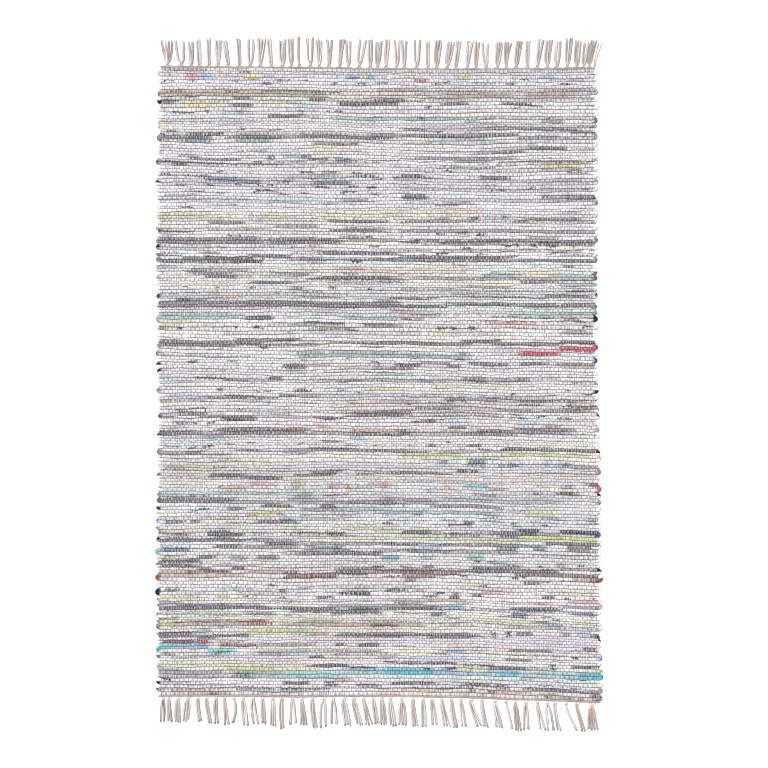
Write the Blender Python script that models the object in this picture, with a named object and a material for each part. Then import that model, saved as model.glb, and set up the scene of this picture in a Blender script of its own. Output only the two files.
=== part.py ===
"""Rag rug, 160 x 230 cm woven body with a knotted warp fringe at both ends.

The rug lies flat. Metres, +X across the width, +Y along the length, +Z up,
with the origin on the floor under the middle of the whole rug.

Pieces: the woven body (cotton warp over rag weft, one flat solid whose sides
are scalloped where each rag turns back), a heading of fine cord woven in at
each end to lock the rags, and at each end the warp ends knotted into tassels,
which are one comb joined by the loose web of yarn along the heading.
"""

import math

import bpy

MM = 0.001

# ------------------------------------------------------------ driving sizes, mm
BODY_THICKNESS = 6.5  # one rag between its warp floats
PICK = 11.4  # one rag weft to the next
LOOP = 2 * PICK  # a rag turns back at the same side every second pick
LOOP_OUT = 4.0  # how far a common turn stands out of the selvedge
LOOP_EXTRA = 5.0  # further reach of the fattest turns
LOOP_IN = 2.0  # nip between two turns

GAP = 0.35
END_STEPS = 64  # stations across an end
HEADING_WIDTH = 6.0
HEADING_THICKNESS = 4.5
HEADING_SET_IN = 5.0  # the heading stops short of the rag turns

WEB = 5.0  # loose warp between the heading and the knots
WEB_THICKNESS = 3.0

# ------------------------------------------------------- outline, mm, by station
# The sides: how far the selvedges lie from the middle, down the length.
SIDES = (
    # down the length, left selvedge, right selvedge
    dict(y=1160, left=-797, right=790),
    dict(y=950, left=-801, right=791),
    dict(y=700, left=-806, right=792),
    dict(y=400, left=-807, right=790),
    dict(y=100, left=-803, right=791),
    dict(y=-150, left=-802, right=798),
    dict(y=-300, left=-804, right=803),
    dict(y=-600, left=-806, right=803),
    dict(y=-900, left=-805, right=807),
    dict(y=-1170, left=-804, right=809),
)
# The ends: where the last rag lies, across the width.
ENDS = (
    dict(x=-820, top=1149.0, bottom=-1126.0),
    dict(x=-540, top=1146.5, bottom=-1124.5),
    dict(x=-280, top=1144.8, bottom=-1127.0),
    dict(x=0, top=1141.0, bottom=-1125.5),
    dict(x=260, top=1138.7, bottom=-1128.5),
    dict(x=550, top=1141.0, bottom=-1139.0),
    dict(x=830, top=1143.5, bottom=-1148.0),
)

# --------------------------------------------------------------------- fringe
# Every tassel, mm: where it leaves the heading, where its cut tips lie, its
# length from the web on, and its width at the tips.
TASSELS = dict(
    top=(
        dict(root=-766, tip=-769, length=86, wide=40),
        dict(root=-715, tip=-722, length=85, wide=33),
        dict(root=-680, tip=-682, length=85, wide=20),
        dict(root=-651, tip=-655, length=89, wide=14),
        dict(root=-615, tip=-617, length=95, wide=14),
        dict(root=-583, tip=-581, length=90, wide=24),
        dict(root=-546, tip=-559, length=88, wide=16),
        dict(root=-505, tip=-510, length=98, wide=14),
        dict(root=-467, tip=-464, length=92, wide=24),
        dict(root=-430, tip=-425, length=95, wide=29),
        dict(root=-390, tip=-398, length=95, wide=14),
        dict(root=-349, tip=-349, length=92, wide=24),
        dict(root=-318, tip=-320, length=97, wide=20),
        dict(root=-289, tip=-291, length=103, wide=12),
        dict(root=-249, tip=-249, length=98, wide=24),
        dict(root=-217, tip=-218, length=94, wide=24),
        dict(root=-182, tip=-177, length=93, wide=22),
        dict(root=-142, tip=-133, length=96, wide=18),
        dict(root=-110, tip=-111, length=94, wide=20),
        dict(root=-72, tip=-58, length=95, wide=25),
        dict(root=-32, tip=-31, length=97, wide=18),
        dict(root=-5, tip=2, length=92, wide=24),
        dict(root=26, tip=32, length=96, wide=18),
        dict(root=64, tip=65, length=96, wide=22),
        dict(root=91, tip=92, length=96, wide=20),
        dict(root=137, tip=140, length=97, wide=24),
        dict(root=178, tip=178, length=94, wide=14),
        dict(root=209, tip=218, length=98, wide=24),
        dict(root=247, tip=263, length=94, wide=25),
        dict(root=278, tip=291, length=94, wide=16),
        dict(root=320, tip=332, length=94, wide=22),
        dict(root=352, tip=357, length=90, wide=17),
        dict(root=389, tip=385, length=83, wide=24),
        dict(root=429, tip=437, length=89, wide=25),
        dict(root=461, tip=468, length=89, wide=24),
        dict(root=497, tip=510, length=92, wide=22),
        dict(root=539, tip=541, length=92, wide=15),
        dict(root=573, tip=588, length=99, wide=20),
        dict(root=610, tip=617, length=94, wide=24),
        dict(root=644, tip=653, length=91, wide=20),
        dict(root=682, tip=691, length=100, wide=25),
        dict(root=717, tip=723, length=94, wide=22),
        dict(root=742, tip=753, length=87, wide=20),
        dict(root=761, tip=779, length=94, wide=22),
        dict(root=780, tip=804, length=81, wide=16),
    ),
    bottom=(
        dict(root=-782, tip=-784, length=84, wide=18),
        dict(root=-762, tip=-757, length=84, wide=18),
        dict(root=-728, tip=-728, length=86, wide=22),
        dict(root=-693, tip=-699, length=81, wide=22),
        dict(root=-657, tip=-648, length=83, wide=14),
        dict(root=-626, tip=-610, length=92, wide=14),
        dict(root=-590, tip=-588, length=92, wide=16),
        dict(root=-561, tip=-551, length=96, wide=18),
        dict(root=-526, tip=-529, length=92, wide=13),
        dict(root=-492, tip=-482, length=96, wide=20),
        dict(root=-456, tip=-445, length=95, wide=22),
        dict(root=-423, tip=-416, length=93, wide=16),
        dict(root=-385, tip=-384, length=98, wide=22),
        dict(root=-352, tip=-350, length=108, wide=14),
        dict(root=-313, tip=-311, length=92, wide=24),
        dict(root=-280, tip=-273, length=93, wide=25),
        dict(root=-242, tip=-231, length=106, wide=18),
        dict(root=-200, tip=-202, length=103, wide=24),
        dict(root=-166, tip=-162, length=92, wide=24),
        dict(root=-128, tip=-112, length=96, wide=24),
        dict(root=-93, tip=-68, length=95, wide=22),
        dict(root=-57, tip=-35, length=95, wide=25),
        dict(root=-21, tip=-6, length=93, wide=18),
        dict(root=10, tip=19, length=95, wide=24),
        dict(root=39, tip=52, length=98, wide=24),
        dict(root=81, tip=86, length=96, wide=29),
        dict(root=122, tip=133, length=99, wide=22),
        dict(root=159, tip=164, length=100, wide=18),
        dict(root=191, tip=203, length=96, wide=20),
        dict(root=226, tip=248, length=99, wide=24),
        dict(root=262, tip=278, length=103, wide=18),
        dict(root=296, tip=308, length=99, wide=20),
        dict(root=331, tip=365, length=98, wide=18),
        dict(root=372, tip=389, length=99, wide=18),
        dict(root=418, tip=438, length=97, wide=25),
        dict(root=458, tip=484, length=97, wide=12),
        dict(root=494, tip=505, length=104, wide=22),
        dict(root=532, tip=534, length=100, wide=22),
        dict(root=572, tip=595, length=98, wide=24),
        dict(root=608, tip=624, length=100, wide=25),
        dict(root=637, tip=653, length=99, wide=14),
        dict(root=675, tip=716, length=98, wide=12),
        dict(root=715, tip=742, length=98, wide=16),
        dict(root=771, tip=776, length=92, wide=36),
    ),
)
# Along a tassel: share of its length, width, how much of the tips' width comes
# on top of that, and thickness, mm.
TASSEL_SECTIONS = (
    dict(at=0.05, width=8.0, spread=0.0, thick=4.0),  # yarns gather
    dict(at=0.10, width=12.0, spread=0.0, thick=7.0),  # knot
    dict(at=0.17, width=11.0, spread=0.0, thick=6.5),
    dict(at=0.22, width=8.5, spread=0.0, thick=4.5),  # under the knot
    dict(at=0.60, width=5.0, spread=0.5, thick=4.0),  # yarns spread
    dict(at=1.00, width=0.0, spread=1.0, thick=2.5),  # cut tips
)


def wobble(index, salt):
    """A fixed number in -1..1 for an index."""
    value = math.sin(index * 12.9898 + salt * 78.233) * 43758.5453
    return 2 * (value - math.floor(value)) - 1


def smooth(rows, key, column, at):
    """Value of a column at a station, eased between the table's rows."""
    rows = sorted(rows, key=lambda row: row[key])
    if at <= rows[0][key]:
        return rows[0][column]
    for low, high in zip(rows, rows[1:]):
        if at <= high[key]:
            t = (at - low[key]) / (high[key] - low[key])
            t = t * t * (3 - 2 * t)
            return low[column] + (high[column] - low[column]) * t
    return rows[-1][column]


def side(name, y):
    return smooth(SIDES, "y", name, y)


def end(name, x):
    return smooth(ENDS, "x", name, x)


def body_outline():
    """The rug's outline, anticlockwise from its bottom left corner."""
    points = []
    out = dict(left=-1, right=1)
    steps = END_STEPS
    for name, order in (("bottom", 1), ("right", 1), ("top", -1), ("left", -1)):
        if name in ("bottom", "top"):
            y0 = end(name, -800 if order > 0 else 800)
            x0, x1 = side("left", y0) + 4, side("right", y0) - 4
            stations = [x0 + (x1 - x0) * i / steps for i in range(steps + 1)]
            if order < 0:
                stations.reverse()
            points += [(x, end(name, x)) for x in stations]
            continue
        x = out[name] * 800
        low, high = end("bottom", x), end("top", x)
        turns = int((high - low - 8) / LOOP)
        run = (high - low - 8) / turns
        row = []
        for i in range(turns):
            reach = LOOP_OUT + LOOP_EXTRA * max(0.0, wobble(i, out[name] + 3)) ** 2
            y = low + 4 + i * run
            if i:
                row.append((side(name, y) - out[name] * LOOP_IN, y))
            for share in (0.28, 0.72):
                at = y + run * share
                row.append((side(name, at) + out[name] * reach * 0.8, at))
        points += row if order > 0 else row[::-1]
    return points


def heading_outline(name, inner, outer, set_in, stations=END_STEPS):
    """A strip along one end, between two distances from the last rag."""
    way = 1 if name == "top" else -1
    y0 = end(name, 0)
    x0, x1 = side("left", y0) + set_in, side("right", y0) - set_in
    xs = [x0 + (x1 - x0) * i / stations for i in range(stations + 1)]
    near = [(x, end(name, x) + way * inner) for x in xs]
    far = [(x, end(name, x) + way * outer) for x in xs]
    return near + far[::-1] if way > 0 else far + near[::-1]


def prism(name, outline, thickness, material):
    """A flat closed solid on the floor from an anticlockwise outline."""
    cx, cy = CENTRE
    count = len(outline)
    area = sum(
        a[0] * b[1] - b[0] * a[1] for a, b in zip(outline, outline[1:] + outline[:1])
    )
    if area < 0:
        outline = outline[::-1]
    verts = [((x - cx) * MM, (y - cy) * MM, 0.0) for x, y in outline]
    verts += [((x - cx) * MM, (y - cy) * MM, thickness * MM) for x, y in outline]
    faces = [tuple(range(count - 1, -1, -1)), tuple(range(count, 2 * count))]
    faces += [
        (i, (i + 1) % count, count + (i + 1) % count, count + i) for i in range(count)
    ]
    return add_object(name, verts, faces, material)


def tassel_ring(row, section):
    """Middle and half width of a tassel at one section."""
    x = row["root"] + (row["tip"] - row["root"]) * section["at"] ** 1.3
    return x, (section["width"] + section["spread"] * row["wide"]) / 2


def comb(name, material):
    """The fringe at one end: every tassel grows out of one web of yarn."""
    way = 1 if name == "top" else -1
    cx, cy = CENTRE
    inner = GAP + HEADING_WIDTH + GAP
    rows = TASSELS[name]
    verts, faces = [], []

    def add(x, y, z):
        verts.append(((x - cx) * MM, (y - cy) * MM, z * MM))
        return len(verts) - 1

    def quad(a, b, c, d):
        faces.append((a, b, c, d) if way > 0 else (d, c, b, a))

    stations = []
    for row in rows:
        for shift in (-8.0, 8.0):
            x = row["root"] + shift
            y = end(name, x) + way * inner
            stations.append(
                dict(
                    near=(add(x, y, 0), add(x, y, WEB_THICKNESS)),
                    far=(
                        add(x, y + way * WEB, 0),
                        add(x, y + way * WEB, WEB_THICKNESS),
                    ),
                )
            )
    for k, (a, b) in enumerate(zip(stations, stations[1:])):
        quad(a["near"][1], b["near"][1], b["far"][1], a["far"][1])
        quad(b["near"][0], a["near"][0], a["far"][0], b["far"][0])
        quad(a["near"][0], b["near"][0], b["near"][1], a["near"][1])
        if k % 2:
            quad(b["far"][0], a["far"][0], a["far"][1], b["far"][1])
    first, last = stations[0], stations[-1]
    quad(first["far"][0], first["near"][0], first["near"][1], first["far"][1])
    quad(last["near"][0], last["far"][0], last["far"][1], last["near"][1])

    for i, row in enumerate(rows):
        a, b = stations[2 * i]["far"], stations[2 * i + 1]["far"]
        before = (a[0], b[0], b[1], a[1])
        foot = end(name, row["root"]) + way * (inner + WEB)
        for section in TASSEL_SECTIONS:
            x, half = tassel_ring(row, section)
            y = foot + way * row["length"] * section["at"]
            ring = (
                add(x - half, y, 0),
                add(x + half, y, 0),
                add(x + half, y, section["thick"]),
                add(x - half, y, section["thick"]),
            )
            quad(before[3], before[2], ring[2], ring[3])
            quad(before[1], before[0], ring[0], ring[1])
            quad(before[0], before[3], ring[3], ring[0])
            quad(before[2], before[1], ring[1], ring[2])
            before = ring
        quad(before[3], before[2], before[1], before[0])
    return add_object("fringe_" + name, verts, faces, material)


def add_object(name, verts, faces, material):
    mesh = bpy.data.meshes.new(name)
    mesh.from_pydata(verts, [], faces)
    mesh.materials.append(material)
    mesh.validate()
    mesh.update()
    obj = bpy.data.objects.new(name, mesh)
    bpy.context.scene.collection.objects.link(obj)
    return obj


def cloth_material(name, colour, roughness):
    material = bpy.data.materials.new(name)
    material.use_nodes = True
    shader = material.node_tree.nodes["Principled BSDF"]
    shader.inputs["Base Color"].default_value = (*colour, 1.0)
    shader.inputs["Roughness"].default_value = roughness
    shader.inputs["Metallic"].default_value = 0.0
    return material


def whole_box():
    """Middle of the whole rug, so that it can be set on the origin."""
    xs, ys = zip(*body_outline())
    xs, ys = list(xs), list(ys)
    for name, way in (("top", 1), ("bottom", -1)):
        for row in TASSELS[name]:
            inner = GAP + HEADING_WIDTH + GAP
            foot = end(name, row["root"]) + way * (inner + WEB)
            ys.append(foot + way * row["length"])
            for section in TASSEL_SECTIONS:
                x, half = tassel_ring(row, section)
                xs += [x - half, x + half]
    return (min(xs) + max(xs)) / 2, (min(ys) + max(ys)) / 2


for old in list(bpy.data.objects):
    bpy.data.objects.remove(old, do_unlink=True)

CENTRE = whole_box()

rags = cloth_material("rag_weave", (0.73, 0.71, 0.71), 0.9)
cord = cloth_material("heading_cord", (0.47, 0.38, 0.32), 0.9)
yarn = cloth_material("fringe_yarn", (0.62, 0.57, 0.52), 0.9)

prism("rug_body", body_outline(), BODY_THICKNESS, rags)
for end_name in ("top", "bottom"):
    prism(
        "heading_" + end_name,
        heading_outline(end_name, GAP, GAP + HEADING_WIDTH, HEADING_SET_IN),
        HEADING_THICKNESS,
        cord,
    )
    comb(end_name, yarn)
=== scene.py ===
"""Rag rug: looks. Real rag wefts and real warp yarn in plain weave, selvedge
turns, woven headings and knotted warp fringes, on a pale studio floor."""

import math

import bpy
import numpy as np
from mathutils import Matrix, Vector


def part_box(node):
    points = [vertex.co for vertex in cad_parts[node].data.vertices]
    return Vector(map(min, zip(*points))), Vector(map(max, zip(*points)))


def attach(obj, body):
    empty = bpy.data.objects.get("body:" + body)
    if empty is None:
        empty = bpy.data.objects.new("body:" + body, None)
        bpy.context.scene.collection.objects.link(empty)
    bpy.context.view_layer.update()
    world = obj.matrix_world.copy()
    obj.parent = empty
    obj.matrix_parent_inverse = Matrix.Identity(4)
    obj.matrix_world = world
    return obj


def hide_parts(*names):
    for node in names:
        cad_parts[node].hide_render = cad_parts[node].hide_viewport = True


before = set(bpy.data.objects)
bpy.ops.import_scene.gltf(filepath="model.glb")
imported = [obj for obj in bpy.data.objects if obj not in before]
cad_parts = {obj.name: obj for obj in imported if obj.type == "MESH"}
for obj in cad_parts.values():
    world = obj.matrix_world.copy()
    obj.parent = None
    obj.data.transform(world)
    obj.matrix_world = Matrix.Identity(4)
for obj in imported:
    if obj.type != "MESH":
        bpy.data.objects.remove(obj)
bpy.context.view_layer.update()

MM = 0.001
SEED = 2304

# ------------------------------------------------------------------ real sizes
PICKS = 200  # rag wefts from end to end
PICK = 11.4  # their usual pitch, mm
ENDS = 572  # warp ends from side to side
RAG_LIFT = 3.2  # height of a rag's middle above the floor
RAG_THICK = 2.35  # half a rag's thickness
YARN_WHITE, YARN_TAN = 1.95, 2.35  # warp yarn's width
SECTIONS = 120  # stations along one rag
TURN_STEPS = 5  # stations round a turn
SET_IN = 14.5  # outermost warp end inside the selvedge line
TURN_IN = 10.0  # where a rag starts to turn, inside the same line
LINT_AND_REFLECTION = 0.55  # how far the warp takes on the look of the rag under it: lint, and painted reflected colour
RAG_PIECES, WARP_PIECES = 8, 2
GAP, HEADING, WEB, CAD_SET_IN = 0.35, 6.0, 5.0, 5.0

SIDES = (
    dict(y=1160, left=-797, right=790),
    dict(y=950, left=-801, right=791),
    dict(y=700, left=-806, right=792),
    dict(y=400, left=-807, right=790),
    dict(y=100, left=-803, right=791),
    dict(y=-150, left=-802, right=798),
    dict(y=-300, left=-804, right=803),
    dict(y=-600, left=-806, right=803),
    dict(y=-900, left=-805, right=807),
    dict(y=-1170, left=-804, right=809),
)
END_LINES = (
    dict(x=-820, top=1149.0, bottom=-1126.0),
    dict(x=-540, top=1146.5, bottom=-1124.5),
    dict(x=-280, top=1144.8, bottom=-1127.0),
    dict(x=0, top=1141.0, bottom=-1125.5),
    dict(x=260, top=1138.7, bottom=-1128.5),
    dict(x=550, top=1141.0, bottom=-1139.0),
    dict(x=830, top=1143.5, bottom=-1148.0),
)
# Every tassel, mm: where it leaves the heading, where its cut tips lie, how long
# and wide it is, how many cords it falls into, and the share of tan among them.
TASSELS = dict(
    top=(
        dict(root=-766, tip=-769, length=86, wide=40, legs=4, tan=0.6),
        dict(root=-715, tip=-722, length=85, wide=33, legs=2, tan=0),
        dict(root=-680, tip=-682, length=85, wide=20, legs=2, tan=0.3),
        dict(root=-651, tip=-655, length=89, wide=14, legs=2, tan=0),
        dict(root=-615, tip=-617, length=95, wide=14, legs=2, tan=0),
        dict(root=-583, tip=-581, length=90, wide=24, legs=3, tan=0),
        dict(root=-546, tip=-559, length=88, wide=16, legs=2, tan=0),
        dict(root=-505, tip=-510, length=98, wide=14, legs=2, tan=0.4),
        dict(root=-467, tip=-464, length=92, wide=24, legs=2, tan=0),
        dict(root=-430, tip=-425, length=95, wide=29, legs=3, tan=0),
        dict(root=-390, tip=-398, length=95, wide=14, legs=2, tan=0),
        dict(root=-349, tip=-349, length=92, wide=24, legs=3, tan=0),
        dict(root=-318, tip=-320, length=97, wide=20, legs=3, tan=0),
        dict(root=-289, tip=-291, length=103, wide=12, legs=1, tan=1),
        dict(root=-249, tip=-249, length=98, wide=24, legs=2, tan=0.5),
        dict(root=-217, tip=-218, length=94, wide=24, legs=3, tan=0),
        dict(root=-182, tip=-177, length=93, wide=22, legs=2, tan=0.4),
        dict(root=-142, tip=-133, length=96, wide=18, legs=2, tan=0.9),
        dict(root=-110, tip=-111, length=94, wide=20, legs=2, tan=0.2),
        dict(root=-72, tip=-58, length=95, wide=25, legs=2, tan=0),
        dict(root=-32, tip=-31, length=97, wide=18, legs=2, tan=0),
        dict(root=-5, tip=2, length=92, wide=24, legs=3, tan=0),
        dict(root=26, tip=32, length=96, wide=18, legs=2, tan=0),
        dict(root=64, tip=65, length=96, wide=22, legs=2, tan=0.2),
        dict(root=91, tip=92, length=96, wide=20, legs=2, tan=0.1),
        dict(root=137, tip=140, length=97, wide=24, legs=2, tan=0.6),
        dict(root=178, tip=178, length=94, wide=14, legs=2, tan=0.2),
        dict(root=209, tip=218, length=98, wide=24, legs=3, tan=0.2),
        dict(root=247, tip=263, length=94, wide=25, legs=3, tan=0.2),
        dict(root=278, tip=291, length=94, wide=16, legs=2, tan=0),
        dict(root=320, tip=332, length=94, wide=22, legs=2, tan=0),
        dict(root=352, tip=357, length=90, wide=17, legs=2, tan=1),
        dict(root=389, tip=385, length=83, wide=24, legs=2, tan=0),
        dict(root=429, tip=437, length=89, wide=25, legs=3, tan=0.1),
        dict(root=461, tip=468, length=89, wide=24, legs=3, tan=0.5),
        dict(root=497, tip=510, length=92, wide=22, legs=3, tan=0.8),
        dict(root=539, tip=541, length=92, wide=15, legs=2, tan=0),
        dict(root=573, tip=588, length=99, wide=20, legs=2, tan=0),
        dict(root=610, tip=617, length=94, wide=24, legs=3, tan=0),
        dict(root=644, tip=653, length=91, wide=20, legs=2, tan=0.5),
        dict(root=682, tip=691, length=100, wide=25, legs=3, tan=0),
        dict(root=717, tip=723, length=94, wide=22, legs=3, tan=0.7),
        dict(root=742, tip=753, length=87, wide=20, legs=2, tan=0.4),
        dict(root=761, tip=779, length=94, wide=22, legs=3, tan=0.7),
        dict(root=780, tip=804, length=81, wide=16, legs=2, tan=0.5),
    ),
    bottom=(
        dict(root=-782, tip=-784, length=84, wide=18, legs=2, tan=0.3),
        dict(root=-762, tip=-757, length=84, wide=18, legs=2, tan=0.8),
        dict(root=-728, tip=-728, length=86, wide=22, legs=3, tan=0),
        dict(root=-693, tip=-699, length=81, wide=22, legs=3, tan=0.1),
        dict(root=-657, tip=-648, length=83, wide=14, legs=2, tan=0.6),
        dict(root=-626, tip=-610, length=92, wide=14, legs=2, tan=0.2),
        dict(root=-590, tip=-588, length=92, wide=16, legs=2, tan=0.5),
        dict(root=-561, tip=-551, length=96, wide=18, legs=2, tan=0.4),
        dict(root=-526, tip=-529, length=92, wide=13, legs=1, tan=0),
        dict(root=-492, tip=-482, length=96, wide=20, legs=2, tan=0.2),
        dict(root=-456, tip=-445, length=95, wide=22, legs=2, tan=0.4),
        dict(root=-423, tip=-416, length=93, wide=16, legs=2, tan=0),
        dict(root=-385, tip=-384, length=98, wide=22, legs=3, tan=0.3),
        dict(root=-352, tip=-350, length=108, wide=14, legs=2, tan=0.7),
        dict(root=-313, tip=-311, length=92, wide=24, legs=2, tan=0.2),
        dict(root=-280, tip=-273, length=93, wide=25, legs=3, tan=0.1),
        dict(root=-242, tip=-231, length=106, wide=18, legs=3, tan=0.1),
        dict(root=-200, tip=-202, length=103, wide=24, legs=2, tan=0),
        dict(root=-166, tip=-162, length=92, wide=24, legs=2, tan=0),
        dict(root=-128, tip=-112, length=96, wide=24, legs=3, tan=0),
        dict(root=-93, tip=-68, length=95, wide=22, legs=3, tan=0.3),
        dict(root=-57, tip=-35, length=95, wide=25, legs=3, tan=0.1),
        dict(root=-21, tip=-6, length=93, wide=18, legs=2, tan=0.2),
        dict(root=10, tip=19, length=95, wide=24, legs=3, tan=0.1),
        dict(root=39, tip=52, length=98, wide=24, legs=3, tan=0.1),
        dict(root=81, tip=86, length=96, wide=29, legs=3, tan=0.2),
        dict(root=122, tip=133, length=99, wide=22, legs=3, tan=0),
        dict(root=159, tip=164, length=100, wide=18, legs=2, tan=0),
        dict(root=191, tip=203, length=96, wide=20, legs=2, tan=0.3),
        dict(root=226, tip=248, length=99, wide=24, legs=3, tan=0.1),
        dict(root=262, tip=278, length=103, wide=18, legs=2, tan=0.2),
        dict(root=296, tip=308, length=99, wide=20, legs=2, tan=0.1),
        dict(root=331, tip=365, length=98, wide=18, legs=2, tan=0.6),
        dict(root=372, tip=389, length=99, wide=18, legs=2, tan=0.1),
        dict(root=418, tip=438, length=97, wide=25, legs=3, tan=0),
        dict(root=458, tip=484, length=97, wide=12, legs=1, tan=0),
        dict(root=494, tip=505, length=104, wide=22, legs=3, tan=0.6),
        dict(root=532, tip=534, length=100, wide=22, legs=2, tan=0.1),
        dict(root=572, tip=595, length=98, wide=24, legs=2, tan=0),
        dict(root=608, tip=624, length=100, wide=25, legs=2, tan=0),
        dict(root=637, tip=653, length=99, wide=14, legs=2, tan=0.4),
        dict(root=675, tip=716, length=98, wide=12, legs=1, tan=0),
        dict(root=715, tip=742, length=98, wide=16, legs=2, tan=0.9),
        dict(root=771, tip=776, length=92, wide=36, legs=4, tan=1),
    ),
)


def wobble(index, salt):
    value = math.sin(index * 12.9898 + salt * 78.233) * 43758.5453
    return 2 * (value - math.floor(value)) - 1


def smooth(rows, key, column, at):
    """Value of a column, eased between the table's rows, for one or many."""
    rows = sorted(rows, key=lambda row: row[key])
    xs = np.array([row[key] for row in rows], float)
    vs = np.array([row[column] for row in rows], float)
    at = np.clip(np.asarray(at, float), xs[0], xs[-1])
    low = np.clip(np.searchsorted(xs, at, "right") - 1, 0, len(xs) - 2)
    t = (at - xs[low]) / (xs[low + 1] - xs[low])
    t = t * t * (3 - 2 * t)
    return vs[low] + (vs[low + 1] - vs[low]) * t


def side(name, y):
    return smooth(SIDES, "y", name, y)


def end(name, x):
    return smooth(END_LINES, "x", name, x)


# Where the tables' zero lies in the frame, read off the heading's solid.
head_low, head_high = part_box("heading_top")
ZERO_X = head_low[0] / MM - (float(side("left", float(end("top", 0)))) + CAD_SET_IN)
xs_probe = np.linspace(-780, 770, 400)
ZERO_Y = head_low[1] / MM - (float(end("top", xs_probe).min()) + GAP)


def srgb(r, g, b):
    """A colour as seen, 0 to 255, made linear."""
    c = np.array([r, g, b], float) / 255
    return np.where(c <= 0.04045, c / 12.92, ((c + 0.055) / 1.055) ** 2.4)


# ------------------------------------------------------------- colours of rags
COLOURS = {
    name: srgb(*value)
    for name, value in dict(
        white=(251, 250, 253),
        cream=(243, 237, 231),
        ivory=(245, 242, 237),
        rose=(245, 234, 240),
        lilac=(236, 231, 246),
        ice=(232, 240, 249),
        mint=(228, 242, 236),
        straw=(244, 240, 212),
        silver=(204, 203, 211),
        grey=(158, 156, 163),
        slate=(122, 124, 134),
        charcoal=(90, 87, 95),
        black=(24, 22, 28),
        brown=(130, 111, 103),
        tan=(182, 156, 136),
        olive=(134, 133, 92),
        red=(190, 84, 92),
        crimson=(206, 62, 102),
        pink=(228, 168, 191),
        orange=(222, 152, 104),
        yellow=(234, 218, 134),
        lime=(200, 216, 118),
        green=(112, 176, 148),
        sea=(150, 186, 184),
        teal=(98, 148, 152),
        turquoise=(112, 198, 210),
        sky=(146, 186, 222),
        steel=(128, 140, 164),
        blue=(82, 112, 178),
        navy=(48, 52, 104),
        plum=(106, 88, 110),
    ).items()
}
# The stuff that rags are torn from: how often each comes, how much of it
# shows on a rag's upper side, and how strongly it comes through to the back.
RAGS = (
    dict(face="white", weight=25, share=0.50, spread=0.30, through=0.0),
    dict(face="ivory", weight=7, share=0.50, spread=0.35, through=0.5),
    dict(face="cream", weight=4, share=0.50, spread=0.35, through=0.4),
    dict(face="rose", weight=9, share=0.50, spread=0.35, through=0.4),
    dict(face="lilac", weight=8, share=0.50, spread=0.35, through=0.4),
    dict(face="ice", weight=7, share=0.50, spread=0.35, through=0.4),
    dict(face="mint", weight=3, share=0.45, spread=0.35, through=0.4),
    dict(face="straw", weight=2, share=0.40, spread=0.35, through=0.3),
    dict(face="silver", weight=8, share=0.45, spread=0.45, through=0.30),
    dict(face="grey", weight=5, share=0.36, spread=0.50, through=0.16),
    dict(face="slate", weight=2.5, share=0.24, spread=0.50, through=0.12),
    dict(face="charcoal", weight=2, share=0.18, spread=0.48, through=0.12),
    dict(face="black", weight=0.6, share=0.02, spread=0.30, through=0.06),
    dict(face="brown", weight=1.0, share=0.16, spread=0.40, through=0.12),
    dict(face="plum", weight=0.5, share=0.12, spread=0.40, through=0.10),
    dict(face="lime", weight=0.4, share=0.10, spread=0.34, through=0.14),
    dict(face="sea", weight=1.0, share=0.16, spread=0.40, through=0.14),
    dict(face="steel", weight=1.0, share=0.16, spread=0.40, through=0.12),
    dict(face="blue", weight=0.3, share=0.00, spread=0.28, through=0.10),
    dict(face="pink", weight=0.5, share=0.10, spread=0.34, through=0.14),
    dict(face="yellow", weight=0.4, share=0.06, spread=0.32, through=0.12),
    dict(face="olive", weight=0.5, share=0.10, spread=0.34, through=0.12),
)
# What is printed on them: loose specks, slanting lines, or bars across.
PRINTS = (
    dict(ink="black", specks=0.0, lines=0.0, bars=0.0, weight=34),
    dict(ink="black", specks=0.45, lines=0.0, bars=0.0, weight=16),
    dict(ink="charcoal", specks=0.75, lines=0.0, bars=0.0, weight=10),
    dict(ink="slate", specks=0.2, lines=0.8, bars=0.0, weight=7),
    dict(ink="grey", specks=0.1, lines=0.0, bars=0.8, weight=10),
    dict(ink="straw", specks=0.0, lines=0.0, bars=0.9, weight=4),
    dict(ink="rose", specks=0.0, lines=0.0, bars=1.0, weight=4),
    dict(ink="plum", specks=0.5, lines=0.3, bars=0.0, weight=4),
    dict(ink="teal", specks=0.3, lines=0.0, bars=0.3, weight=3),
    dict(ink="pink", specks=0.5, lines=0.0, bars=0.3, weight=4),
    dict(ink="lime", specks=0.4, lines=0.0, bars=0.2, weight=2),
)

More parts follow.
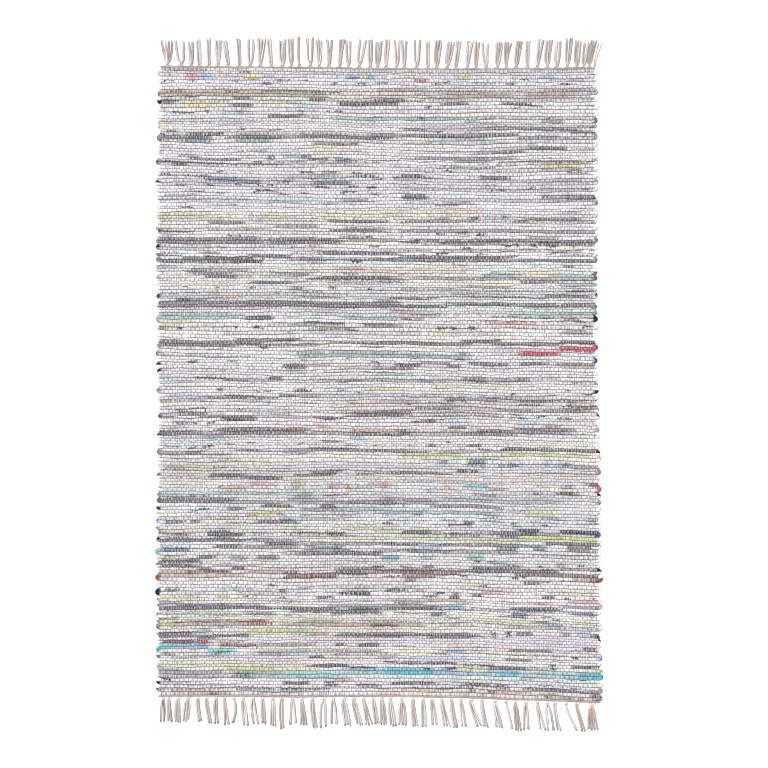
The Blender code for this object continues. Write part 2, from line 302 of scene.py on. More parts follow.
# The charts' colours, as seen from above.
SEEN = {
    name: srgb(*value)
    for name, value in dict(
        silver=(211, 209, 213),
        grey=(188, 186, 189),
        slate=(168, 165, 169),
        charcoal=(150, 147, 150),
        charcoaldark=(133, 130, 134),
        blackish=(112, 108, 114),
        black=(29, 28, 31),
        brown=(149, 138, 134),
        redbrown=(161, 137, 130),
        orangebrown=(186, 151, 125),
        tan=(191, 177, 165),
        beigedark=(195, 184, 176),
        beige=(221, 213, 205),
        drab=(186, 179, 169),
        olive=(150, 149, 126),
        olivepale=(193, 191, 166),
        orange=(206, 163, 138),
        orangepale=(217, 199, 186),
        peach=(224, 211, 202),
        peachpink=(224, 206, 204),
        pinkpale=(230, 214, 222),
        pink=(209, 181, 191),
        redpale=(202, 176, 176),
        red=(172, 112, 116),
        crimson=(190, 100, 122),
        rosedark=(186, 163, 170),
        rose=(235, 227, 232),
        plumred=(132, 98, 109),
        plum=(120, 109, 122),
        plumgrey=(144, 137, 148),
        mauve=(176, 169, 173),
        lilac=(222, 217, 230),
        lilacgrey=(205, 205, 217),
        ice=(223, 231, 238),
        sky=(176, 192, 208),
        skyblue=(168, 186, 207),
        skyturq=(164, 190, 200),
        steelpale=(191, 198, 207),
        steel=(152, 157, 167),
        steelblue=(140, 151, 164),
        blue=(112, 130, 164),
        navy=(98, 100, 116),
        navydark=(62, 62, 88),
        tealblue=(128, 152, 161),
        tealblue2=(146, 168, 174),
        tealdark=(116, 132, 134),
        teal=(128, 156, 158),
        sea=(173, 189, 188),
        seagrey=(171, 179, 178),
        turquoise=(150, 191, 197),
        turqsoft=(168, 196, 198),
        turqdeep=(132, 178, 193),
        seablue=(160, 182, 192),
        greenteal=(148, 180, 170),
        limesoft=(200, 204, 168),
        green=(140, 174, 158),
        greenpale=(172, 192, 185),
        mint=(212, 223, 218),
        greenlime=(184, 195, 162),
        lime=(195, 201, 160),
        limepale=(211, 213, 191),
        straw=(226, 223, 208),
        yellow=(221, 212, 174),
        gold=(216, 199, 152),
        moss=(171, 167, 136),
        rust=(166, 119, 92),
        cyan=(104, 184, 206),
        royal=(88, 90, 158),
    ).items()
}
SEEN = {name: np.clip(c.mean() + 1.16 * (c - c.mean()), 0.008, 1.0) for name, c in SEEN.items()}

# Every streak that stands out in the weave, charted: its middle in cm down
# from the upper end and across from the left selvedge, and how tall it is. A rag
# is 1.14 cm wide, so a low one is a rag's folded edge and a tall one several rags.
STREAKS = (
    # First rags, below the top heading.
    dict(down=2.6, tall=1.1, left=3.4, right=6.7, rag="tan"),
    dict(down=3.3, tall=2.5, left=9.2, right=15.8, rag="pink"),
    dict(down=3.7, tall=2.5, left=14.0, right=20.8, rag="sky"),
    dict(down=1.8, tall=0.7, left=17.2, right=20.5, rag="lilac"),
    dict(down=1.5, tall=0.9, left=6.7, right=17.6, rag="mauve"),
    dict(down=1.4, tall=0.7, left=37.9, right=51.6, rag="beigedark"),
    dict(down=2.4, tall=0.7, left=10.3, right=16.1, rag="rosedark"),
    dict(down=3.3, tall=1.4, left=21.9, right=24.1, rag="yellow"),
    dict(down=3.3, tall=1.4, left=24.5, right=29.9, rag="lilac"),
    dict(down=2.0, tall=0.8, left=29.9, right=33.5, rag="blue"),
    dict(down=3.6, tall=1.8, left=30.3, right=37.1, rag="yellow"),
    dict(down=3.6, tall=1.4, left=37.9, right=42.6, rag="steelpale"),
    dict(down=2.8, tall=1.1, left=44.4, right=51.6, rag="silver"),
    dict(down=3.9, tall=0.7, left=46.2, right=51.6, rag="rose"),
    dict(down=2.8, tall=1.1, left=51.6, right=68.0, rag="silver"),
    dict(down=3.9, tall=1.4, left=67.6, right=71.9, rag="sky"),
    dict(down=3.1, tall=2.2, left=71.9, right=75.2, rag="peach"),
    dict(down=3.8, tall=1.4, left=75.6, right=78.5, rag="turquoise"),
    dict(down=3.8, tall=1.1, left=79.2, right=81.4, rag="ice"),
    dict(down=5.1, tall=0.8, left=1.3, right=5.3, rag="black"),
    dict(down=5.1, tall=0.8, left=11.1, right=13.6, rag="black"),
    dict(down=5.8, tall=0.8, left=17.2, right=19.0, rag="black"),
    dict(down=5.1, tall=0.7, left=27.4, right=29.9, rag="black"),
    dict(down=4.5, tall=0.4, left=31.0, right=37.9, rag="charcoal"),
    dict(down=6.1, tall=0.8, left=38.2, right=41.5, rag="black"),
    dict(down=5.0, tall=0.7, left=42.6, right=44.8, rag="black"),
    dict(down=4.7, tall=0.5, left=45.1, right=47.7, rag="black"),
    dict(down=5.0, tall=0.7, left=51.6, right=54.5, rag="black"),
    dict(down=4.2, tall=0.7, left=70.1, right=73.4, rag="black"),
    dict(down=5.9, tall=0.9, left=62.2, right=65.1, rag="black"),
    dict(down=6.0, tall=0.7, left=71.9, right=75.2, rag="black"),
    dict(down=6.0, tall=0.7, left=79.2, right=83.5, rag="black"),
    # Olive, brown and dark bands.
    dict(down=10.1, tall=2.5, left=-0.2, right=62.5, rag="drab"),
    dict(down=9.6, tall=1.1, left=2.7, right=29.9, rag="brown"),
    dict(down=10.2, tall=1.8, left=9.6, right=15.8, rag="red"),
    dict(down=9.0, tall=0.7, left=37.1, right=66.9, rag="brown"),
    dict(down=10.4, tall=2.2, left=62.5, right=95.1, rag="beige"),
    dict(down=8.6, tall=0.4, left=20.8, right=95.1, rag="slate"),
    dict(down=12.2, tall=0.7, left=2.0, right=10.0, rag="charcoal"),
    dict(down=12.3, tall=0.5, left=10.0, right=27.0, rag="slate"),
    dict(down=11.8, tall=0.9, left=27.4, right=34.2, rag="charcoal"),
    dict(down=12.3, tall=0.6, left=34.2, right=51.6, rag="slate"),
    dict(down=12.1, tall=1.1, left=54.5, right=61.1, rag="charcoal"),
    dict(down=12.4, tall=0.6, left=60.7, right=87.9, rag="slate"),
    dict(down=13.4, tall=0.9, left=0.9, right=6.7, rag="charcoal"),
    dict(down=13.8, tall=0.9, left=25.5, right=34.2, rag="charcoal"),
    dict(down=13.1, tall=0.9, left=65.4, right=76.3, rag="charcoal"),
    dict(down=12.9, tall=1.2, left=75.6, right=87.9, rag="charcoal"),
    dict(down=14.0, tall=1.6, left=8.2, right=21.2, rag="yellow"),
    dict(down=13.8, tall=1.8, left=21.2, right=26.3, rag="straw"),
    dict(down=13.7, tall=1.8, left=35.3, right=48.7, rag="straw"),
    dict(down=13.7, tall=1.8, left=48.7, right=55.3, rag="mint"),
    dict(down=15.6, tall=0.5, left=5.3, right=12.5, rag="lilac"),
    dict(down=16.6, tall=0.7, left=4.9, right=14.0, rag="black"),
    dict(down=16.3, tall=0.7, left=17.2, right=19.0, rag="black"),
    dict(down=16.3, tall=0.7, left=24.5, right=27.0, rag="sky"),
    dict(down=16.1, tall=0.5, left=28.4, right=30.6, rag="slate"),
    dict(down=16.1, tall=0.7, left=50.9, right=52.7, rag="black"),
    dict(down=16.2, tall=0.7, left=60.7, right=68.0, rag="black"),
    dict(down=17.4, tall=1.1, left=20.8, right=37.1, rag="silver"),
    dict(down=18.1, tall=0.9, left=40.0, right=46.6, rag="charcoal"),
    dict(down=17.9, tall=1.3, left=45.8, right=51.6, rag="tealdark"),
    dict(down=17.5, tall=0.6, left=50.2, right=54.5, rag="charcoal"),
    dict(down=18.0, tall=0.7, left=53.5, right=58.9, rag="grey"),
    dict(down=19.1, tall=1.3, left=63.2, right=87.9, rag="sea"),
    dict(down=19.1, tall=1.6, left=69.8, right=79.2, rag="sea"),
    dict(down=18.2, tall=0.6, left=77.0, right=82.1, rag="charcoal"),
    dict(down=19.1, tall=0.4, left=8.2, right=16.5, rag="slate"),
    dict(down=20.1, tall=0.4, left=2.7, right=19.0, rag="slate"),
    dict(down=20.3, tall=1.1, left=2.0, right=4.5, rag="lilac"),
    dict(down=20.8, tall=1.8, left=20.8, right=31.7, rag="silver"),
    dict(down=22.5, tall=0.7, left=29.5, right=31.7, rag="black"),
    dict(down=22.8, tall=0.7, left=40.0, right=46.2, rag="black"),
    dict(down=23.2, tall=1.1, left=3.8, right=6.3, rag="black"),
    dict(down=24.4, tall=0.6, left=-0.2, right=24.5, rag="charcoal"),
    dict(down=24.2, tall=0.7, left=28.1, right=81.4, rag="slate"),
    dict(down=25.4, tall=1.1, left=-0.2, right=10.0, rag="charcoal"),
    dict(down=26.1, tall=0.5, left=0.9, right=10.0, rag="plumgrey"),
    dict(down=26.1, tall=1.1, left=10.3, right=19.8, rag="charcoal"),
    dict(down=26.7, tall=1.4, left=9.6, right=20.1, rag="steel"),
    dict(down=24.9, tall=1.2, left=11.8, right=24.8, rag="charcoal"),
    dict(down=25.6, tall=1.1, left=24.5, right=48.0, rag="charcoal"),
    dict(down=25.6, tall=1.0, left=48.0, right=81.4, rag="charcoal"),
    dict(down=25.0, tall=1.6, left=75.6, right=87.9, rag="charcoal"),
    dict(down=27.3, tall=1.1, left=28.1, right=41.5, rag="seagrey"),
    dict(down=27.6, tall=1.1, left=56.0, right=68.0, rag="mauve"),
    dict(down=28.2, tall=0.7, left=64.3, right=73.4, rag="charcoal"),
    dict(down=27.4, tall=0.7, left=68.0, right=86.1, rag="grey"),
    dict(down=28.5, tall=1.1, left=0.9, right=6.3, rag="silver"),
    dict(down=30.0, tall=2.9, left=53.5, right=68.0, rag="straw"),
    dict(down=31.9, tall=0.9, left=7.1, right=15.4, rag="grey"),
    dict(down=32.8, tall=1.8, left=39.7, right=41.9, rag="tealdark"),
    dict(down=32.7, tall=1.8, left=45.5, right=51.6, rag="seagrey"),
    dict(down=32.9, tall=1.4, left=51.3, right=55.3, rag="charcoal"),
    dict(down=33.6, tall=1.2, left=54.5, right=63.2, rag="charcoal"),
    dict(down=33.4, tall=1.7, left=64.3, right=70.1, rag="steel"),
    dict(down=33.9, tall=0.8, left=68.0, right=87.9, rag="charcoal"),
    dict(down=33.0, tall=0.4, left=29.9, right=40.8, rag="slate"),
    dict(down=33.8, tall=1.2, left=11.1, right=30.3, rag="charcoal"),
    dict(down=34.1, tall=0.5, left=0.9, right=11.1, rag="slate"),
    dict(down=35.2, tall=0.7, left=1.6, right=44.8, rag="charcoal"),
    dict(down=34.8, tall=1.1, left=6.0, right=10.7, rag="navy"),
    dict(down=34.7, tall=1.1, left=33.9, right=38.2, rag="charcoal"),
    dict(down=34.5, tall=0.5, left=37.9, right=81.4, rag="charcoal"),
    dict(down=35.8, tall=0.4, left=68.0, right=74.8, rag="slate"),
    dict(down=38.1, tall=0.7, left=21.9, right=23.7, rag="black"),
    dict(down=38.4, tall=1.1, left=52.7, right=56.4, rag="black"),
    dict(down=38.0, tall=0.7, left=60.0, right=64.3, rag="charcoal"),
    dict(down=38.6, tall=0.7, left=71.2, right=74.5, rag="black"),
    dict(down=40.7, tall=1.7, left=17.9, right=30.3, rag="steel"),
    dict(down=40.6, tall=1.1, left=7.4, right=14.0, rag="ice"),
    dict(down=41.3, tall=1.6, left=29.2, right=37.9, rag="steel"),
    dict(down=41.4, tall=0.7, left=35.0, right=48.0, rag="charcoal"),
    dict(down=42.2, tall=1.1, left=18.3, right=24.8, rag="steelpale"),
    dict(down=40.2, tall=0.5, left=48.0, right=58.9, rag="slate"),
    dict(down=40.5, tall=0.7, left=57.4, right=68.3, rag="sky"),
    dict(down=41.8, tall=1.3, left=56.0, right=70.8, rag="steel"),
    dict(down=41.0, tall=1.4, left=70.5, right=78.8, rag="ice"),
    dict(down=40.7, tall=0.7, left=78.5, right=82.1, rag="black"),
    dict(down=42.9, tall=0.8, left=17.6, right=20.8, rag="black"),
    dict(down=42.9, tall=0.8, left=27.7, right=30.6, rag="black"),
    dict(down=43.0, tall=0.6, left=7.4, right=10.7, rag="charcoal"),
    dict(down=43.0, tall=0.7, left=35.7, right=38.2, rag="black"),
    dict(down=42.9, tall=0.8, left=39.7, right=41.9, rag="black"),
    dict(down=43.0, tall=1.1, left=57.4, right=62.2, rag="black"),
    dict(down=42.8, tall=1.1, left=69.4, right=71.6, rag="black"),
    dict(down=43.7, tall=0.7, left=75.2, right=79.9, rag="black"),
    dict(down=45.3, tall=0.7, left=12.9, right=17.2, rag="charcoal"),
    dict(down=44.8, tall=0.9, left=34.6, right=36.8, rag="black"),
    dict(down=44.9, tall=0.8, left=36.1, right=42.9, rag="black"),
    dict(down=45.5, tall=1.2, left=65.8, right=71.6, rag="black"),
    dict(down=46.0, tall=0.7, left=52.7, right=55.3, rag="black"),
    dict(down=45.8, tall=0.6, left=18.7, right=23.7, rag="charcoal"),
    dict(down=46.0, tall=0.6, left=44.0, right=48.4, rag="charcoal"),
    dict(down=46.2, tall=0.6, left=76.6, right=80.6, rag="charcoal"),
    dict(down=46.4, tall=0.5, left=2.7, right=15.4, rag="slate"),
    dict(down=47.6, tall=0.4, left=-0.2, right=33.5, rag="slate"),
    dict(down=48.7, tall=0.7, left=17.2, right=58.9, rag="grey"),
    dict(down=48.3, tall=1.4, left=66.9, right=77.7, rag="slate"),
    dict(down=48.7, tall=0.7, left=-0.2, right=81.4, rag="grey"),
    dict(down=50.8, tall=0.9, left=8.2, right=12.5, rag="charcoal"),
    dict(down=50.0, tall=0.5, left=25.2, right=28.8, rag="charcoal"),
    dict(down=49.7, tall=0.7, left=60.3, right=64.7, rag="slate"),
    dict(down=54.0, tall=2.5, left=-0.6, right=18.3, rag="limepale"),
    dict(down=53.8, tall=1.4, left=18.3, right=29.9, rag="straw"),
    dict(down=54.0, tall=1.8, left=37.9, right=48.0, rag="limepale"),
    dict(down=51.9, tall=1.4, left=56.7, right=62.9, rag="straw"),
    dict(down=54.8, tall=1.6, left=58.2, right=68.3, rag="limepale"),
    dict(down=54.6, tall=1.1, left=51.6, right=58.2, rag="straw"),
    dict(down=53.1, tall=2.9, left=62.5, right=87.9, rag="straw"),
    dict(down=56.2, tall=0.9, left=17.9, right=32.1, rag="charcoal"),
    dict(down=55.8, tall=0.4, left=0.9, right=18.3, rag="slate"),
    dict(down=56.2, tall=1.2, left=60.3, right=84.3, rag="charcoal"),
    dict(down=55.8, tall=0.5, left=33.5, right=60.7, rag="slate"),
    dict(down=58.7, tall=1.1, left=17.9, right=39.3, rag="grey"),
    dict(down=58.1, tall=1.2, left=42.2, right=58.5, rag="slate"),
    dict(down=59.7, tall=1.3, left=62.2, right=84.3, rag="charcoal"),
    dict(down=58.6, tall=0.7, left=68.0, right=84.3, rag="slate"),
    dict(down=59.7, tall=0.7, left=-0.2, right=12.9, rag="charcoal"),
    dict(down=58.9, tall=0.4, left=0.9, right=18.3, rag="slate"),
    dict(down=59.7, tall=0.5, left=42.6, right=62.5, rag="slate"),
    dict(down=61.1, tall=0.5, left=2.0, right=7.8, rag="slate"),
    dict(down=61.2, tall=0.7, left=25.9, right=30.3, rag="black"),
    dict(down=61.8, tall=0.4, left=32.4, right=35.3, rag="charcoal"),
    dict(down=63.4, tall=2.3, left=-0.2, right=39.3, rag="charcoal"),
    dict(down=63.0, tall=2.1, left=39.0, right=66.5, rag="charcoal"),
    dict(down=62.9, tall=2.0, left=66.1, right=87.9, rag="slate"),
    dict(down=62.0, tall=1.1, left=75.9, right=78.1, rag="black"),
    dict(down=65.1, tall=0.7, left=53.5, right=58.9, rag="slate"),
    dict(down=65.6, tall=0.6, left=20.8, right=23.7, rag="charcoal"),
    dict(down=65.5, tall=0.6, left=47.7, right=50.6, rag="charcoal"),
    dict(down=65.1, tall=0.9, left=76.6, right=79.9, rag="black"),
    dict(down=66.8, tall=1.3, left=15.4, right=23.0, rag="beige"),
    dict(down=67.5, tall=0.6, left=15.0, right=22.3, rag="brown"),
    dict(down=67.2, tall=0.4, left=0.9, right=8.5, rag="slate"),
    dict(down=66.6, tall=1.8, left=54.2, right=59.3, rag="peachpink"),
    dict(down=67.5, tall=0.4, left=46.2, right=61.1, rag="brown"),
    dict(down=68.5, tall=0.7, left=-0.2, right=9.2, rag="charcoal"),
    dict(down=69.7, tall=2.0, left=8.9, right=17.6, rag="charcoal"),
    dict(down=70.4, tall=1.4, left=0.9, right=9.2, rag="charcoal"),
    dict(down=69.2, tall=1.6, left=16.5, right=33.9, rag="charcoal"),
    dict(down=70.4, tall=1.4, left=16.1, right=38.2, rag="blackish"),
    dict(down=69.0, tall=1.6, left=33.2, right=48.4, rag="charcoal"),
    dict(down=69.3, tall=1.5, left=47.7, right=59.3, rag="slate"),
    dict(down=69.9, tall=0.7, left=51.6, right=87.9, rag="charcoal"),
    dict(down=68.2, tall=1.2, left=58.5, right=87.9, rag="charcoal"),
    dict(down=69.9, tall=1.3, left=77.4, right=87.9, rag="charcoal"),
    dict(down=70.6, tall=0.9, left=22.3, right=25.9, rag="ice"),
    dict(down=70.9, tall=0.6, left=54.9, right=61.1, rag="slate"),
    dict(down=70.9, tall=0.9, left=70.1, right=73.7, rag="black"),
    dict(down=72.4, tall=1.4, left=-0.5, right=7.1, rag="sea"),
    dict(down=72.4, tall=1.4, left=6.7, right=16.1, rag="mint"),
    dict(down=73.1, tall=0.7, left=13.6, right=28.1, rag="seagrey"),
    dict(down=72.7, tall=0.9, left=40.4, right=48.4, rag="rose"),
    dict(down=73.2, tall=1.4, left=64.7, right=74.5, rag="redpale"),
    dict(down=73.2, tall=1.1, left=74.5, right=87.9, rag="peach"),
    dict(down=73.2, tall=1.1, left=51.6, right=64.3, rag="beige"),
    dict(down=73.6, tall=0.5, left=19.0, right=33.9, rag="slate"),
    dict(down=73.9, tall=1.1, left=-0.2, right=3.1, rag="rose"),
    dict(down=73.8, tall=0.7, left=49.5, right=57.4, rag="drab"),
    dict(down=74.3, tall=1.4, left=74.5, right=87.9, rag="peach"),
    dict(down=73.8, tall=1.1, left=42.2, right=48.4, rag="peach"),
    dict(down=74.6, tall=1.1, left=27.0, right=31.0, rag="peachpink"),
    dict(down=76.5, tall=1.2, left=16.5, right=30.3, rag="charcoaldark"),
    dict(down=76.5, tall=1.2, left=29.9, right=34.2, rag="steelpale"),
    dict(down=75.3, tall=1.4, left=33.9, right=38.2, rag="straw"),
    dict(down=76.6, tall=0.5, left=-0.2, right=10.0, rag="slate"),
    dict(down=77.9, tall=1.2, left=32.8, right=47.7, rag="charcoaldark"),
    dict(down=77.9, tall=0.7, left=46.2, right=55.6, rag="slate"),
    dict(down=76.8, tall=1.7, left=54.2, right=87.9, rag="charcoal"),
    dict(down=78.3, tall=0.7, left=66.1, right=87.9, rag="slate"),
    dict(down=76.1, tall=0.7, left=37.9, right=52.0, rag="grey"),
    dict(down=79.6, tall=0.6, left=8.9, right=12.1, rag="charcoal"),
    dict(down=80.0, tall=0.7, left=20.5, right=22.6, rag="black"),
    dict(down=79.9, tall=0.7, left=33.2, right=35.3, rag="black"),
    dict(down=79.9, tall=0.7, left=48.7, right=53.5, rag="charcoal"),
    dict(down=79.8, tall=0.7, left=61.8, right=64.3, rag="charcoal"),
    dict(down=80.6, tall=1.1, left=75.2, right=77.7, rag="black"),
    dict(down=80.7, tall=0.4, left=0.9, right=15.8, rag="slate"),
    dict(down=81.0, tall=0.7, left=48.0, right=59.3, rag="slate"),
    dict(down=81.2, tall=1.4, left=53.5, right=64.7, rag="beige"),
    dict(down=81.0, tall=0.4, left=69.8, right=87.9, rag="slate"),
    dict(down=81.8, tall=0.4, left=0.9, right=15.8, rag="brown"),
    dict(down=82.1, tall=1.8, left=17.9, right=23.0, rag="drab"),
    dict(down=82.3, tall=1.4, left=24.5, right=30.3, rag="orangepale"),
    dict(down=82.1, tall=1.1, left=38.2, right=42.9, rag="orangepale"),
    dict(down=82.1, tall=0.5, left=42.6, right=50.2, rag="brown"),
    dict(down=82.1, tall=0.5, left=53.5, right=68.3, rag="slate"),
    dict(down=82.2, tall=1.1, left=68.0, right=87.9, rag="silver"),
    dict(down=83.6, tall=0.7, left=17.6, right=23.0, rag="charcoal"),
    dict(down=83.4, tall=0.8, left=50.9, right=68.3, rag="charcoal"),
    dict(down=83.2, tall=0.5, left=27.7, right=32.1, rag="charcoal"),
    dict(down=84.5, tall=1.1, left=7.1, right=12.1, rag="navy"),
    dict(down=84.6, tall=0.9, left=11.8, right=18.3, rag="steel"),
    dict(down=84.1, tall=0.6, left=18.3, right=28.4, rag="slate"),
    dict(down=86.3, tall=2.5, left=-0.2, right=26.6, rag="slate"),
    dict(down=86.2, tall=2.7, left=25.9, right=87.9, rag="charcoal"),
    dict(down=85.0, tall=0.5, left=40.8, right=55.6, rag="charcoal"),
    dict(down=88.6, tall=1.4, left=26.3, right=41.1, rag="rose"),
    dict(down=90.8, tall=2.4, left=-0.5, right=31.3, rag="sea"),
    dict(down=91.3, tall=1.5, left=30.6, right=41.9, rag="tealdark"),
    dict(down=90.7, tall=0.6, left=41.1, right=48.4, rag="charcoal"),
    dict(down=90.7, tall=1.4, left=48.0, right=59.3, rag="mint"),
    dict(down=91.1, tall=1.5, left=65.8, right=87.9, rag="sea"),
    dict(down=92.7, tall=1.2, left=7.1, right=13.6, rag="limepale"),
    dict(down=92.6, tall=1.4, left=0.2, right=7.8, rag="straw"),
    dict(down=92.9, tall=0.5, left=16.1, right=21.2, rag="slate"),
    dict(down=92.8, tall=0.7, left=53.1, right=66.5, rag="charcoal"),
    dict(down=93.2, tall=1.1, left=74.8, right=87.9, rag="slate"),
    dict(down=93.4, tall=0.5, left=39.7, right=52.0, rag="slate"),
    dict(down=93.8, tall=0.9, left=47.7, right=57.4, rag="sea"),
    dict(down=94.3, tall=0.4, left=11.8, right=28.4, rag="slate"),
    dict(down=94.3, tall=0.7, left=27.4, right=29.5, rag="black"),
    dict(down=94.5, tall=0.7, left=35.0, right=37.5, rag="black"),
    dict(down=95.4, tall=1.1, left=6.3, right=9.6, rag="black"),
    dict(down=95.0, tall=0.6, left=54.9, right=70.1, rag="charcoal"),
    dict(down=95.4, tall=0.8, left=67.6, right=73.7, rag="black"),
    dict(down=96.5, tall=1.4, left=24.5, right=52.0, rag="silver"),
    dict(down=96.5, tall=1.8, left=53.1, right=87.9, rag="silver"),
    # Below the middle of the upper half.
    dict(down=99.6, tall=0.8, left=2.0, right=27.4, rag="charcoal"),
    dict(down=99.6, tall=2.2, left=28.1, right=38.2, rag="charcoal"),
    dict(down=99.4, tall=1.7, left=37.5, right=50.9, rag="charcoal"),
    dict(down=101.0, tall=1.2, left=0.9, right=28.4, rag="brown"),
    dict(down=101.0, tall=0.8, left=26.6, right=62.9, rag="brown"),
    dict(down=99.6, tall=0.8, left=50.2, right=81.4, rag="slate"),
    dict(down=100.1, tall=1.0, left=62.2, right=87.9, rag="charcoal"),
    dict(down=101.4, tall=0.8, left=73.0, right=82.8, rag="charcoal"),
    dict(down=100.3, tall=1.4, left=0.9, right=28.4, rag="mauve"),
    dict(down=101.9, tall=1.1, left=2.0, right=32.1, rag="rose"),
    dict(down=101.9, tall=0.9, left=21.6, right=24.5, rag="charcoal"),
    dict(down=102.6, tall=0.6, left=17.9, right=22.3, rag="charcoal"),
    dict(down=101.7, tall=0.7, left=37.5, right=39.7, rag="charcoal"),
    dict(down=103.0, tall=0.4, left=46.2, right=87.9, rag="slate"),
    dict(down=104.6, tall=1.8, left=49.8, right=59.3, rag="seagrey"),
    dict(down=104.4, tall=1.8, left=58.9, right=87.9, rag="seagrey"),
    dict(down=104.8, tall=0.5, left=0.9, right=33.9, rag="slate"),
    dict(down=104.3, tall=0.7, left=10.0, right=15.8, rag="slate"),
    dict(down=106.6, tall=1.4, left=10.3, right=14.0, rag="black"),
    dict(down=106.8, tall=0.8, left=25.5, right=28.4, rag="charcoal"),
    dict(down=106.3, tall=0.7, left=52.4, right=54.9, rag="charcoal"),
    dict(down=105.9, tall=0.6, left=68.0, right=70.8, rag="charcoal"),
    dict(down=107.5, tall=0.9, left=77.4, right=82.1, rag="black"),
    dict(down=108.4, tall=1.8, left=45.8, right=53.8, rag="brown"),
    dict(down=108.1, tall=1.5, left=53.5, right=63.6, rag="beigedark"),
    dict(down=108.1, tall=1.8, left=62.9, right=70.8, rag="beige"),
    dict(down=108.4, tall=1.4, left=70.1, right=87.9, rag="silver"),
    dict(down=109.5, tall=0.8, left=-0.2, right=24.8, rag="drab"),
    dict(down=110.1, tall=0.6, left=38.6, right=52.0, rag="slate"),
    dict(down=109.3, tall=0.6, left=65.8, right=87.9, rag="slate"),
    dict(down=110.2, tall=1.1, left=7.8, right=15.8, rag="ice"),
    dict(down=110.6, tall=0.4, left=44.4, right=87.9, rag="brown"),
    dict(down=112.8, tall=0.8, left=14.0, right=24.8, rag="charcoal"),
    dict(down=113.3, tall=1.2, left=24.1, right=33.2, rag="charcoal"),
    dict(down=113.5, tall=0.8, left=32.4, right=41.1, rag="mauve"),
    dict(down=113.1, tall=1.7, left=40.4, right=45.5, rag="charcoal"),
    dict(down=113.5, tall=0.6, left=44.8, right=66.5, rag="slate"),
    dict(down=113.3, tall=1.2, left=64.3, right=74.5, rag="charcoal"),
    dict(down=113.5, tall=0.6, left=73.7, right=81.4, rag="slate"),
    dict(down=114.1, tall=0.4, left=48.0, right=81.4, rag="charcoal"),
    dict(down=112.8, tall=0.4, left=-0.2, right=14.7, rag="slate"),
    dict(down=114.2, tall=0.5, left=6.0, right=14.0, rag="slate"),
    dict(down=114.6, tall=0.6, left=34.2, right=39.7, rag="charcoal"),
    dict(down=115.9, tall=0.4, left=2.7, right=37.5, rag="slate"),
    dict(down=117.1, tall=0.8, left=21.9, right=24.1, rag="black"),
    dict(down=117.3, tall=1.2, left=35.0, right=37.5, rag="black"),
    dict(down=117.5, tall=0.7, left=39.0, right=41.5, rag="charcoal"),
    dict(down=117.1, tall=0.7, left=49.8, right=52.7, rag="charcoal"),
    dict(down=117.0, tall=0.9, left=53.1, right=55.3, rag="black"),
    dict(down=117.3, tall=0.7, left=65.8, right=68.7, rag="charcoal"),
    dict(down=117.9, tall=0.6, left=72.3, right=74.5, rag="charcoal"),
    dict(down=119.8, tall=2.2, left=2.7, right=17.6, rag="lilacgrey"),
    dict(down=119.7, tall=0.9, left=15.0, right=23.7, rag="charcoal"),
    dict(down=119.7, tall=1.6, left=23.0, right=33.9, rag="charcoal"),
    dict(down=119.8, tall=0.7, left=33.2, right=44.0, rag="charcoal"),
    dict(down=119.5, tall=1.2, left=43.3, right=50.9, rag="steel"),
    dict(down=119.3, tall=1.1, left=50.2, right=59.3, rag="slate"),
    dict(down=119.1, tall=1.5, left=58.5, right=102.7, rag="lilacgrey"),
    dict(down=120.8, tall=0.6, left=-0.2, right=15.8, rag="slate"),
    dict(down=121.3, tall=0.6, left=15.0, right=21.6, rag="charcoal"),
    dict(down=121.1, tall=0.4, left=24.1, right=37.5, rag="slate"),
    dict(down=122.2, tall=1.1, left=35.3, right=42.9, rag="ice"),
    dict(down=122.2, tall=1.1, left=64.0, right=68.3, rag="straw"),
    dict(down=122.6, tall=1.1, left=71.2, right=87.9, rag="peachpink"),
    dict(down=122.6, tall=1.1, left=-0.2, right=4.9, rag="straw"),
    dict(down=116.4, tall=1.4, left=75.2, right=92.6, rag="limepale"),
    dict(down=115.3, tall=1.1, left=65.8, right=87.9, rag="lilac"),
    # The crimson rag and what lies round it.
    dict(down=99.9, tall=1.2, left=79.2, right=113.6, rag="charcoal"),
    dict(down=99.8, tall=1.6, left=109.3, right=124.5, rag="charcoal"),
    dict(down=100.7, tall=1.2, left=120.1, right=139.0, rag="charcoal"),
    dict(down=100.4, tall=1.4, left=134.6, right=146.2, rag="charcoal"),
    dict(down=100.0, tall=1.4, left=145.5, right=160.0, rag="charcoal"),
    dict(down=101.4, tall=0.7, left=79.2, right=82.8, rag="charcoal"),
    dict(down=102.5, tall=1.2, left=129.6, right=146.2, rag="pink"),
    dict(down=103.6, tall=1.2, left=130.3, right=146.2, rag="crimson"),
    dict(down=102.5, tall=1.8, left=145.1, right=160.4, rag="crimson"),
    dict(down=101.8, tall=0.5, left=121.9, right=131.7, rag="pink"),
    dict(down=104.8, tall=1.8, left=87.2, right=113.6, rag="seagrey"),
    dict(down=105.2, tall=1.4, left=91.1, right=94.8, rag="charcoal"),
    dict(down=104.5, tall=1.1, left=107.5, right=113.6, rag="slate"),
    dict(down=105.2, tall=1.2, left=129.2, right=140.8, rag="mint"),
    dict(down=105.4, tall=1.8, left=147.3, right=157.1, rag="lilac"),
    dict(down=106.1, tall=0.6, left=107.5, right=111.1, rag="charcoal"),
    dict(down=106.3, tall=0.5, left=134.6, right=143.3, rag="charcoal"),
    dict(down=107.9, tall=1.0, left=79.2, right=87.5, rag="charcoal"),
    dict(down=108.1, tall=1.5, left=86.8, right=95.5, rag="blackish"),
    dict(down=107.4, tall=1.1, left=94.8, right=102.7, rag="slate"),
    dict(down=107.4, tall=1.2, left=102.0, right=106.4, rag="charcoal"),
    dict(down=108.5, tall=0.9, left=104.9, right=110.0, rag="charcoal"),
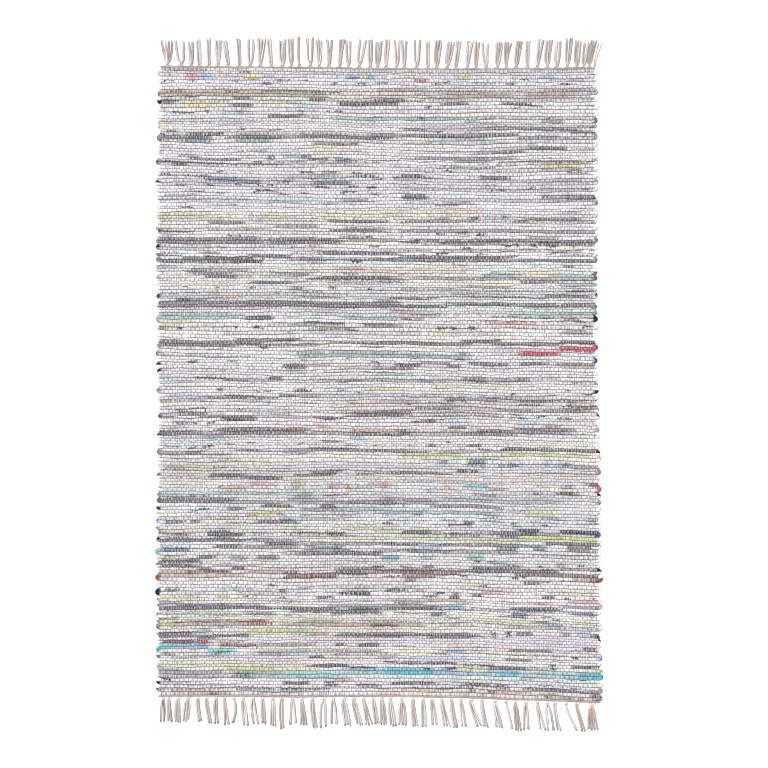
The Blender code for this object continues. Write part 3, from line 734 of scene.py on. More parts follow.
    dict(down=107.9, tall=1.2, left=112.9, right=118.0, rag="charcoal"),
    dict(down=107.8, tall=1.4, left=117.2, right=127.4, rag="charcoal"),
    dict(down=107.8, tall=1.3, left=130.6, right=141.2, rag="charcoal"),
    dict(down=107.6, tall=1.2, left=144.4, right=160.0, rag="charcoal"),
    dict(down=108.5, tall=1.1, left=145.5, right=160.0, rag="drab"),
    dict(down=109.4, tall=0.9, left=79.2, right=93.7, rag="brown"),
    dict(down=109.4, tall=0.6, left=93.0, right=131.7, rag="grey"),
    dict(down=111.1, tall=1.5, left=79.2, right=92.2, rag="greenpale"),
    dict(down=111.4, tall=1.2, left=91.1, right=100.9, rag="mint"),
    dict(down=113.5, tall=1.4, left=80.3, right=93.7, rag="mauve"),
    dict(down=113.5, tall=1.2, left=92.6, right=99.8, rag="steel"),
    dict(down=113.6, tall=0.8, left=99.1, right=111.8, rag="mauve"),
    dict(down=113.4, tall=1.7, left=110.4, right=119.8, rag="charcoal"),
    dict(down=113.9, tall=1.5, left=119.0, right=129.9, rag="mauve"),
    dict(down=113.6, tall=0.9, left=129.2, right=135.4, rag="charcoal"),
    dict(down=113.1, tall=0.6, left=134.6, right=146.2, rag="slate"),
    dict(down=112.5, tall=0.4, left=140.1, right=160.4, rag="grey"),
    dict(down=111.9, tall=1.4, left=100.6, right=159.6, rag="rose"),
    dict(down=116.3, tall=1.4, left=100.2, right=113.6, rag="limepale"),
    dict(down=116.5, tall=1.4, left=112.9, right=124.5, rag="straw"),
    dict(down=115.8, tall=1.2, left=123.8, right=128.8, rag="limepale"),
    dict(down=116.1, tall=1.4, left=128.1, right=146.2, rag="straw"),
    dict(down=114.3, tall=0.7, left=145.5, right=160.7, rag="drab"),
    dict(down=114.3, tall=0.7, left=150.9, right=155.3, rag="charcoal"),
    dict(down=118.8, tall=0.8, left=102.0, right=124.5, rag="ice"),
    dict(down=119.7, tall=0.6, left=87.5, right=106.4, rag="slate"),
    dict(down=120.5, tall=1.5, left=104.6, right=111.8, rag="charcoal"),
    dict(down=120.3, tall=1.9, left=110.0, right=124.5, rag="steel"),
    dict(down=120.5, tall=1.5, left=123.8, right=129.9, rag="slate"),
    dict(down=119.8, tall=1.1, left=128.1, right=140.8, rag="grey"),
    dict(down=118.7, tall=0.8, left=127.4, right=130.3, rag="black"),
    dict(down=118.7, tall=1.2, left=140.4, right=144.8, rag="blackish"),
    dict(down=118.3, tall=0.9, left=148.0, right=149.9, rag="black"),
    dict(down=118.8, tall=0.9, left=152.8, right=160.0, rag="black"),
    dict(down=121.1, tall=1.1, left=79.2, right=95.5, rag="grey"),
    dict(down=120.6, tall=1.1, left=149.1, right=155.3, rag="silver"),
    dict(down=122.3, tall=1.3, left=110.4, right=114.3, rag="orangepale"),
    dict(down=122.3, tall=1.3, left=117.2, right=122.3, rag="orangepale"),
    dict(down=122.2, tall=1.2, left=150.2, right=157.1, rag="orangepale"),
    # Middle, left.
    dict(down=125.5, tall=0.6, left=0.9, right=10.3, rag="slate"),
    dict(down=125.5, tall=1.5, left=8.9, right=17.6, rag="brown"),
    dict(down=125.3, tall=0.5, left=16.9, right=24.8, rag="slate"),
    dict(down=126.6, tall=1.5, left=15.0, right=25.2, rag="charcoal"),
    dict(down=127.1, tall=2.2, left=23.7, right=36.1, rag="charcoaldark"),
    dict(down=128.0, tall=0.8, left=24.1, right=30.3, rag="black"),
    dict(down=123.7, tall=2.2, left=35.0, right=42.9, rag="ice"),
    dict(down=124.4, tall=0.4, left=24.5, right=46.6, rag="slate"),
    dict(down=125.1, tall=0.6, left=45.8, right=87.9, rag="charcoal"),
    dict(down=125.6, tall=0.4, left=35.3, right=48.4, rag="slate"),
    dict(down=126.7, tall=1.2, left=35.3, right=55.6, rag="grey"),
    dict(down=126.9, tall=1.0, left=54.9, right=68.3, rag="charcoal"),
    dict(down=127.3, tall=0.9, left=56.7, right=58.9, rag="black"),
    dict(down=127.5, tall=0.8, left=61.1, right=64.3, rag="black"),
    dict(down=126.2, tall=2.0, left=67.6, right=87.9, rag="charcoal"),
    dict(down=126.9, tall=1.0, left=1.3, right=6.7, rag="charcoal"),
    dict(down=127.4, tall=0.5, left=6.0, right=15.8, rag="slate"),
    dict(down=129.1, tall=0.7, left=6.3, right=10.7, rag="charcoal"),
    dict(down=128.9, tall=0.7, left=11.4, right=14.7, rag="black"),
    dict(down=128.9, tall=0.8, left=18.7, right=20.8, rag="black"),
    dict(down=129.4, tall=2.2, left=36.4, right=87.9, rag="rose"),
    dict(down=130.5, tall=0.5, left=2.4, right=10.3, rag="mauve"),
    dict(down=131.1, tall=0.5, left=16.9, right=28.4, rag="charcoal"),
    dict(down=131.0, tall=0.8, left=27.7, right=46.6, rag="mauve"),
    dict(down=130.8, tall=1.3, left=45.8, right=51.3, rag="red"),
    dict(down=130.4, tall=1.2, left=57.8, right=62.9, rag="redpale"),
    dict(down=131.4, tall=1.2, left=70.1, right=87.9, rag="redpale"),
    dict(down=132.5, tall=1.7, left=0.2, right=15.8, rag="charcoal"),
    dict(down=132.5, tall=1.2, left=15.0, right=21.2, rag="slate"),
    dict(down=132.5, tall=2.0, left=20.5, right=42.9, rag="charcoal"),
    dict(down=132.2, tall=2.3, left=42.2, right=55.6, rag="charcoal"),
    dict(down=132.5, tall=1.6, left=54.9, right=70.1, rag="slate"),
    dict(down=132.5, tall=2.3, left=69.4, right=91.9, rag="charcoal"),
    dict(down=133.9, tall=0.5, left=2.4, right=46.6, rag="slate"),
    dict(down=134.2, tall=1.8, left=15.0, right=23.7, rag="sky"),
    dict(down=134.5, tall=1.8, left=69.4, right=74.5, rag="sky"),
    dict(down=135.1, tall=0.4, left=2.4, right=14.0, rag="slate"),
    dict(down=135.2, tall=0.4, left=16.9, right=30.3, rag="slate"),
    dict(down=137.6, tall=0.7, left=3.4, right=7.8, rag="charcoal"),
    dict(down=137.4, tall=0.9, left=11.4, right=14.3, rag="black"),
    dict(down=138.0, tall=0.9, left=16.1, right=21.2, rag="black"),
    dict(down=136.9, tall=1.1, left=24.5, right=27.7, rag="black"),
    dict(down=136.2, tall=0.6, left=32.1, right=35.7, rag="charcoal"),
    dict(down=136.3, tall=1.1, left=50.6, right=53.1, rag="black"),
    dict(down=135.8, tall=0.7, left=59.6, right=68.3, rag="charcoal"),
    dict(down=137.2, tall=0.7, left=67.6, right=72.3, rag="charcoal"),
    dict(down=137.3, tall=0.7, left=77.4, right=80.3, rag="black"),
    dict(down=136.3, tall=2.5, left=2.4, right=23.0, rag="mint"),
    dict(down=140.1, tall=1.6, left=0.5, right=9.2, rag="slate"),
    dict(down=140.0, tall=1.4, left=8.5, right=17.6, rag="charcoal"),
    dict(down=140.5, tall=0.7, left=16.9, right=26.6, rag="slate"),
    dict(down=139.2, tall=1.2, left=28.8, right=38.2, rag="charcoal"),
    dict(down=139.1, tall=0.8, left=37.5, right=46.6, rag="slate"),
    dict(down=139.1, tall=1.9, left=45.1, right=55.6, rag="slate"),
    dict(down=138.8, tall=1.4, left=54.9, right=71.9, rag="charcoal"),
    dict(down=139.1, tall=1.0, left=71.2, right=87.9, rag="charcoal"),
    dict(down=140.2, tall=0.6, left=47.7, right=56.4, rag="charcoal"),
    dict(down=142.0, tall=0.4, left=4.2, right=14.0, rag="slate"),
    dict(down=142.9, tall=0.5, left=18.7, right=28.4, rag="slate"),
    dict(down=143.2, tall=2.2, left=25.2, right=42.9, rag="straw"),
    dict(down=140.7, tall=1.8, left=64.3, right=70.1, rag="straw"),
    dict(down=145.2, tall=2.2, left=2.4, right=10.3, rag="drab"),
    dict(down=144.9, tall=2.2, left=9.6, right=23.7, rag="limepale"),
    dict(down=145.0, tall=0.6, left=20.8, right=28.4, rag="black"),
    dict(down=144.7, tall=0.5, left=45.8, right=49.1, rag="slate"),
    dict(down=145.5, tall=0.4, left=27.7, right=48.4, rag="slate"),
    dict(down=146.3, tall=0.4, left=0.9, right=81.4, rag="slate"),
    dict(down=147.1, tall=1.2, left=54.9, right=66.5, rag="charcoaldark"),
    dict(down=146.3, tall=0.5, left=64.0, right=79.2, rag="charcoal"),
    # Middle, right.
    dict(down=122.6, tall=0.9, left=79.2, right=88.2, rag="peachpink"),
    dict(down=123.9, tall=0.8, left=93.0, right=106.4, rag="charcoal"),
    dict(down=123.2, tall=0.7, left=103.8, right=110.0, rag="slate"),
    dict(down=123.6, tall=0.6, left=105.6, right=124.5, rag="slate"),
    dict(down=125.5, tall=2.0, left=79.2, right=92.6, rag="charcoal"),
    dict(down=125.2, tall=0.7, left=91.9, right=124.5, rag="charcoal"),
    dict(down=126.5, tall=0.8, left=91.9, right=124.5, rag="charcoal"),
    dict(down=124.9, tall=0.7, left=123.8, right=157.1, rag="charcoal"),
    dict(down=123.8, tall=1.1, left=154.6, right=160.0, rag="charcoal"),
    dict(down=127.7, tall=1.0, left=92.2, right=96.2, rag="blackish"),
    dict(down=127.9, tall=0.9, left=96.2, right=103.5, rag="blackish"),
    dict(down=126.3, tall=0.8, left=128.5, right=131.7, rag="black"),
    dict(down=127.4, tall=0.7, left=128.5, right=133.5, rag="black"),
    dict(down=126.8, tall=0.7, left=137.5, right=141.2, rag="black"),
    dict(down=127.3, tall=0.8, left=145.5, right=150.6, rag="blackish"),
    dict(down=127.4, tall=2.5, left=123.8, right=146.2, rag="ice"),
    dict(down=129.5, tall=2.2, left=102.0, right=113.6, rag="lilacgrey"),
    dict(down=130.7, tall=1.2, left=104.9, right=111.8, rag="charcoal"),
    dict(down=129.6, tall=1.8, left=130.3, right=139.0, rag="steelpale"),
    dict(down=130.7, tall=1.8, left=140.1, right=146.2, rag="mauve"),
    dict(down=129.5, tall=2.5, left=79.2, right=104.6, rag="rose"),
    dict(down=132.8, tall=2.0, left=91.1, right=110.0, rag="slate"),
    dict(down=133.0, tall=1.5, left=109.3, right=118.0, rag="slate"),
    dict(down=132.3, tall=2.2, left=116.5, right=129.9, rag="charcoal"),
    dict(down=131.8, tall=2.4, left=129.2, right=150.6, rag="charcoal"),
    dict(down=133.1, tall=0.6, left=120.1, right=160.4, rag="slate"),
    dict(down=134.1, tall=1.8, left=145.5, right=160.0, rag="mint"),
    dict(down=136.9, tall=0.9, left=96.9, right=101.3, rag="charcoal"),
    dict(down=136.6, tall=1.1, left=104.2, right=106.4, rag="black"),
    dict(down=137.6, tall=0.9, left=90.8, right=93.3, rag="black"),
    dict(down=137.0, tall=1.1, left=112.5, right=117.6, rag="charcoal"),
    dict(down=138.5, tall=0.6, left=107.5, right=126.3, rag="charcoal"),
    dict(down=139.1, tall=1.0, left=79.2, right=99.1, rag="charcoal"),
    dict(down=139.5, tall=0.8, left=98.4, right=124.5, rag="slate"),
    dict(down=139.2, tall=1.8, left=116.5, right=124.5, rag="grey"),
    dict(down=139.1, tall=0.9, left=123.8, right=160.0, rag="charcoal"),
    dict(down=140.6, tall=1.6, left=87.5, right=110.7, rag="lime"),
    dict(down=140.6, tall=1.7, left=123.8, right=147.0, rag="lime"),
    dict(down=141.0, tall=1.8, left=146.2, right=157.5, rag="limepale"),
    dict(down=141.7, tall=1.1, left=110.4, right=124.1, rag="limepale"),
    dict(down=142.2, tall=0.7, left=112.9, right=124.5, rag="slate"),
    dict(down=143.4, tall=1.4, left=102.0, right=105.6, rag="steelblue"),
    dict(down=143.1, tall=1.4, left=104.9, right=110.0, rag="ice"),
    dict(down=143.6, tall=1.8, left=112.9, right=119.0, rag="tealblue"),
    dict(down=143.3, tall=1.4, left=118.3, right=122.7, rag="ice"),
    dict(down=144.1, tall=1.5, left=126.7, right=131.7, rag="steelblue"),
    dict(down=144.8, tall=1.4, left=123.8, right=128.8, rag="greenpale"),
    dict(down=144.3, tall=1.8, left=140.1, right=146.2, rag="sky"),
    dict(down=144.4, tall=1.8, left=144.8, right=149.9, rag="steelblue"),
    dict(down=143.7, tall=0.8, left=107.5, right=110.7, rag="limepale"),
    dict(down=145.2, tall=1.8, left=149.9, right=160.0, rag="mauve"),
    dict(down=146.1, tall=0.9, left=108.2, right=115.4, rag="plumred"),
    dict(down=146.2, tall=1.4, left=112.9, right=120.9, rag="lilacgrey"),
    dict(down=147.1, tall=1.2, left=79.2, right=106.4, rag="charcoaldark"),
    dict(down=147.2, tall=0.8, left=123.8, right=160.7, rag="slate"),
    dict(down=145.5, tall=0.4, left=79.2, right=102.7, rag="slate"),
    # Coloured scraps in a row.
    dict(down=148.0, tall=1.4, left=18.7, right=32.1, rag="charcoaldark"),
    dict(down=149.0, tall=1.4, left=31.3, right=45.5, rag="charcoaldark"),
    dict(down=147.9, tall=1.2, left=48.7, right=62.9, rag="charcoal"),
    dict(down=148.3, tall=0.6, left=2.4, right=8.5, rag="charcoal"),
    dict(down=147.8, tall=1.3, left=62.2, right=65.4, rag="blackish"),
    dict(down=148.5, tall=1.8, left=64.7, right=68.0, rag="lilacgrey"),
    dict(down=147.7, tall=0.7, left=73.0, right=79.2, rag="charcoal"),
    dict(down=149.0, tall=0.4, left=13.6, right=31.7, rag="slate"),
    dict(down=151.2, tall=1.4, left=33.5, right=44.0, rag="pink"),
    dict(down=151.0, tall=1.3, left=35.7, right=42.9, rag="redpale"),
    dict(down=152.5, tall=1.8, left=23.7, right=32.8, rag="beigedark"),
    dict(down=151.9, tall=0.6, left=20.8, right=24.5, rag="charcoal"),
    dict(down=151.6, tall=2.9, left=48.4, right=53.8, rag="drab"),
    dict(down=152.3, tall=2.9, left=68.0, right=71.2, rag="beigedark"),
    dict(down=151.2, tall=1.4, left=62.2, right=68.3, rag="sea"),
    dict(down=152.2, tall=0.7, left=61.8, right=69.0, rag="crimson"),
    dict(down=151.7, tall=1.1, left=71.9, right=77.7, rag="sea"),
    dict(down=151.3, tall=1.4, left=75.6, right=86.1, rag="pink"),
    dict(down=151.9, tall=1.8, left=79.5, right=84.6, rag="redpale"),
    dict(down=151.6, tall=1.4, left=86.1, right=89.0, rag="mint"),
    dict(down=153.1, tall=1.4, left=96.9, right=99.8, rag="sky"),
    dict(down=152.7, tall=1.8, left=99.8, right=101.3, rag="greenpale"),
    dict(down=152.4, tall=1.8, left=102.4, right=106.0, rag="orangepale"),
    dict(down=153.3, tall=1.4, left=110.7, right=114.7, rag="peachpink"),
    dict(down=151.8, tall=1.7, left=111.4, right=120.1, rag="turquoise"),
    dict(down=152.0, tall=1.1, left=116.1, right=120.5, rag="sky"),
    dict(down=153.3, tall=1.4, left=119.4, right=126.3, rag="redpale"),
    dict(down=152.0, tall=1.8, left=128.1, right=131.7, rag="straw"),
    dict(down=152.0, tall=1.6, left=136.8, right=140.8, rag="orangepale"),
    dict(down=153.0, tall=1.4, left=141.9, right=145.9, rag="straw"),
    dict(down=152.0, tall=1.1, left=145.9, right=150.2, rag="mauve"),
    dict(down=153.0, tall=1.3, left=146.6, right=154.9, rag="straw"),
    dict(down=152.1, tall=1.5, left=151.3, right=156.0, rag="mint"),
    dict(down=151.8, tall=1.6, left=155.3, right=160.4, rag="red"),
    dict(down=150.4, tall=0.4, left=86.1, right=125.9, rag="slate"),
    # Dark band with teal in the middle.
    dict(down=155.1, tall=0.7, left=115.4, right=123.4, rag="charcoaldark"),
    dict(down=154.8, tall=0.9, left=144.4, right=152.0, rag="blackish"),
    dict(down=154.9, tall=0.7, left=135.7, right=139.0, rag="charcoal"),
    dict(down=155.2, tall=1.4, left=0.9, right=15.4, rag="sea"),
    dict(down=155.9, tall=1.2, left=11.8, right=19.0, rag="tealdark"),
    dict(down=155.0, tall=1.3, left=20.1, right=34.2, rag="sea"),
    dict(down=155.0, tall=1.2, left=31.7, right=44.4, rag="seagrey"),
    dict(down=155.3, tall=1.2, left=44.4, right=50.9, rag="silver"),
    dict(down=155.2, tall=0.7, left=60.0, right=70.5, rag="charcoal"),
    dict(down=155.2, tall=2.2, left=50.2, right=56.0, rag="seagrey"),
    dict(down=157.2, tall=2.0, left=0.2, right=29.2, rag="charcoal"),
    dict(down=157.4, tall=1.7, left=28.4, right=48.0, rag="slate"),
    dict(down=157.4, tall=2.0, left=46.2, right=58.9, rag="seagrey"),
    dict(down=157.7, tall=1.8, left=58.2, right=81.4, rag="slate"),
    dict(down=158.3, tall=1.4, left=68.0, right=89.7, rag="charcoal"),
    dict(down=156.9, tall=1.3, left=79.2, right=102.4, rag="slate"),
    dict(down=158.3, tall=1.3, left=87.9, right=101.3, rag="mauve"),
    dict(down=158.8, tall=1.2, left=98.8, right=125.9, rag="charcoal"),
    dict(down=156.7, tall=1.8, left=101.3, right=126.3, rag="seagrey"),
    dict(down=157.6, tall=1.8, left=124.1, right=145.9, rag="seagrey"),
    dict(down=156.8, tall=2.4, left=144.1, right=159.6, rag="silver"),
    dict(down=159.3, tall=1.0, left=37.9, right=49.8, rag="charcoal"),
    dict(down=160.4, tall=0.9, left=24.8, right=31.0, rag="charcoal"),
    dict(down=160.7, tall=1.1, left=11.8, right=14.7, rag="black"),
    dict(down=159.9, tall=1.1, left=14.7, right=18.3, rag="black"),
    dict(down=159.5, tall=1.2, left=58.5, right=65.1, rag="charcoal"),
    dict(down=160.5, tall=0.9, left=51.6, right=68.0, rag="slate"),
    dict(down=160.7, tall=1.4, left=64.7, right=81.4, rag="sea"),
    dict(down=161.0, tall=1.7, left=79.2, right=98.8, rag="sea"),
    dict(down=161.1, tall=0.9, left=98.8, right=124.1, rag="sea"),
    dict(down=161.0, tall=0.5, left=119.0, right=132.8, rag="charcoal"),
    dict(down=161.9, tall=1.7, left=92.2, right=96.6, rag="tealdark"),
    dict(down=161.8, tall=2.5, left=132.8, right=143.3, rag="limepale"),
    dict(down=162.1, tall=1.8, left=0.2, right=7.4, rag="straw"),
    dict(down=161.7, tall=1.6, left=33.5, right=39.3, rag="lime"),
    dict(down=161.2, tall=1.4, left=40.0, right=45.8, rag="lime"),
    dict(down=162.6, tall=1.0, left=19.0, right=31.7, rag="rose"),
    dict(down=163.0, tall=1.4, left=22.6, right=28.4, rag="beigedark"),
    dict(down=162.8, tall=1.4, left=28.4, right=36.4, rag="redpale"),
    dict(down=163.4, tall=2.2, left=38.6, right=42.9, rag="peachpink"),
    dict(down=162.4, tall=1.8, left=45.8, right=51.6, rag="ice"),
    dict(down=163.8, tall=1.4, left=145.9, right=156.7, rag="silver"),
    dict(down=163.4, tall=0.4, left=-0.2, right=20.8, rag="slate"),
    dict(down=165.1, tall=0.9, left=2.4, right=10.0, rag="charcoal"),
    dict(down=164.8, tall=1.3, left=11.8, right=15.4, rag="charcoal"),
    dict(down=165.1, tall=0.6, left=24.1, right=37.9, rag="charcoal"),
    dict(down=165.3, tall=1.1, left=36.4, right=45.1, rag="charcoal"),
    dict(down=164.8, tall=1.6, left=43.3, right=51.3, rag="steelblue"),
    dict(down=163.9, tall=0.5, left=51.6, right=68.0, rag="slate"),
    dict(down=165.7, tall=0.7, left=104.9, right=113.2, rag="plumred"),
    dict(down=165.7, tall=0.9, left=110.7, right=114.7, rag="charcoal"),
    dict(down=164.8, tall=0.9, left=82.1, right=85.0, rag="black"),
    dict(down=166.0, tall=1.4, left=128.5, right=131.4, rag="black"),
    dict(down=165.9, tall=1.1, left=139.0, right=141.5, rag="black"),
    # Lime rows and the navy rag.
    dict(down=167.3, tall=1.8, left=2.4, right=17.2, rag="beige"),
    dict(down=167.3, tall=1.6, left=26.3, right=37.9, rag="straw"),
    dict(down=167.3, tall=1.8, left=44.0, right=52.4, rag="limepale"),
    dict(down=167.3, tall=1.8, left=51.6, right=66.1, rag="straw"),
    dict(down=167.3, tall=2.0, left=66.1, right=81.4, rag="limepale"),
    dict(down=167.3, tall=2.2, left=79.2, right=87.2, rag="limepale"),
    dict(down=167.0, tall=1.4, left=91.9, right=98.0, rag="limepale"),
    dict(down=169.1, tall=1.7, left=18.3, right=26.6, rag="charcoal"),
    dict(down=169.5, tall=1.2, left=25.9, right=31.7, rag="navy"),
    dict(down=169.1, tall=0.6, left=6.7, right=10.3, rag="charcoal"),
    dict(down=168.9, tall=0.6, left=45.5, right=63.2, rag="charcoal"),
    dict(down=169.1, tall=1.6, left=61.1, right=68.3, rag="charcoaldark"),
    dict(down=169.7, tall=0.8, left=48.0, right=59.6, rag="slate"),
    dict(down=169.9, tall=0.6, left=66.1, right=72.7, rag="charcoal"),
    dict(down=168.8, tall=1.4, left=87.9, right=98.8, rag="blackish"),
    dict(down=169.0, tall=1.1, left=97.3, right=103.8, rag="slate"),
    dict(down=169.3, tall=0.7, left=104.6, right=113.6, rag="charcoal"),
    dict(down=168.6, tall=0.6, left=113.6, right=123.0, rag="slate"),
    dict(down=168.6, tall=1.2, left=119.4, right=124.1, rag="charcoal"),
    dict(down=169.2, tall=2.0, left=123.4, right=131.4, rag="charcoal"),
    dict(down=168.6, tall=0.9, left=130.6, right=139.0, rag="navydark"),
    dict(down=169.6, tall=0.9, left=130.6, right=137.2, rag="navy"),
    dict(down=169.3, tall=1.1, left=138.6, right=146.6, rag="slate"),
    dict(down=168.4, tall=1.1, left=145.9, right=160.4, rag="navydark"),
    dict(down=169.5, tall=0.7, left=147.7, right=160.4, rag="plumgrey"),
    dict(down=170.6, tall=1.4, left=49.1, right=87.9, rag="limepale"),
    dict(down=170.8, tall=1.7, left=87.9, right=109.6, rag="limepale"),
    dict(down=171.2, tall=2.0, left=108.9, right=131.4, rag="limepale"),
    dict(down=171.2, tall=1.8, left=130.6, right=161.0, rag="lime"),
    dict(down=172.0, tall=1.2, left=0.2, right=35.3, rag="charcoal"),
    dict(down=171.9, tall=0.9, left=35.0, right=50.2, rag="slate"),
    dict(down=172.9, tall=1.2, left=39.0, right=51.6, rag="charcoal"),
    dict(down=172.7, tall=1.6, left=51.6, right=81.4, rag="slate"),
    dict(down=172.6, tall=1.3, left=79.2, right=113.2, rag="charcoal"),
    dict(down=173.0, tall=1.2, left=112.5, right=140.4, rag="charcoal"),
    dict(down=173.3, tall=1.3, left=139.7, right=161.0, rag="charcoal"),
    dict(down=173.7, tall=1.4, left=20.5, right=31.0, rag="tealdark"),
    dict(down=174.0, tall=1.8, left=53.8, right=68.3, rag="steel"),
    dict(down=174.1, tall=1.8, left=92.2, right=100.9, rag="steelpale"),
    dict(down=173.9, tall=1.4, left=98.8, right=103.1, rag="turquoise"),
    dict(down=174.6, tall=1.6, left=2.0, right=11.8, rag="tealblue"),
    dict(down=174.4, tall=0.9, left=29.9, right=51.6, rag="slate"),
    dict(down=176.0, tall=1.7, left=45.5, right=52.4, rag="slate"),
    dict(down=175.9, tall=1.7, left=50.9, right=81.4, rag="charcoal"),
    dict(down=175.8, tall=1.3, left=79.2, right=87.9, rag="slate"),
    dict(down=175.7, tall=0.9, left=87.9, right=107.8, rag="charcoal"),
    dict(down=176.1, tall=0.9, left=107.8, right=124.1, rag="slate"),
    dict(down=175.1, tall=1.7, left=122.7, right=130.6, rag="steel"),
    dict(down=174.9, tall=2.2, left=136.1, right=140.8, rag="steelblue"),
    dict(down=174.8, tall=2.2, left=148.0, right=157.5, rag="charcoal"),
    dict(down=175.4, tall=1.1, left=156.7, right=161.0, rag="slate"),
    dict(down=176.9, tall=0.7, left=124.1, right=161.0, rag="slate"),
    dict(down=177.1, tall=0.6, left=2.7, right=10.0, rag="slate"),
    dict(down=175.8, tall=1.8, left=39.3, right=48.7, rag="rose"),
    dict(down=178.0, tall=1.5, left=0.9, right=6.0, rag="limepale"),
    dict(down=179.0, tall=1.8, left=0.9, right=15.4, rag="tealdark"),
    dict(down=177.9, tall=1.4, left=14.7, right=20.8, rag="tealdark"),
    dict(down=177.8, tall=2.0, left=25.9, right=32.8, rag="seagrey"),
    dict(down=177.8, tall=1.6, left=35.7, right=43.7, rag="charcoal"),
    dict(down=177.8, tall=1.8, left=81.4, right=87.2, rag="turquoise"),
    dict(down=177.9, tall=1.7, left=95.1, right=100.2, rag="sea"),
    dict(down=177.8, tall=2.2, left=112.2, right=118.7, rag="greenpale"),
    dict(down=179.4, tall=1.1, left=115.4, right=117.6, rag="black"),
    dict(down=179.6, tall=1.2, left=122.3, right=127.0, rag="greenpale"),
    dict(down=179.4, tall=0.7, left=119.4, right=122.7, rag="charcoal"),
    dict(down=178.7, tall=1.4, left=51.6, right=81.4, rag="silver"),
    dict(down=181.1, tall=1.4, left=0.9, right=15.4, rag="brown"),
    dict(down=181.3, tall=1.2, left=14.0, right=20.5, rag="charcoal"),
    dict(down=180.7, tall=0.6, left=20.5, right=37.9, rag="slate"),
    dict(down=181.3, tall=1.3, left=27.0, right=32.1, rag="brown"),
    dict(down=181.6, tall=0.6, left=37.1, right=62.5, rag="slate"),
    dict(down=181.4, tall=1.3, left=64.3, right=81.4, rag="charcoal"),
    dict(down=180.6, tall=0.9, left=77.7, right=84.3, rag="blackish"),
    dict(down=181.1, tall=0.8, left=87.5, right=90.8, rag="charcoal"),
    dict(down=181.1, tall=0.9, left=96.6, right=99.5, rag="charcoal"),
    dict(down=180.5, tall=0.6, left=119.8, right=129.6, rag="slate"),
    dict(down=181.2, tall=0.7, left=128.5, right=132.1, rag="charcoal"),
    dict(down=181.3, tall=1.1, left=137.9, right=139.7, rag="black"),
    dict(down=181.0, tall=1.8, left=144.1, right=148.0, rag="grey"),
    dict(down=181.1, tall=0.9, left=152.0, right=155.3, rag="black"),
    # Brown band.
    dict(down=183.7, tall=2.2, left=0.2, right=17.2, rag="beigedark"),
    dict(down=183.1, tall=0.9, left=10.3, right=26.3, rag="brown"),
    dict(down=183.7, tall=1.4, left=17.2, right=32.1, rag="beigedark"),
    dict(down=183.4, tall=1.2, left=31.7, right=48.0, rag="drab"),
    dict(down=183.6, tall=2.2, left=46.2, right=51.6, rag="brown"),
    dict(down=184.0, tall=1.7, left=51.6, right=65.4, rag="redbrown"),
    dict(down=183.4, tall=1.5, left=64.7, right=75.2, rag="brown"),
    dict(down=182.9, tall=1.3, left=68.0, right=81.4, rag="mauve"),
    dict(down=182.9, tall=1.8, left=79.2, right=93.3, rag="brown"),
    dict(down=183.3, tall=2.4, left=87.9, right=100.6, rag="redbrown"),
    dict(down=183.5, tall=1.4, left=100.6, right=110.7, rag="redbrown"),
    dict(down=182.3, tall=1.7, left=89.7, right=116.9, rag="charcoal"),
    dict(down=182.7, tall=2.4, left=113.2, right=131.4, rag="plumgrey"),
    dict(down=182.7, tall=1.7, left=129.6, right=145.9, rag="charcoal"),
    dict(down=182.5, tall=1.2, left=144.4, right=161.0, rag="slate"),
    dict(down=184.3, tall=1.2, left=129.6, right=160.4, rag="brown"),
    dict(down=184.7, tall=0.6, left=82.1, right=87.9, rag="charcoal"),
    dict(down=185.4, tall=0.9, left=89.7, right=93.3, rag="charcoal"),
    dict(down=185.0, tall=0.7, left=98.8, right=104.2, rag="charcoal"),
    dict(down=185.7, tall=0.4, left=93.3, right=99.5, rag="slate"),
    dict(down=186.1, tall=1.8, left=116.1, right=131.4, rag="rose"),
    dict(down=186.3, tall=1.1, left=128.5, right=133.5, rag="blackish"),
    dict(down=186.4, tall=0.9, left=132.1, right=139.0, rag="charcoal"),
    dict(down=186.6, tall=0.6, left=139.0, right=142.2, rag="charcoal"),
    dict(down=186.0, tall=1.1, left=154.6, right=161.0, rag="redbrown"),
    dict(down=185.3, tall=1.1, left=150.2, right=156.7, rag="tan"),
    dict(down=186.4, tall=0.7, left=145.9, right=152.4, rag="brown"),
    dict(down=187.7, tall=0.7, left=40.8, right=42.6, rag="charcoal"),
    dict(down=187.9, tall=0.7, left=116.1, right=120.5, rag="charcoal"),
    dict(down=187.9, tall=1.8, left=110.7, right=116.1, rag="straw"),
    dict(down=189.5, tall=0.7, left=2.0, right=7.4, rag="charcoal"),
    dict(down=189.5, tall=0.8, left=82.8, right=90.8, rag="charcoal"),
    dict(down=189.6, tall=1.1, left=83.2, right=85.0, rag="black"),
    dict(down=189.5, tall=0.9, left=93.3, right=97.7, rag="mauve"),
    dict(down=189.6, tall=1.1, left=44.0, right=48.0, rag="charcoal"),
    dict(down=188.7, tall=0.6, left=50.9, right=55.3, rag="slate"),
    dict(down=191.1, tall=0.9, left=100.2, right=104.9, rag="blackish"),
    dict(down=191.7, tall=0.7, left=96.9, right=100.9, rag="charcoal"),
    dict(down=191.5, tall=2.2, left=106.0, right=109.6, rag="charcoal"),
    dict(down=191.4, tall=1.1, left=114.0, right=117.6, rag="charcoal"),
    dict(down=190.9, tall=0.9, left=116.9, right=124.1, rag="pink"),
    dict(down=190.6, tall=1.8, left=122.7, right=126.3, rag="orangepale"),
    dict(down=192.4, tall=1.0, left=139.7, right=144.1, rag="charcoal"),
    dict(down=192.4, tall=0.9, left=147.0, right=149.5, rag="black"),
    dict(down=192.7, tall=0.6, left=156.0, right=158.9, rag="charcoal"),
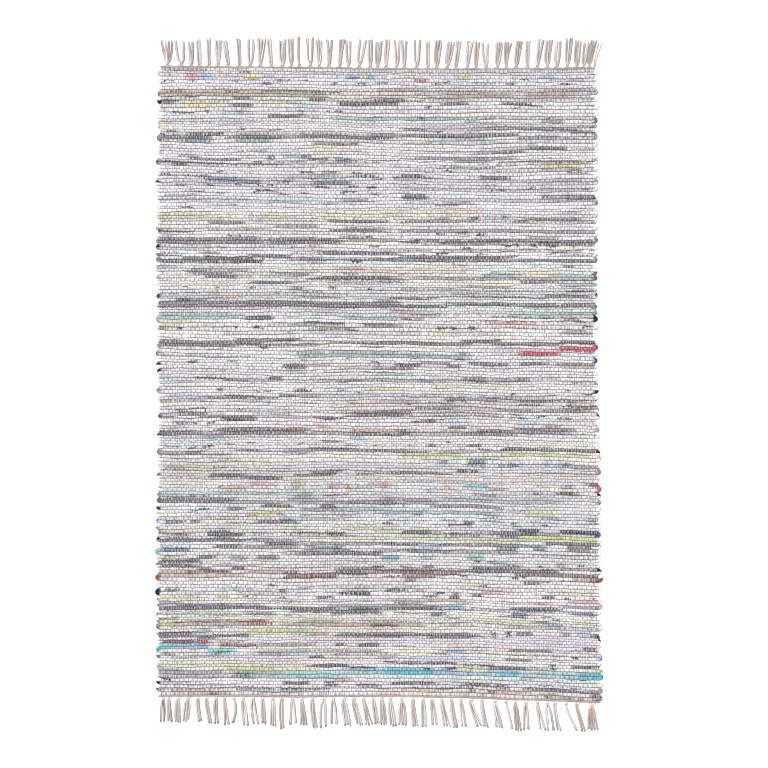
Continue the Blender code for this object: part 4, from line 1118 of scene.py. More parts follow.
    dict(down=190.5, tall=1.8, left=142.2, right=160.4, rag="straw"),
    dict(down=191.6, tall=0.5, left=30.6, right=36.4, rag="black"),
    dict(down=190.7, tall=0.4, left=28.4, right=32.1, rag="charcoal"),
    dict(down=192.1, tall=1.7, left=-0.5, right=17.2, rag="limepale"),
    dict(down=192.1, tall=1.8, left=21.2, right=25.5, rag="lime"),
    dict(down=192.1, tall=1.4, left=25.5, right=37.9, rag="straw"),
    dict(down=192.0, tall=1.3, left=60.7, right=64.7, rag="blackish"),
    dict(down=191.2, tall=1.3, left=64.7, right=69.8, rag="blackish"),
    dict(down=190.8, tall=0.9, left=69.8, right=77.7, rag="blackish"),
    dict(down=192.5, tall=1.1, left=57.8, right=61.8, rag="charcoal"),
    dict(down=192.3, tall=0.7, left=44.0, right=45.8, rag="charcoal"),
    dict(down=189.6, tall=2.9, left=46.2, right=56.0, rag="lilac"),
    dict(down=193.4, tall=0.9, left=82.1, right=113.2, rag="drab"),
    dict(down=193.8, tall=1.4, left=86.1, right=95.9, rag="seagrey"),
    dict(down=194.2, tall=0.7, left=86.1, right=88.6, rag="charcoal"),
    dict(down=193.7, tall=0.7, left=32.8, right=81.4, rag="slate"),
    dict(down=194.2, tall=0.5, left=37.1, right=51.6, rag="charcoal"),
    dict(down=194.7, tall=1.1, left=15.4, right=37.9, rag="slate"),
    dict(down=194.5, tall=1.7, left=0.2, right=8.9, rag="slate"),
    dict(down=194.5, tall=1.4, left=7.4, right=17.2, rag="steelblue"),
    dict(down=195.0, tall=2.2, left=22.3, right=30.6, rag="tealblue"),
    dict(down=195.2, tall=0.9, left=8.2, right=22.3, rag="charcoal"),
    dict(down=194.9, tall=1.1, left=59.6, right=81.4, rag="seagrey"),
    dict(down=195.6, tall=1.4, left=64.0, right=81.4, rag="slate"),
    dict(down=195.6, tall=1.8, left=79.2, right=82.8, rag="turquoise"),
    dict(down=195.3, tall=0.9, left=82.1, right=102.4, rag="slate"),
    dict(down=195.7, tall=1.8, left=100.9, right=110.7, rag="seablue"),
    dict(down=194.3, tall=0.5, left=107.8, right=113.2, rag="slate"),
    dict(down=194.7, tall=1.4, left=136.8, right=143.0, rag="pink"),
    dict(down=194.5, tall=1.4, left=148.0, right=160.4, rag="pink"),
    dict(down=194.2, tall=0.4, left=124.1, right=138.6, rag="slate"),
    dict(down=196.3, tall=1.4, left=-0.2, right=23.4, rag="charcoal"),
    dict(down=196.4, tall=1.2, left=23.4, right=66.1, rag="charcoal"),
    dict(down=196.5, tall=1.3, left=66.1, right=113.2, rag="charcoaldark"),
    dict(down=196.8, tall=0.7, left=113.2, right=131.4, rag="slate"),
    dict(down=196.6, tall=1.8, left=127.7, right=145.9, rag="tealdark"),
    dict(down=196.1, tall=1.1, left=145.9, right=161.0, rag="slate"),
    # Lower bands: brown, lime and turquoise.
    dict(down=197.9, tall=0.6, left=-0.2, right=41.1, rag="slate"),
    dict(down=197.9, tall=1.4, left=31.3, right=42.9, rag="slate"),
    dict(down=197.6, tall=1.2, left=47.7, right=64.7, rag="charcoal"),
    dict(down=198.5, tall=0.5, left=15.0, right=52.0, rag="slate"),
    dict(down=197.4, tall=1.8, left=62.5, right=81.4, rag="charcoal"),
    dict(down=199.8, tall=1.1, left=-0.2, right=7.8, rag="grey"),
    dict(down=199.9, tall=0.7, left=-0.2, right=3.4, rag="charcoal"),
    dict(down=200.3, tall=1.2, left=40.4, right=52.4, rag="limepale"),
    dict(down=201.9, tall=2.9, left=-0.5, right=6.7, rag="olivepale"),
    dict(down=201.6, tall=1.1, left=6.0, right=15.8, rag="redbrown"),
    dict(down=201.7, tall=2.2, left=6.7, right=32.1, rag="beigedark"),
    dict(down=200.8, tall=0.6, left=6.0, right=30.3, rag="brown"),
    dict(down=201.7, tall=1.6, left=29.5, right=40.4, rag="redbrown"),
    dict(down=201.1, tall=0.9, left=34.6, right=39.7, rag="red"),
    dict(down=202.1, tall=1.4, left=45.5, right=52.7, rag="mauve"),
    dict(down=201.9, tall=2.2, left=51.3, right=66.9, rag="drab"),
    dict(down=202.5, tall=1.4, left=65.8, right=75.6, rag="redpale"),
    dict(down=202.3, tall=1.4, left=77.4, right=86.4, rag="redbrown"),
    dict(down=204.6, tall=1.7, left=31.7, right=45.5, rag="lime"),
    dict(down=204.5, tall=1.8, left=44.0, right=56.4, rag="greenlime"),
    dict(down=205.0, tall=1.4, left=55.6, right=61.4, rag="drab"),
    dict(down=205.7, tall=2.7, left=0.5, right=14.0, rag="charcoal"),
    dict(down=206.3, tall=1.7, left=14.0, right=21.2, rag="charcoal"),
    dict(down=206.1, tall=1.8, left=20.5, right=33.9, rag="charcoaldark"),
    dict(down=204.8, tall=1.8, left=13.6, right=19.4, rag="sea"),
    dict(down=205.8, tall=0.6, left=51.3, right=65.4, rag="charcoal"),
    dict(down=205.6, tall=1.7, left=65.1, right=89.3, rag="charcoal"),
    dict(down=206.8, tall=0.9, left=35.0, right=40.4, rag="lilac"),
    dict(down=207.9, tall=1.5, left=1.3, right=14.0, rag="plumred"),
    dict(down=208.3, tall=1.4, left=15.0, right=19.4, rag="red"),
    dict(down=208.0, tall=0.4, left=20.5, right=32.1, rag="slate"),
    dict(down=209.5, tall=1.4, left=22.3, right=36.4, rag="redbrown"),
    dict(down=209.7, tall=0.9, left=35.7, right=56.4, rag="mauve"),
    dict(down=209.7, tall=1.2, left=64.3, right=68.3, rag="redbrown"),
    dict(down=209.8, tall=1.2, left=73.0, right=80.3, rag="plumred"),
    dict(down=210.4, tall=2.3, left=-0.2, right=8.2, rag="turquoise"),
    dict(down=210.3, tall=2.0, left=8.9, right=19.0, rag="skyblue"),
    dict(down=211.6, tall=1.8, left=17.9, right=28.8, rag="turquoise"),
    dict(down=212.3, tall=0.6, left=20.5, right=27.0, rag="charcoal"),
    dict(down=211.9, tall=1.5, left=27.4, right=35.7, rag="ice"),
    dict(down=212.3, tall=1.9, left=35.0, right=47.3, rag="slate"),
    dict(down=212.0, tall=2.0, left=46.2, right=56.7, rag="sea"),
    dict(down=211.7, tall=0.8, left=56.4, right=81.4, rag="slate"),
    dict(down=212.8, tall=0.6, left=62.5, right=87.9, rag="charcoal"),
    dict(down=213.0, tall=1.2, left=0.9, right=6.7, rag="slate"),
    dict(down=213.7, tall=0.5, left=6.0, right=24.8, rag="slate"),
    dict(down=214.6, tall=2.5, left=24.1, right=51.6, rag="lilac"),
    dict(down=213.9, tall=1.4, left=54.9, right=61.4, rag="charcoal"),
    dict(down=215.0, tall=1.8, left=45.1, right=53.8, rag="peachpink"),
    dict(down=214.3, tall=0.6, left=60.7, right=81.4, rag="slate"),
    dict(down=216.8, tall=2.0, left=-0.5, right=37.5, rag="limepale"),
    dict(down=217.1, tall=1.3, left=53.1, right=70.1, rag="blackish"),
    dict(down=217.5, tall=0.7, left=69.4, right=78.5, rag="charcoal"),
    dict(down=219.1, tall=1.9, left=0.5, right=10.3, rag="seagrey"),
    dict(down=219.0, tall=1.3, left=9.6, right=28.1, rag="slate"),
    dict(down=220.6, tall=1.4, left=-0.2, right=28.4, rag="grey"),
    dict(down=196.7, tall=1.2, left=79.2, right=99.1, rag="charcoal"),
    dict(down=197.8, tall=0.7, left=85.7, right=104.6, rag="charcoal"),
    dict(down=198.5, tall=1.8, left=98.4, right=103.5, rag="slate"),
    dict(down=199.7, tall=0.7, left=105.6, right=110.0, rag="charcoal"),
    dict(down=199.1, tall=1.4, left=103.8, right=106.7, rag="grey"),
    dict(down=198.6, tall=2.0, left=128.1, right=134.3, rag="steel"),
    dict(down=198.6, tall=1.7, left=133.5, right=140.8, rag="pinkpale"),
    dict(down=197.7, tall=0.8, left=145.5, right=151.7, rag="slate"),
    dict(down=198.3, tall=2.0, left=149.5, right=158.6, rag="charcoal"),
    dict(down=199.3, tall=0.8, left=123.8, right=128.8, rag="charcoal"),
    dict(down=199.3, tall=0.8, left=138.3, right=143.3, rag="charcoal"),
    dict(down=197.1, tall=0.6, left=113.2, right=124.1, rag="charcoal"),
    dict(down=200.9, tall=1.8, left=116.5, right=124.5, rag="limepale"),
    dict(down=201.2, tall=2.0, left=123.8, right=136.1, rag="limepale"),
    dict(down=201.9, tall=0.5, left=116.5, right=131.4, rag="olive"),
    dict(down=201.7, tall=1.9, left=150.6, right=158.6, rag="limepale"),
    dict(down=200.9, tall=1.1, left=135.4, right=141.9, rag="charcoal"),
    dict(down=200.6, tall=1.1, left=144.1, right=146.2, rag="charcoal"),
    dict(down=201.2, tall=0.6, left=85.7, right=102.7, rag="brown"),
    dict(down=202.5, tall=1.2, left=79.2, right=85.3, rag="redbrown"),
    dict(down=201.7, tall=1.3, left=84.6, right=99.1, rag="drab"),
    dict(down=202.8, tall=1.2, left=104.9, right=109.3, rag="redpale"),
    dict(down=202.5, tall=2.2, left=98.4, right=104.9, rag="straw"),
    dict(down=201.7, tall=0.7, left=102.0, right=113.6, rag="slate"),
    dict(down=203.2, tall=0.4, left=123.8, right=160.7, rag="slate"),
    dict(down=205.8, tall=2.4, left=79.2, right=89.0, rag="charcoal"),
    dict(down=206.1, tall=1.4, left=88.2, right=99.1, rag="charcoal"),
    dict(down=205.9, tall=2.2, left=98.4, right=115.1, rag="charcoaldark"),
    dict(down=206.6, tall=0.5, left=112.9, right=124.5, rag="black"),
    dict(down=205.7, tall=1.8, left=120.5, right=123.4, rag="black"),
    dict(down=205.7, tall=1.8, left=125.9, right=129.2, rag="black"),
    dict(down=206.0, tall=1.2, left=129.6, right=136.4, rag="charcoal"),
    dict(down=205.8, tall=1.5, left=145.5, right=149.9, rag="slate"),
    dict(down=206.1, tall=2.2, left=151.3, right=157.5, rag="steelpale"),
    dict(down=205.9, tall=1.2, left=156.7, right=160.4, rag="charcoal"),
    dict(down=209.6, tall=1.8, left=98.4, right=106.4, rag="beige"),
    dict(down=209.6, tall=1.9, left=105.6, right=111.1, rag="orangepale"),
    dict(down=209.6, tall=1.4, left=110.4, right=118.0, rag="peach"),
    dict(down=210.7, tall=1.2, left=120.1, right=128.8, rag="peachpink"),
    dict(down=209.8, tall=0.5, left=85.7, right=93.7, rag="brown"),
    dict(down=211.4, tall=1.1, left=153.8, right=158.6, rag="redbrown"),
    dict(down=211.3, tall=0.5, left=102.0, right=117.2, rag="slate"),
    dict(down=211.7, tall=1.7, left=103.8, right=111.8, rag="skyblue"),
    dict(down=212.7, tall=0.5, left=98.4, right=105.6, rag="charcoal"),
    dict(down=212.0, tall=0.9, left=127.4, right=143.3, rag="charcoaldark"),
    dict(down=211.8, tall=0.6, left=142.6, right=160.4, rag="charcoal"),
    dict(down=212.9, tall=0.5, left=115.8, right=135.4, rag="charcoal"),
    dict(down=213.4, tall=0.5, left=134.6, right=160.4, rag="slate"),
    dict(down=213.9, tall=1.5, left=79.2, right=88.2, rag="mauve"),
    dict(down=214.3, tall=2.2, left=87.5, right=113.6, rag="lilacgrey"),
    dict(down=214.5, tall=0.9, left=125.9, right=135.4, rag="charcoal"),
    dict(down=214.8, tall=0.9, left=149.9, right=152.4, rag="black"),
    dict(down=214.8, tall=0.5, left=135.0, right=149.5, rag="slate"),
    dict(down=216.1, tall=1.2, left=81.4, right=88.2, rag="blackish"),
    dict(down=216.1, tall=0.9, left=87.5, right=96.9, rag="charcoal"),
    dict(down=216.6, tall=1.3, left=96.2, right=108.2, rag="blackish"),
    dict(down=216.8, tall=0.7, left=111.1, right=120.9, rag="charcoal"),
    dict(down=217.4, tall=1.3, left=120.1, right=124.5, rag="charcoal"),
    dict(down=217.8, tall=1.2, left=123.8, right=135.4, rag="blackish"),
    dict(down=217.8, tall=1.8, left=141.9, right=144.8, rag="black"),
    dict(down=218.1, tall=0.7, left=135.0, right=142.2, rag="slate"),
    dict(down=217.7, tall=1.3, left=150.2, right=157.8, rag="blackish"),
    dict(down=217.4, tall=0.8, left=157.1, right=160.4, rag="charcoal"),
    dict(down=218.0, tall=1.7, left=108.2, right=118.0, rag="limepale"),
    dict(down=218.8, tall=1.2, left=134.6, right=140.1, rag="limepale"),
    dict(down=217.7, tall=1.0, left=96.6, right=99.8, rag="black"),
    dict(down=218.0, tall=0.8, left=104.9, right=108.2, rag="black"),
    # Last rags, above the bottom heading.
    dict(down=221.7, tall=1.1, left=29.5, right=33.9, rag="mint"),
    dict(down=221.1, tall=0.5, left=-0.2, right=30.3, rag="slate"),
    dict(down=221.9, tall=1.1, left=2.4, right=4.9, rag="black"),
    dict(down=222.9, tall=0.6, left=1.3, right=17.6, rag="charcoal"),
    dict(down=223.9, tall=0.6, left=2.4, right=28.4, rag="slate"),
    dict(down=223.5, tall=1.1, left=45.8, right=55.6, rag="blackish"),
    dict(down=223.7, tall=1.4, left=60.0, right=65.1, rag="black"),
    dict(down=222.4, tall=1.4, left=63.6, right=70.8, rag="redpale"),
    dict(down=221.5, tall=0.5, left=51.3, right=66.5, rag="slate"),
    dict(down=225.1, tall=0.6, left=28.4, right=52.0, rag="blackish"),
    dict(down=225.8, tall=0.8, left=28.4, right=52.0, rag="seagrey"),
    dict(down=225.3, tall=0.7, left=53.1, right=62.9, rag="charcoal"),
    dict(down=224.6, tall=0.5, left=54.9, right=81.4, rag="slate"),
    dict(down=224.0, tall=0.8, left=73.0, right=82.1, rag="charcoal"),
    dict(down=225.3, tall=0.5, left=-0.2, right=28.4, rag="slate"),
    dict(down=226.1, tall=1.4, left=45.5, right=51.3, rag="sea"),
    dict(down=226.4, tall=1.8, left=5.3, right=18.3, rag="beigedark"),
    dict(down=227.2, tall=1.2, left=19.0, right=23.0, rag="redbrown"),
    dict(down=227.2, tall=1.4, left=22.3, right=27.4, rag="tan"),
    dict(down=226.4, tall=1.1, left=15.4, right=20.5, rag="beigedark"),
    dict(down=226.5, tall=0.4, left=37.9, right=46.6, rag="charcoal"),
    dict(down=227.5, tall=0.8, left=29.5, right=52.0, rag="peachpink"),
    dict(down=227.9, tall=0.4, left=31.0, right=34.2, rag="redpale"),
    dict(down=223.2, tall=1.2, left=83.9, right=92.6, rag="blackish"),
    dict(down=223.1, tall=0.8, left=91.9, right=100.6, rag="charcoal"),
    dict(down=223.9, tall=1.4, left=110.0, right=117.2, rag="charcoaldark"),
    dict(down=224.1, tall=1.6, left=116.5, right=126.3, rag="charcoaldark"),
    dict(down=223.9, tall=0.5, left=79.2, right=111.8, rag="slate"),
    dict(down=225.2, tall=0.7, left=89.7, right=113.6, rag="charcoal"),
    dict(down=225.3, tall=0.6, left=79.2, right=90.4, rag="slate"),
    dict(down=223.6, tall=2.2, left=120.1, right=129.9, rag="lilac"),
    dict(down=223.2, tall=1.8, left=134.6, right=146.2, rag="silver"),
    dict(down=226.2, tall=1.1, left=112.9, right=117.6, rag="charcoaldark"),
    dict(down=226.5, tall=1.4, left=118.7, right=122.7, rag="red"),
    dict(down=226.8, tall=2.3, left=79.2, right=119.4, rag="beige"),
    dict(down=226.0, tall=2.2, left=94.0, right=100.9, rag="straw"),
    dict(down=226.4, tall=1.6, left=123.8, right=135.4, rag="beigedark"),
    dict(down=226.3, tall=1.1, left=131.0, right=146.2, rag="brown"),
    dict(down=226.5, tall=1.3, left=143.7, right=160.0, rag="charcoal"),
    dict(down=226.9, tall=2.2, left=156.7, right=160.4, rag="charcoal"),
    dict(down=225.0, tall=0.5, left=138.3, right=160.4, rag="charcoal"),
    dict(down=228.3, tall=2.0, left=136.8, right=146.2, rag="beigedark"),
    dict(down=228.5, tall=1.2, left=144.1, right=152.4, rag="beigedark"),
    dict(down=228.9, tall=1.4, left=140.4, right=143.7, rag="straw"),
    dict(down=228.3, tall=0.4, left=139.0, right=141.9, rag="plum"),
    dict(down=228.8, tall=0.4, left=145.5, right=149.9, rag="redbrown"),
    dict(down=229.0, tall=1.2, left=150.9, right=160.4, rag="beigedark"),
    dict(down=229.0, tall=1.1, left=152.8, right=154.2, rag="redbrown"),
    dict(down=229.7, tall=0.8, left=148.0, right=152.4, rag="beigedark"),
    dict(down=230.0, tall=1.1, left=154.2, right=160.4, rag="orangepale"),
    dict(down=229.5, tall=1.2, left=158.9, right=160.4, rag="redbrown"),
    # The turquoise rag that runs from side to side, near the lower end.
    dict(down=219.8, tall=2.1, left=27.4, right=34.2, rag="tealblue2"),
    dict(down=220.0, tall=2.1, left=33.9, right=45.8, rag="seagrey"),
    dict(down=219.5, tall=2.2, left=44.4, right=68.0, rag="turqsoft"),
    dict(down=219.4, tall=2.2, left=67.2, right=82.1, rag="skyturq"),
    dict(down=219.1, tall=2.4, left=80.6, right=102.4, rag="turqdeep"),
    dict(down=219.3, tall=2.4, left=100.9, right=113.2, rag="skyblue"),
    dict(down=219.8, tall=2.1, left=111.8, right=124.1, rag="skyturq"),
    dict(down=220.1, tall=2.0, left=123.0, right=132.5, rag="turqdeep"),
    dict(down=220.4, tall=2.0, left=131.0, right=140.8, rag="steelpale"),
    dict(down=220.2, tall=1.8, left=139.7, right=148.0, rag="turqsoft"),
    dict(down=220.6, tall=2.0, left=145.9, right=152.4, rag="skyturq"),
    dict(down=220.8, tall=2.3, left=151.3, right=161.0, rag="turqdeep"),
    dict(down=222.2, tall=0.6, left=149.5, right=156.7, rag="tealdark"),
    dict(down=219.5, tall=0.9, left=150.2, right=161.0, rag="limepale"),
    dict(down=222.5, tall=1.2, left=131.0, right=145.9, rag="seagrey"),
    dict(down=217.3, tall=1.5, left=24.8, right=37.9, rag="limesoft"),
    dict(down=217.2, tall=1.1, left=37.9, right=44.8, rag="limepale"),
    dict(down=218.5, tall=1.4, left=24.8, right=41.5, rag="limesoft"),
    dict(down=218.1, tall=1.2, left=41.5, right=53.1, rag="limepale"),
    dict(down=218.2, tall=1.2, left=51.6, right=55.6, rag="limesoft"),
    dict(down=217.6, tall=1.3, left=108.2, right=114.7, rag="limesoft"),
    dict(down=218.4, tall=0.9, left=114.7, right=119.0, rag="limepale"),
    dict(down=218.7, tall=1.1, left=134.6, right=140.8, rag="limepale"),
    dict(down=218.7, tall=0.9, left=141.5, right=146.6, rag="straw"),
    dict(down=228.7, tall=1.1, left=110.7, right=117.2, rag="tan"),
    dict(down=227.5, tall=0.7, left=78.5, right=87.9, rag="redpale"),
    dict(down=227.0, tall=1.4, left=95.1, right=100.2, rag="limepale"),
    dict(down=227.8, tall=1.1, left=101.7, right=110.7, rag="beigedark"),
    dict(down=228.1, tall=1.5, left=117.6, right=140.4, rag="beige"),
    # Upper right, between the first rags and the first bands.
    dict(down=2.1, tall=0.7, left=51.6, right=87.9, rag="silver"),
    dict(down=2.0, tall=0.7, left=87.9, right=124.1, rag="grey"),
    dict(down=2.0, tall=0.6, left=124.1, right=159.6, rag="silver"),
    dict(down=4.2, tall=1.1, left=85.0, right=91.5, rag="limepale"),
    dict(down=5.3, tall=0.9, left=93.3, right=97.7, rag="red"),
    dict(down=3.8, tall=1.4, left=107.8, right=109.6, rag="sky"),
    dict(down=4.2, tall=1.4, left=109.6, right=114.0, rag="yellow"),
    dict(down=3.3, tall=1.1, left=98.8, right=106.7, rag="lilac"),
    dict(down=3.1, tall=1.3, left=115.4, right=124.1, rag="rose"),
    dict(down=4.4, tall=1.4, left=137.2, right=144.1, rag="sky"),
    dict(down=3.1, tall=1.1, left=125.9, right=135.7, rag="silver"),
    dict(down=2.9, tall=1.1, left=144.4, right=156.7, rag="rose"),
    dict(down=4.6, tall=1.1, left=148.8, right=154.2, rag="redpale"),
    dict(down=4.6, tall=0.5, left=142.2, right=148.8, rag="charcoal"),
    dict(down=6.0, tall=0.7, left=157.8, right=159.6, rag="black"),
    dict(down=6.4, tall=0.7, left=99.5, right=103.8, rag="black"),
    dict(down=5.6, tall=0.7, left=104.6, right=106.7, rag="black"),
    dict(down=6.2, tall=0.7, left=125.9, right=129.9, rag="black"),
    dict(down=5.6, tall=0.9, left=131.4, right=134.3, rag="black"),
    dict(down=6.4, tall=0.7, left=145.9, right=150.2, rag="black"),
    dict(down=6.0, tall=0.5, left=113.2, right=124.1, rag="slate"),
    dict(down=7.5, tall=0.7, left=87.9, right=160.4, rag="silver"),
    dict(down=9.6, tall=2.5, left=79.2, right=98.8, rag="mauve"),
    dict(down=10.0, tall=2.2, left=98.8, right=131.4, rag="drab"),
    dict(down=10.0, tall=2.2, left=131.4, right=150.2, rag="beigedark"),
    dict(down=9.6, tall=1.1, left=149.5, right=160.4, rag="grey"),
    dict(down=8.7, tall=0.5, left=95.1, right=160.4, rag="slate"),
    dict(down=11.8, tall=0.6, left=95.1, right=160.4, rag="slate"),
    dict(down=12.5, tall=1.3, left=79.2, right=89.7, rag="charcoal"),
    dict(down=12.5, tall=0.5, left=89.7, right=96.9, rag="brown"),
    dict(down=11.6, tall=1.4, left=151.3, right=159.6, rag="silver"),
    dict(down=12.9, tall=0.9, left=102.4, right=113.2, rag="charcoal"),
    dict(down=13.4, tall=1.1, left=124.1, right=135.0, rag="charcoal"),
    # Right edge.
    dict(down=83.5, tall=0.9, left=83.5, right=97.3, rag="charcoal"),
    dict(down=83.7, tall=0.7, left=98.0, right=101.7, rag="charcoal"),
    dict(down=85.1, tall=0.7, left=79.2, right=87.9, rag="charcoal"),
    dict(down=86.6, tall=1.4, left=79.2, right=104.6, rag="charcoaldark"),
    dict(down=77.2, tall=0.7, left=79.2, right=90.8, rag="charcoal"),
    dict(down=78.0, tall=0.5, left=79.2, right=86.4, rag="charcoal"),
    dict(down=81.0, tall=0.7, left=79.2, right=95.1, rag="mauve"),
    dict(down=88.5, tall=0.7, left=84.3, right=92.2, rag="redpale"),
    dict(down=89.8, tall=0.5, left=87.9, right=124.1, rag="charcoal"),
    dict(down=90.0, tall=1.8, left=127.7, right=145.9, rag="greenpale"),
    dict(down=89.8, tall=1.8, left=145.9, right=157.5, rag="sea"),
    dict(down=90.9, tall=0.5, left=116.9, right=160.4, rag="charcoal"),
    dict(down=91.2, tall=0.9, left=88.2, right=90.8, rag="crimson"),
    dict(down=91.3, tall=0.9, left=90.8, right=93.0, rag="blackish"),
    dict(down=91.3, tall=1.4, left=93.3, right=97.3, rag="drab"),
    dict(down=92.7, tall=1.2, left=120.5, right=137.2, rag="redpale"),
    dict(down=92.4, tall=0.4, left=102.4, right=160.4, rag="charcoal"),
    dict(down=94.9, tall=0.7, left=100.9, right=104.6, rag="black"),
    dict(down=94.9, tall=0.7, left=106.4, right=108.5, rag="black"),
    dict(down=94.9, tall=0.7, left=112.5, right=115.4, rag="black"),
    dict(down=94.1, tall=0.6, left=155.3, right=157.8, rag="black"),
    dict(down=94.5, tall=0.7, left=153.1, right=155.3, rag="black"),
    dict(down=96.5, tall=1.8, left=79.2, right=87.9, rag="limepale"),
    dict(down=96.5, tall=1.8, left=87.9, right=95.1, rag="silver"),
    dict(down=96.5, tall=1.8, left=98.0, right=104.6, rag="limepale"),
    dict(down=96.5, tall=1.8, left=106.0, right=124.1, rag="silver"),
    dict(down=96.6, tall=1.8, left=145.9, right=157.5, rag="mauve"),
    dict(down=77.4, tall=0.5, left=145.9, right=157.5, rag="charcoal"),
    dict(down=78.5, tall=0.7, left=145.9, right=157.5, rag="slate"),
    dict(down=79.6, tall=0.7, left=145.9, right=157.5, rag="charcoal"),
    dict(down=83.3, tall=1.3, left=140.4, right=157.5, rag="charcoal"),
    dict(down=84.7, tall=0.5, left=145.9, right=157.5, rag="slate"),
    dict(down=86.4, tall=1.6, left=131.4, right=145.9, rag="charcoal"),
    dict(down=86.4, tall=1.6, left=145.9, right=157.8, rag="charcoal"),
    dict(down=89.0, tall=0.4, left=145.9, right=157.5, rag="slate"),
    dict(down=92.5, tall=1.3, left=153.8, right=157.8, rag="drab"),
    dict(down=91.8, tall=0.7, left=147.3, right=153.8, rag="charcoal"),
    # Upper right: guessed in keeping with the rest.
    dict(down=19.0, tall=1.2, left=87.9, right=113.2, rag="sea"),
    dict(down=19.0, tall=1.1, left=113.2, right=160.4, rag="grey"),
    dict(down=25.0, tall=1.2, left=87.9, right=131.4, rag="charcoal"),
    dict(down=25.4, tall=1.2, left=129.6, right=160.4, rag="charcoal"),
    dict(down=27.6, tall=0.7, left=87.9, right=160.4, rag="grey"),
    dict(down=33.9, tall=1.1, left=87.9, right=131.4, rag="slate"),
    dict(down=34.3, tall=0.7, left=124.1, right=160.4, rag="charcoal"),
    dict(down=41.2, tall=0.6, left=87.9, right=160.4, rag="slate"),
    dict(down=48.4, tall=0.7, left=87.9, right=160.4, rag="grey"),
    dict(down=53.1, tall=2.5, left=87.9, right=113.2, rag="straw"),
    dict(down=54.2, tall=1.4, left=116.9, right=160.4, rag="silver"),
    dict(down=56.2, tall=1.1, left=87.9, right=113.2, rag="charcoal"),
    dict(down=56.4, tall=0.6, left=113.2, right=160.4, rag="slate"),
    dict(down=59.6, tall=1.2, left=87.9, right=160.4, rag="slate"),
    dict(down=63.3, tall=2.0, left=87.9, right=160.4, rag="charcoal"),
    dict(down=63.3, tall=1.1, left=113.2, right=145.9, rag="charcoaldark"),
    dict(down=69.0, tall=1.2, left=87.9, right=131.4, rag="charcoal"),
    dict(down=70.0, tall=1.2, left=87.9, right=160.4, rag="charcoal"),
    dict(down=73.9, tall=1.8, left=87.9, right=113.2, rag="peach"),
    dict(down=74.1, tall=1.4, left=124.1, right=145.9, rag="limepale"),
    dict(down=76.8, tall=1.1, left=90.8, right=145.9, rag="slate"),
    dict(down=81.0, tall=0.5, left=95.1, right=145.9, rag="slate"),
    dict(down=83.5, tall=0.7, left=101.7, right=140.4, rag="charcoal"),
    dict(down=86.3, tall=1.4, left=104.6, right=131.4, rag="charcoal"),
    dict(down=15.8, tall=0.7, left=95.1, right=160.4, rag="silver"),
    dict(down=22.3, tall=0.5, left=87.9, right=160.4, rag="slate"),
    dict(down=30.6, tall=0.5, left=87.9, right=160.4, rag="slate"),
    dict(down=37.9, tall=0.5, left=87.9, right=160.4, rag="grey"),
    dict(down=44.8, tall=0.5, left=87.9, right=160.4, rag="slate"),
    dict(down=66.5, tall=0.5, left=87.9, right=160.4, rag="brown"),
    dict(down=35.9, tall=1.6, left=140.1, right=154.9, rag="yellow"),
    dict(down=37.5, tall=0.5, left=149.1, right=155.3, rag="mint"),
    dict(down=38.5, tall=0.7, left=148.8, right=156.0, rag="black"),
    dict(down=38.5, tall=0.7, left=137.9, right=140.1, rag="peachpink"),
    dict(down=37.9, tall=0.5, left=134.6, right=136.8, rag="slate"),
    dict(down=38.1, tall=0.7, left=103.5, right=109.3, rag="black"),
    dict(down=40.1, tall=0.9, left=120.9, right=127.7, rag="charcoal"),
    dict(down=39.8, tall=1.3, left=117.2, right=123.0, rag="steel"),
    dict(down=39.7, tall=0.6, left=116.1, right=121.2, rag="charcoal"),
    dict(down=40.0, tall=0.7, left=111.4, right=115.8, rag="grey"),
    dict(down=40.2, tall=0.6, left=92.2, right=98.0, rag="charcoal"),
    dict(down=40.9, tall=0.4, left=147.0, right=153.5, rag="slate"),
    dict(down=42.0, tall=0.4, left=140.8, right=159.6, rag="slate"),
    dict(down=42.6, tall=1.8, left=134.3, right=143.3, rag="silver"),
    dict(down=44.2, tall=0.7, left=134.6, right=137.2, rag="black"),
    dict(down=44.9, tall=0.7, left=120.9, right=125.9, rag="black"),
    dict(down=45.0, tall=1.1, left=153.8, right=156.4, rag="black"),
    dict(down=47.3, tall=1.6, left=149.1, right=159.3, rag="charcoal"),
    dict(down=47.9, tall=1.8, left=142.2, right=150.9, rag="mauve"),
    dict(down=48.5, tall=1.4, left=140.8, right=152.4, rag="mauve"),
    dict(down=46.8, tall=1.4, left=139.0, right=150.2, rag="charcoal"),
    dict(down=47.2, tall=1.8, left=88.6, right=98.0, rag="charcoal"),
    dict(down=49.1, tall=1.1, left=125.6, right=135.7, rag="steelpale"),
    dict(down=49.6, tall=1.1, left=102.7, right=114.7, rag="mauve"),
    dict(down=50.3, tall=0.7, left=100.9, right=109.6, rag="charcoal"),
    dict(down=49.7, tall=0.7, left=89.3, right=103.8, rag="grey"),
    dict(down=50.5, tall=1.1, left=153.1, right=157.8, rag="silver"),
    dict(down=52.2, tall=2.9, left=101.3, right=118.0, rag="peach"),
    dict(down=53.6, tall=0.9, left=146.6, right=153.1, rag="grey"),
    dict(down=54.6, tall=1.8, left=124.5, right=126.7, rag="steel"),
    dict(down=54.6, tall=1.8, left=118.0, right=123.0, rag="steelpale"),
    dict(down=55.0, tall=1.4, left=113.6, right=116.9, rag="charcoal"),
    dict(down=55.8, tall=1.4, left=108.5, right=116.1, rag="slate"),
    dict(down=55.4, tall=1.7, left=101.3, right=106.4, rag="mauve"),
    dict(down=54.8, tall=0.4, left=125.2, right=135.7, rag="slate"),
    dict(down=55.8, tall=1.2, left=132.8, right=154.6, rag="charcoal"),
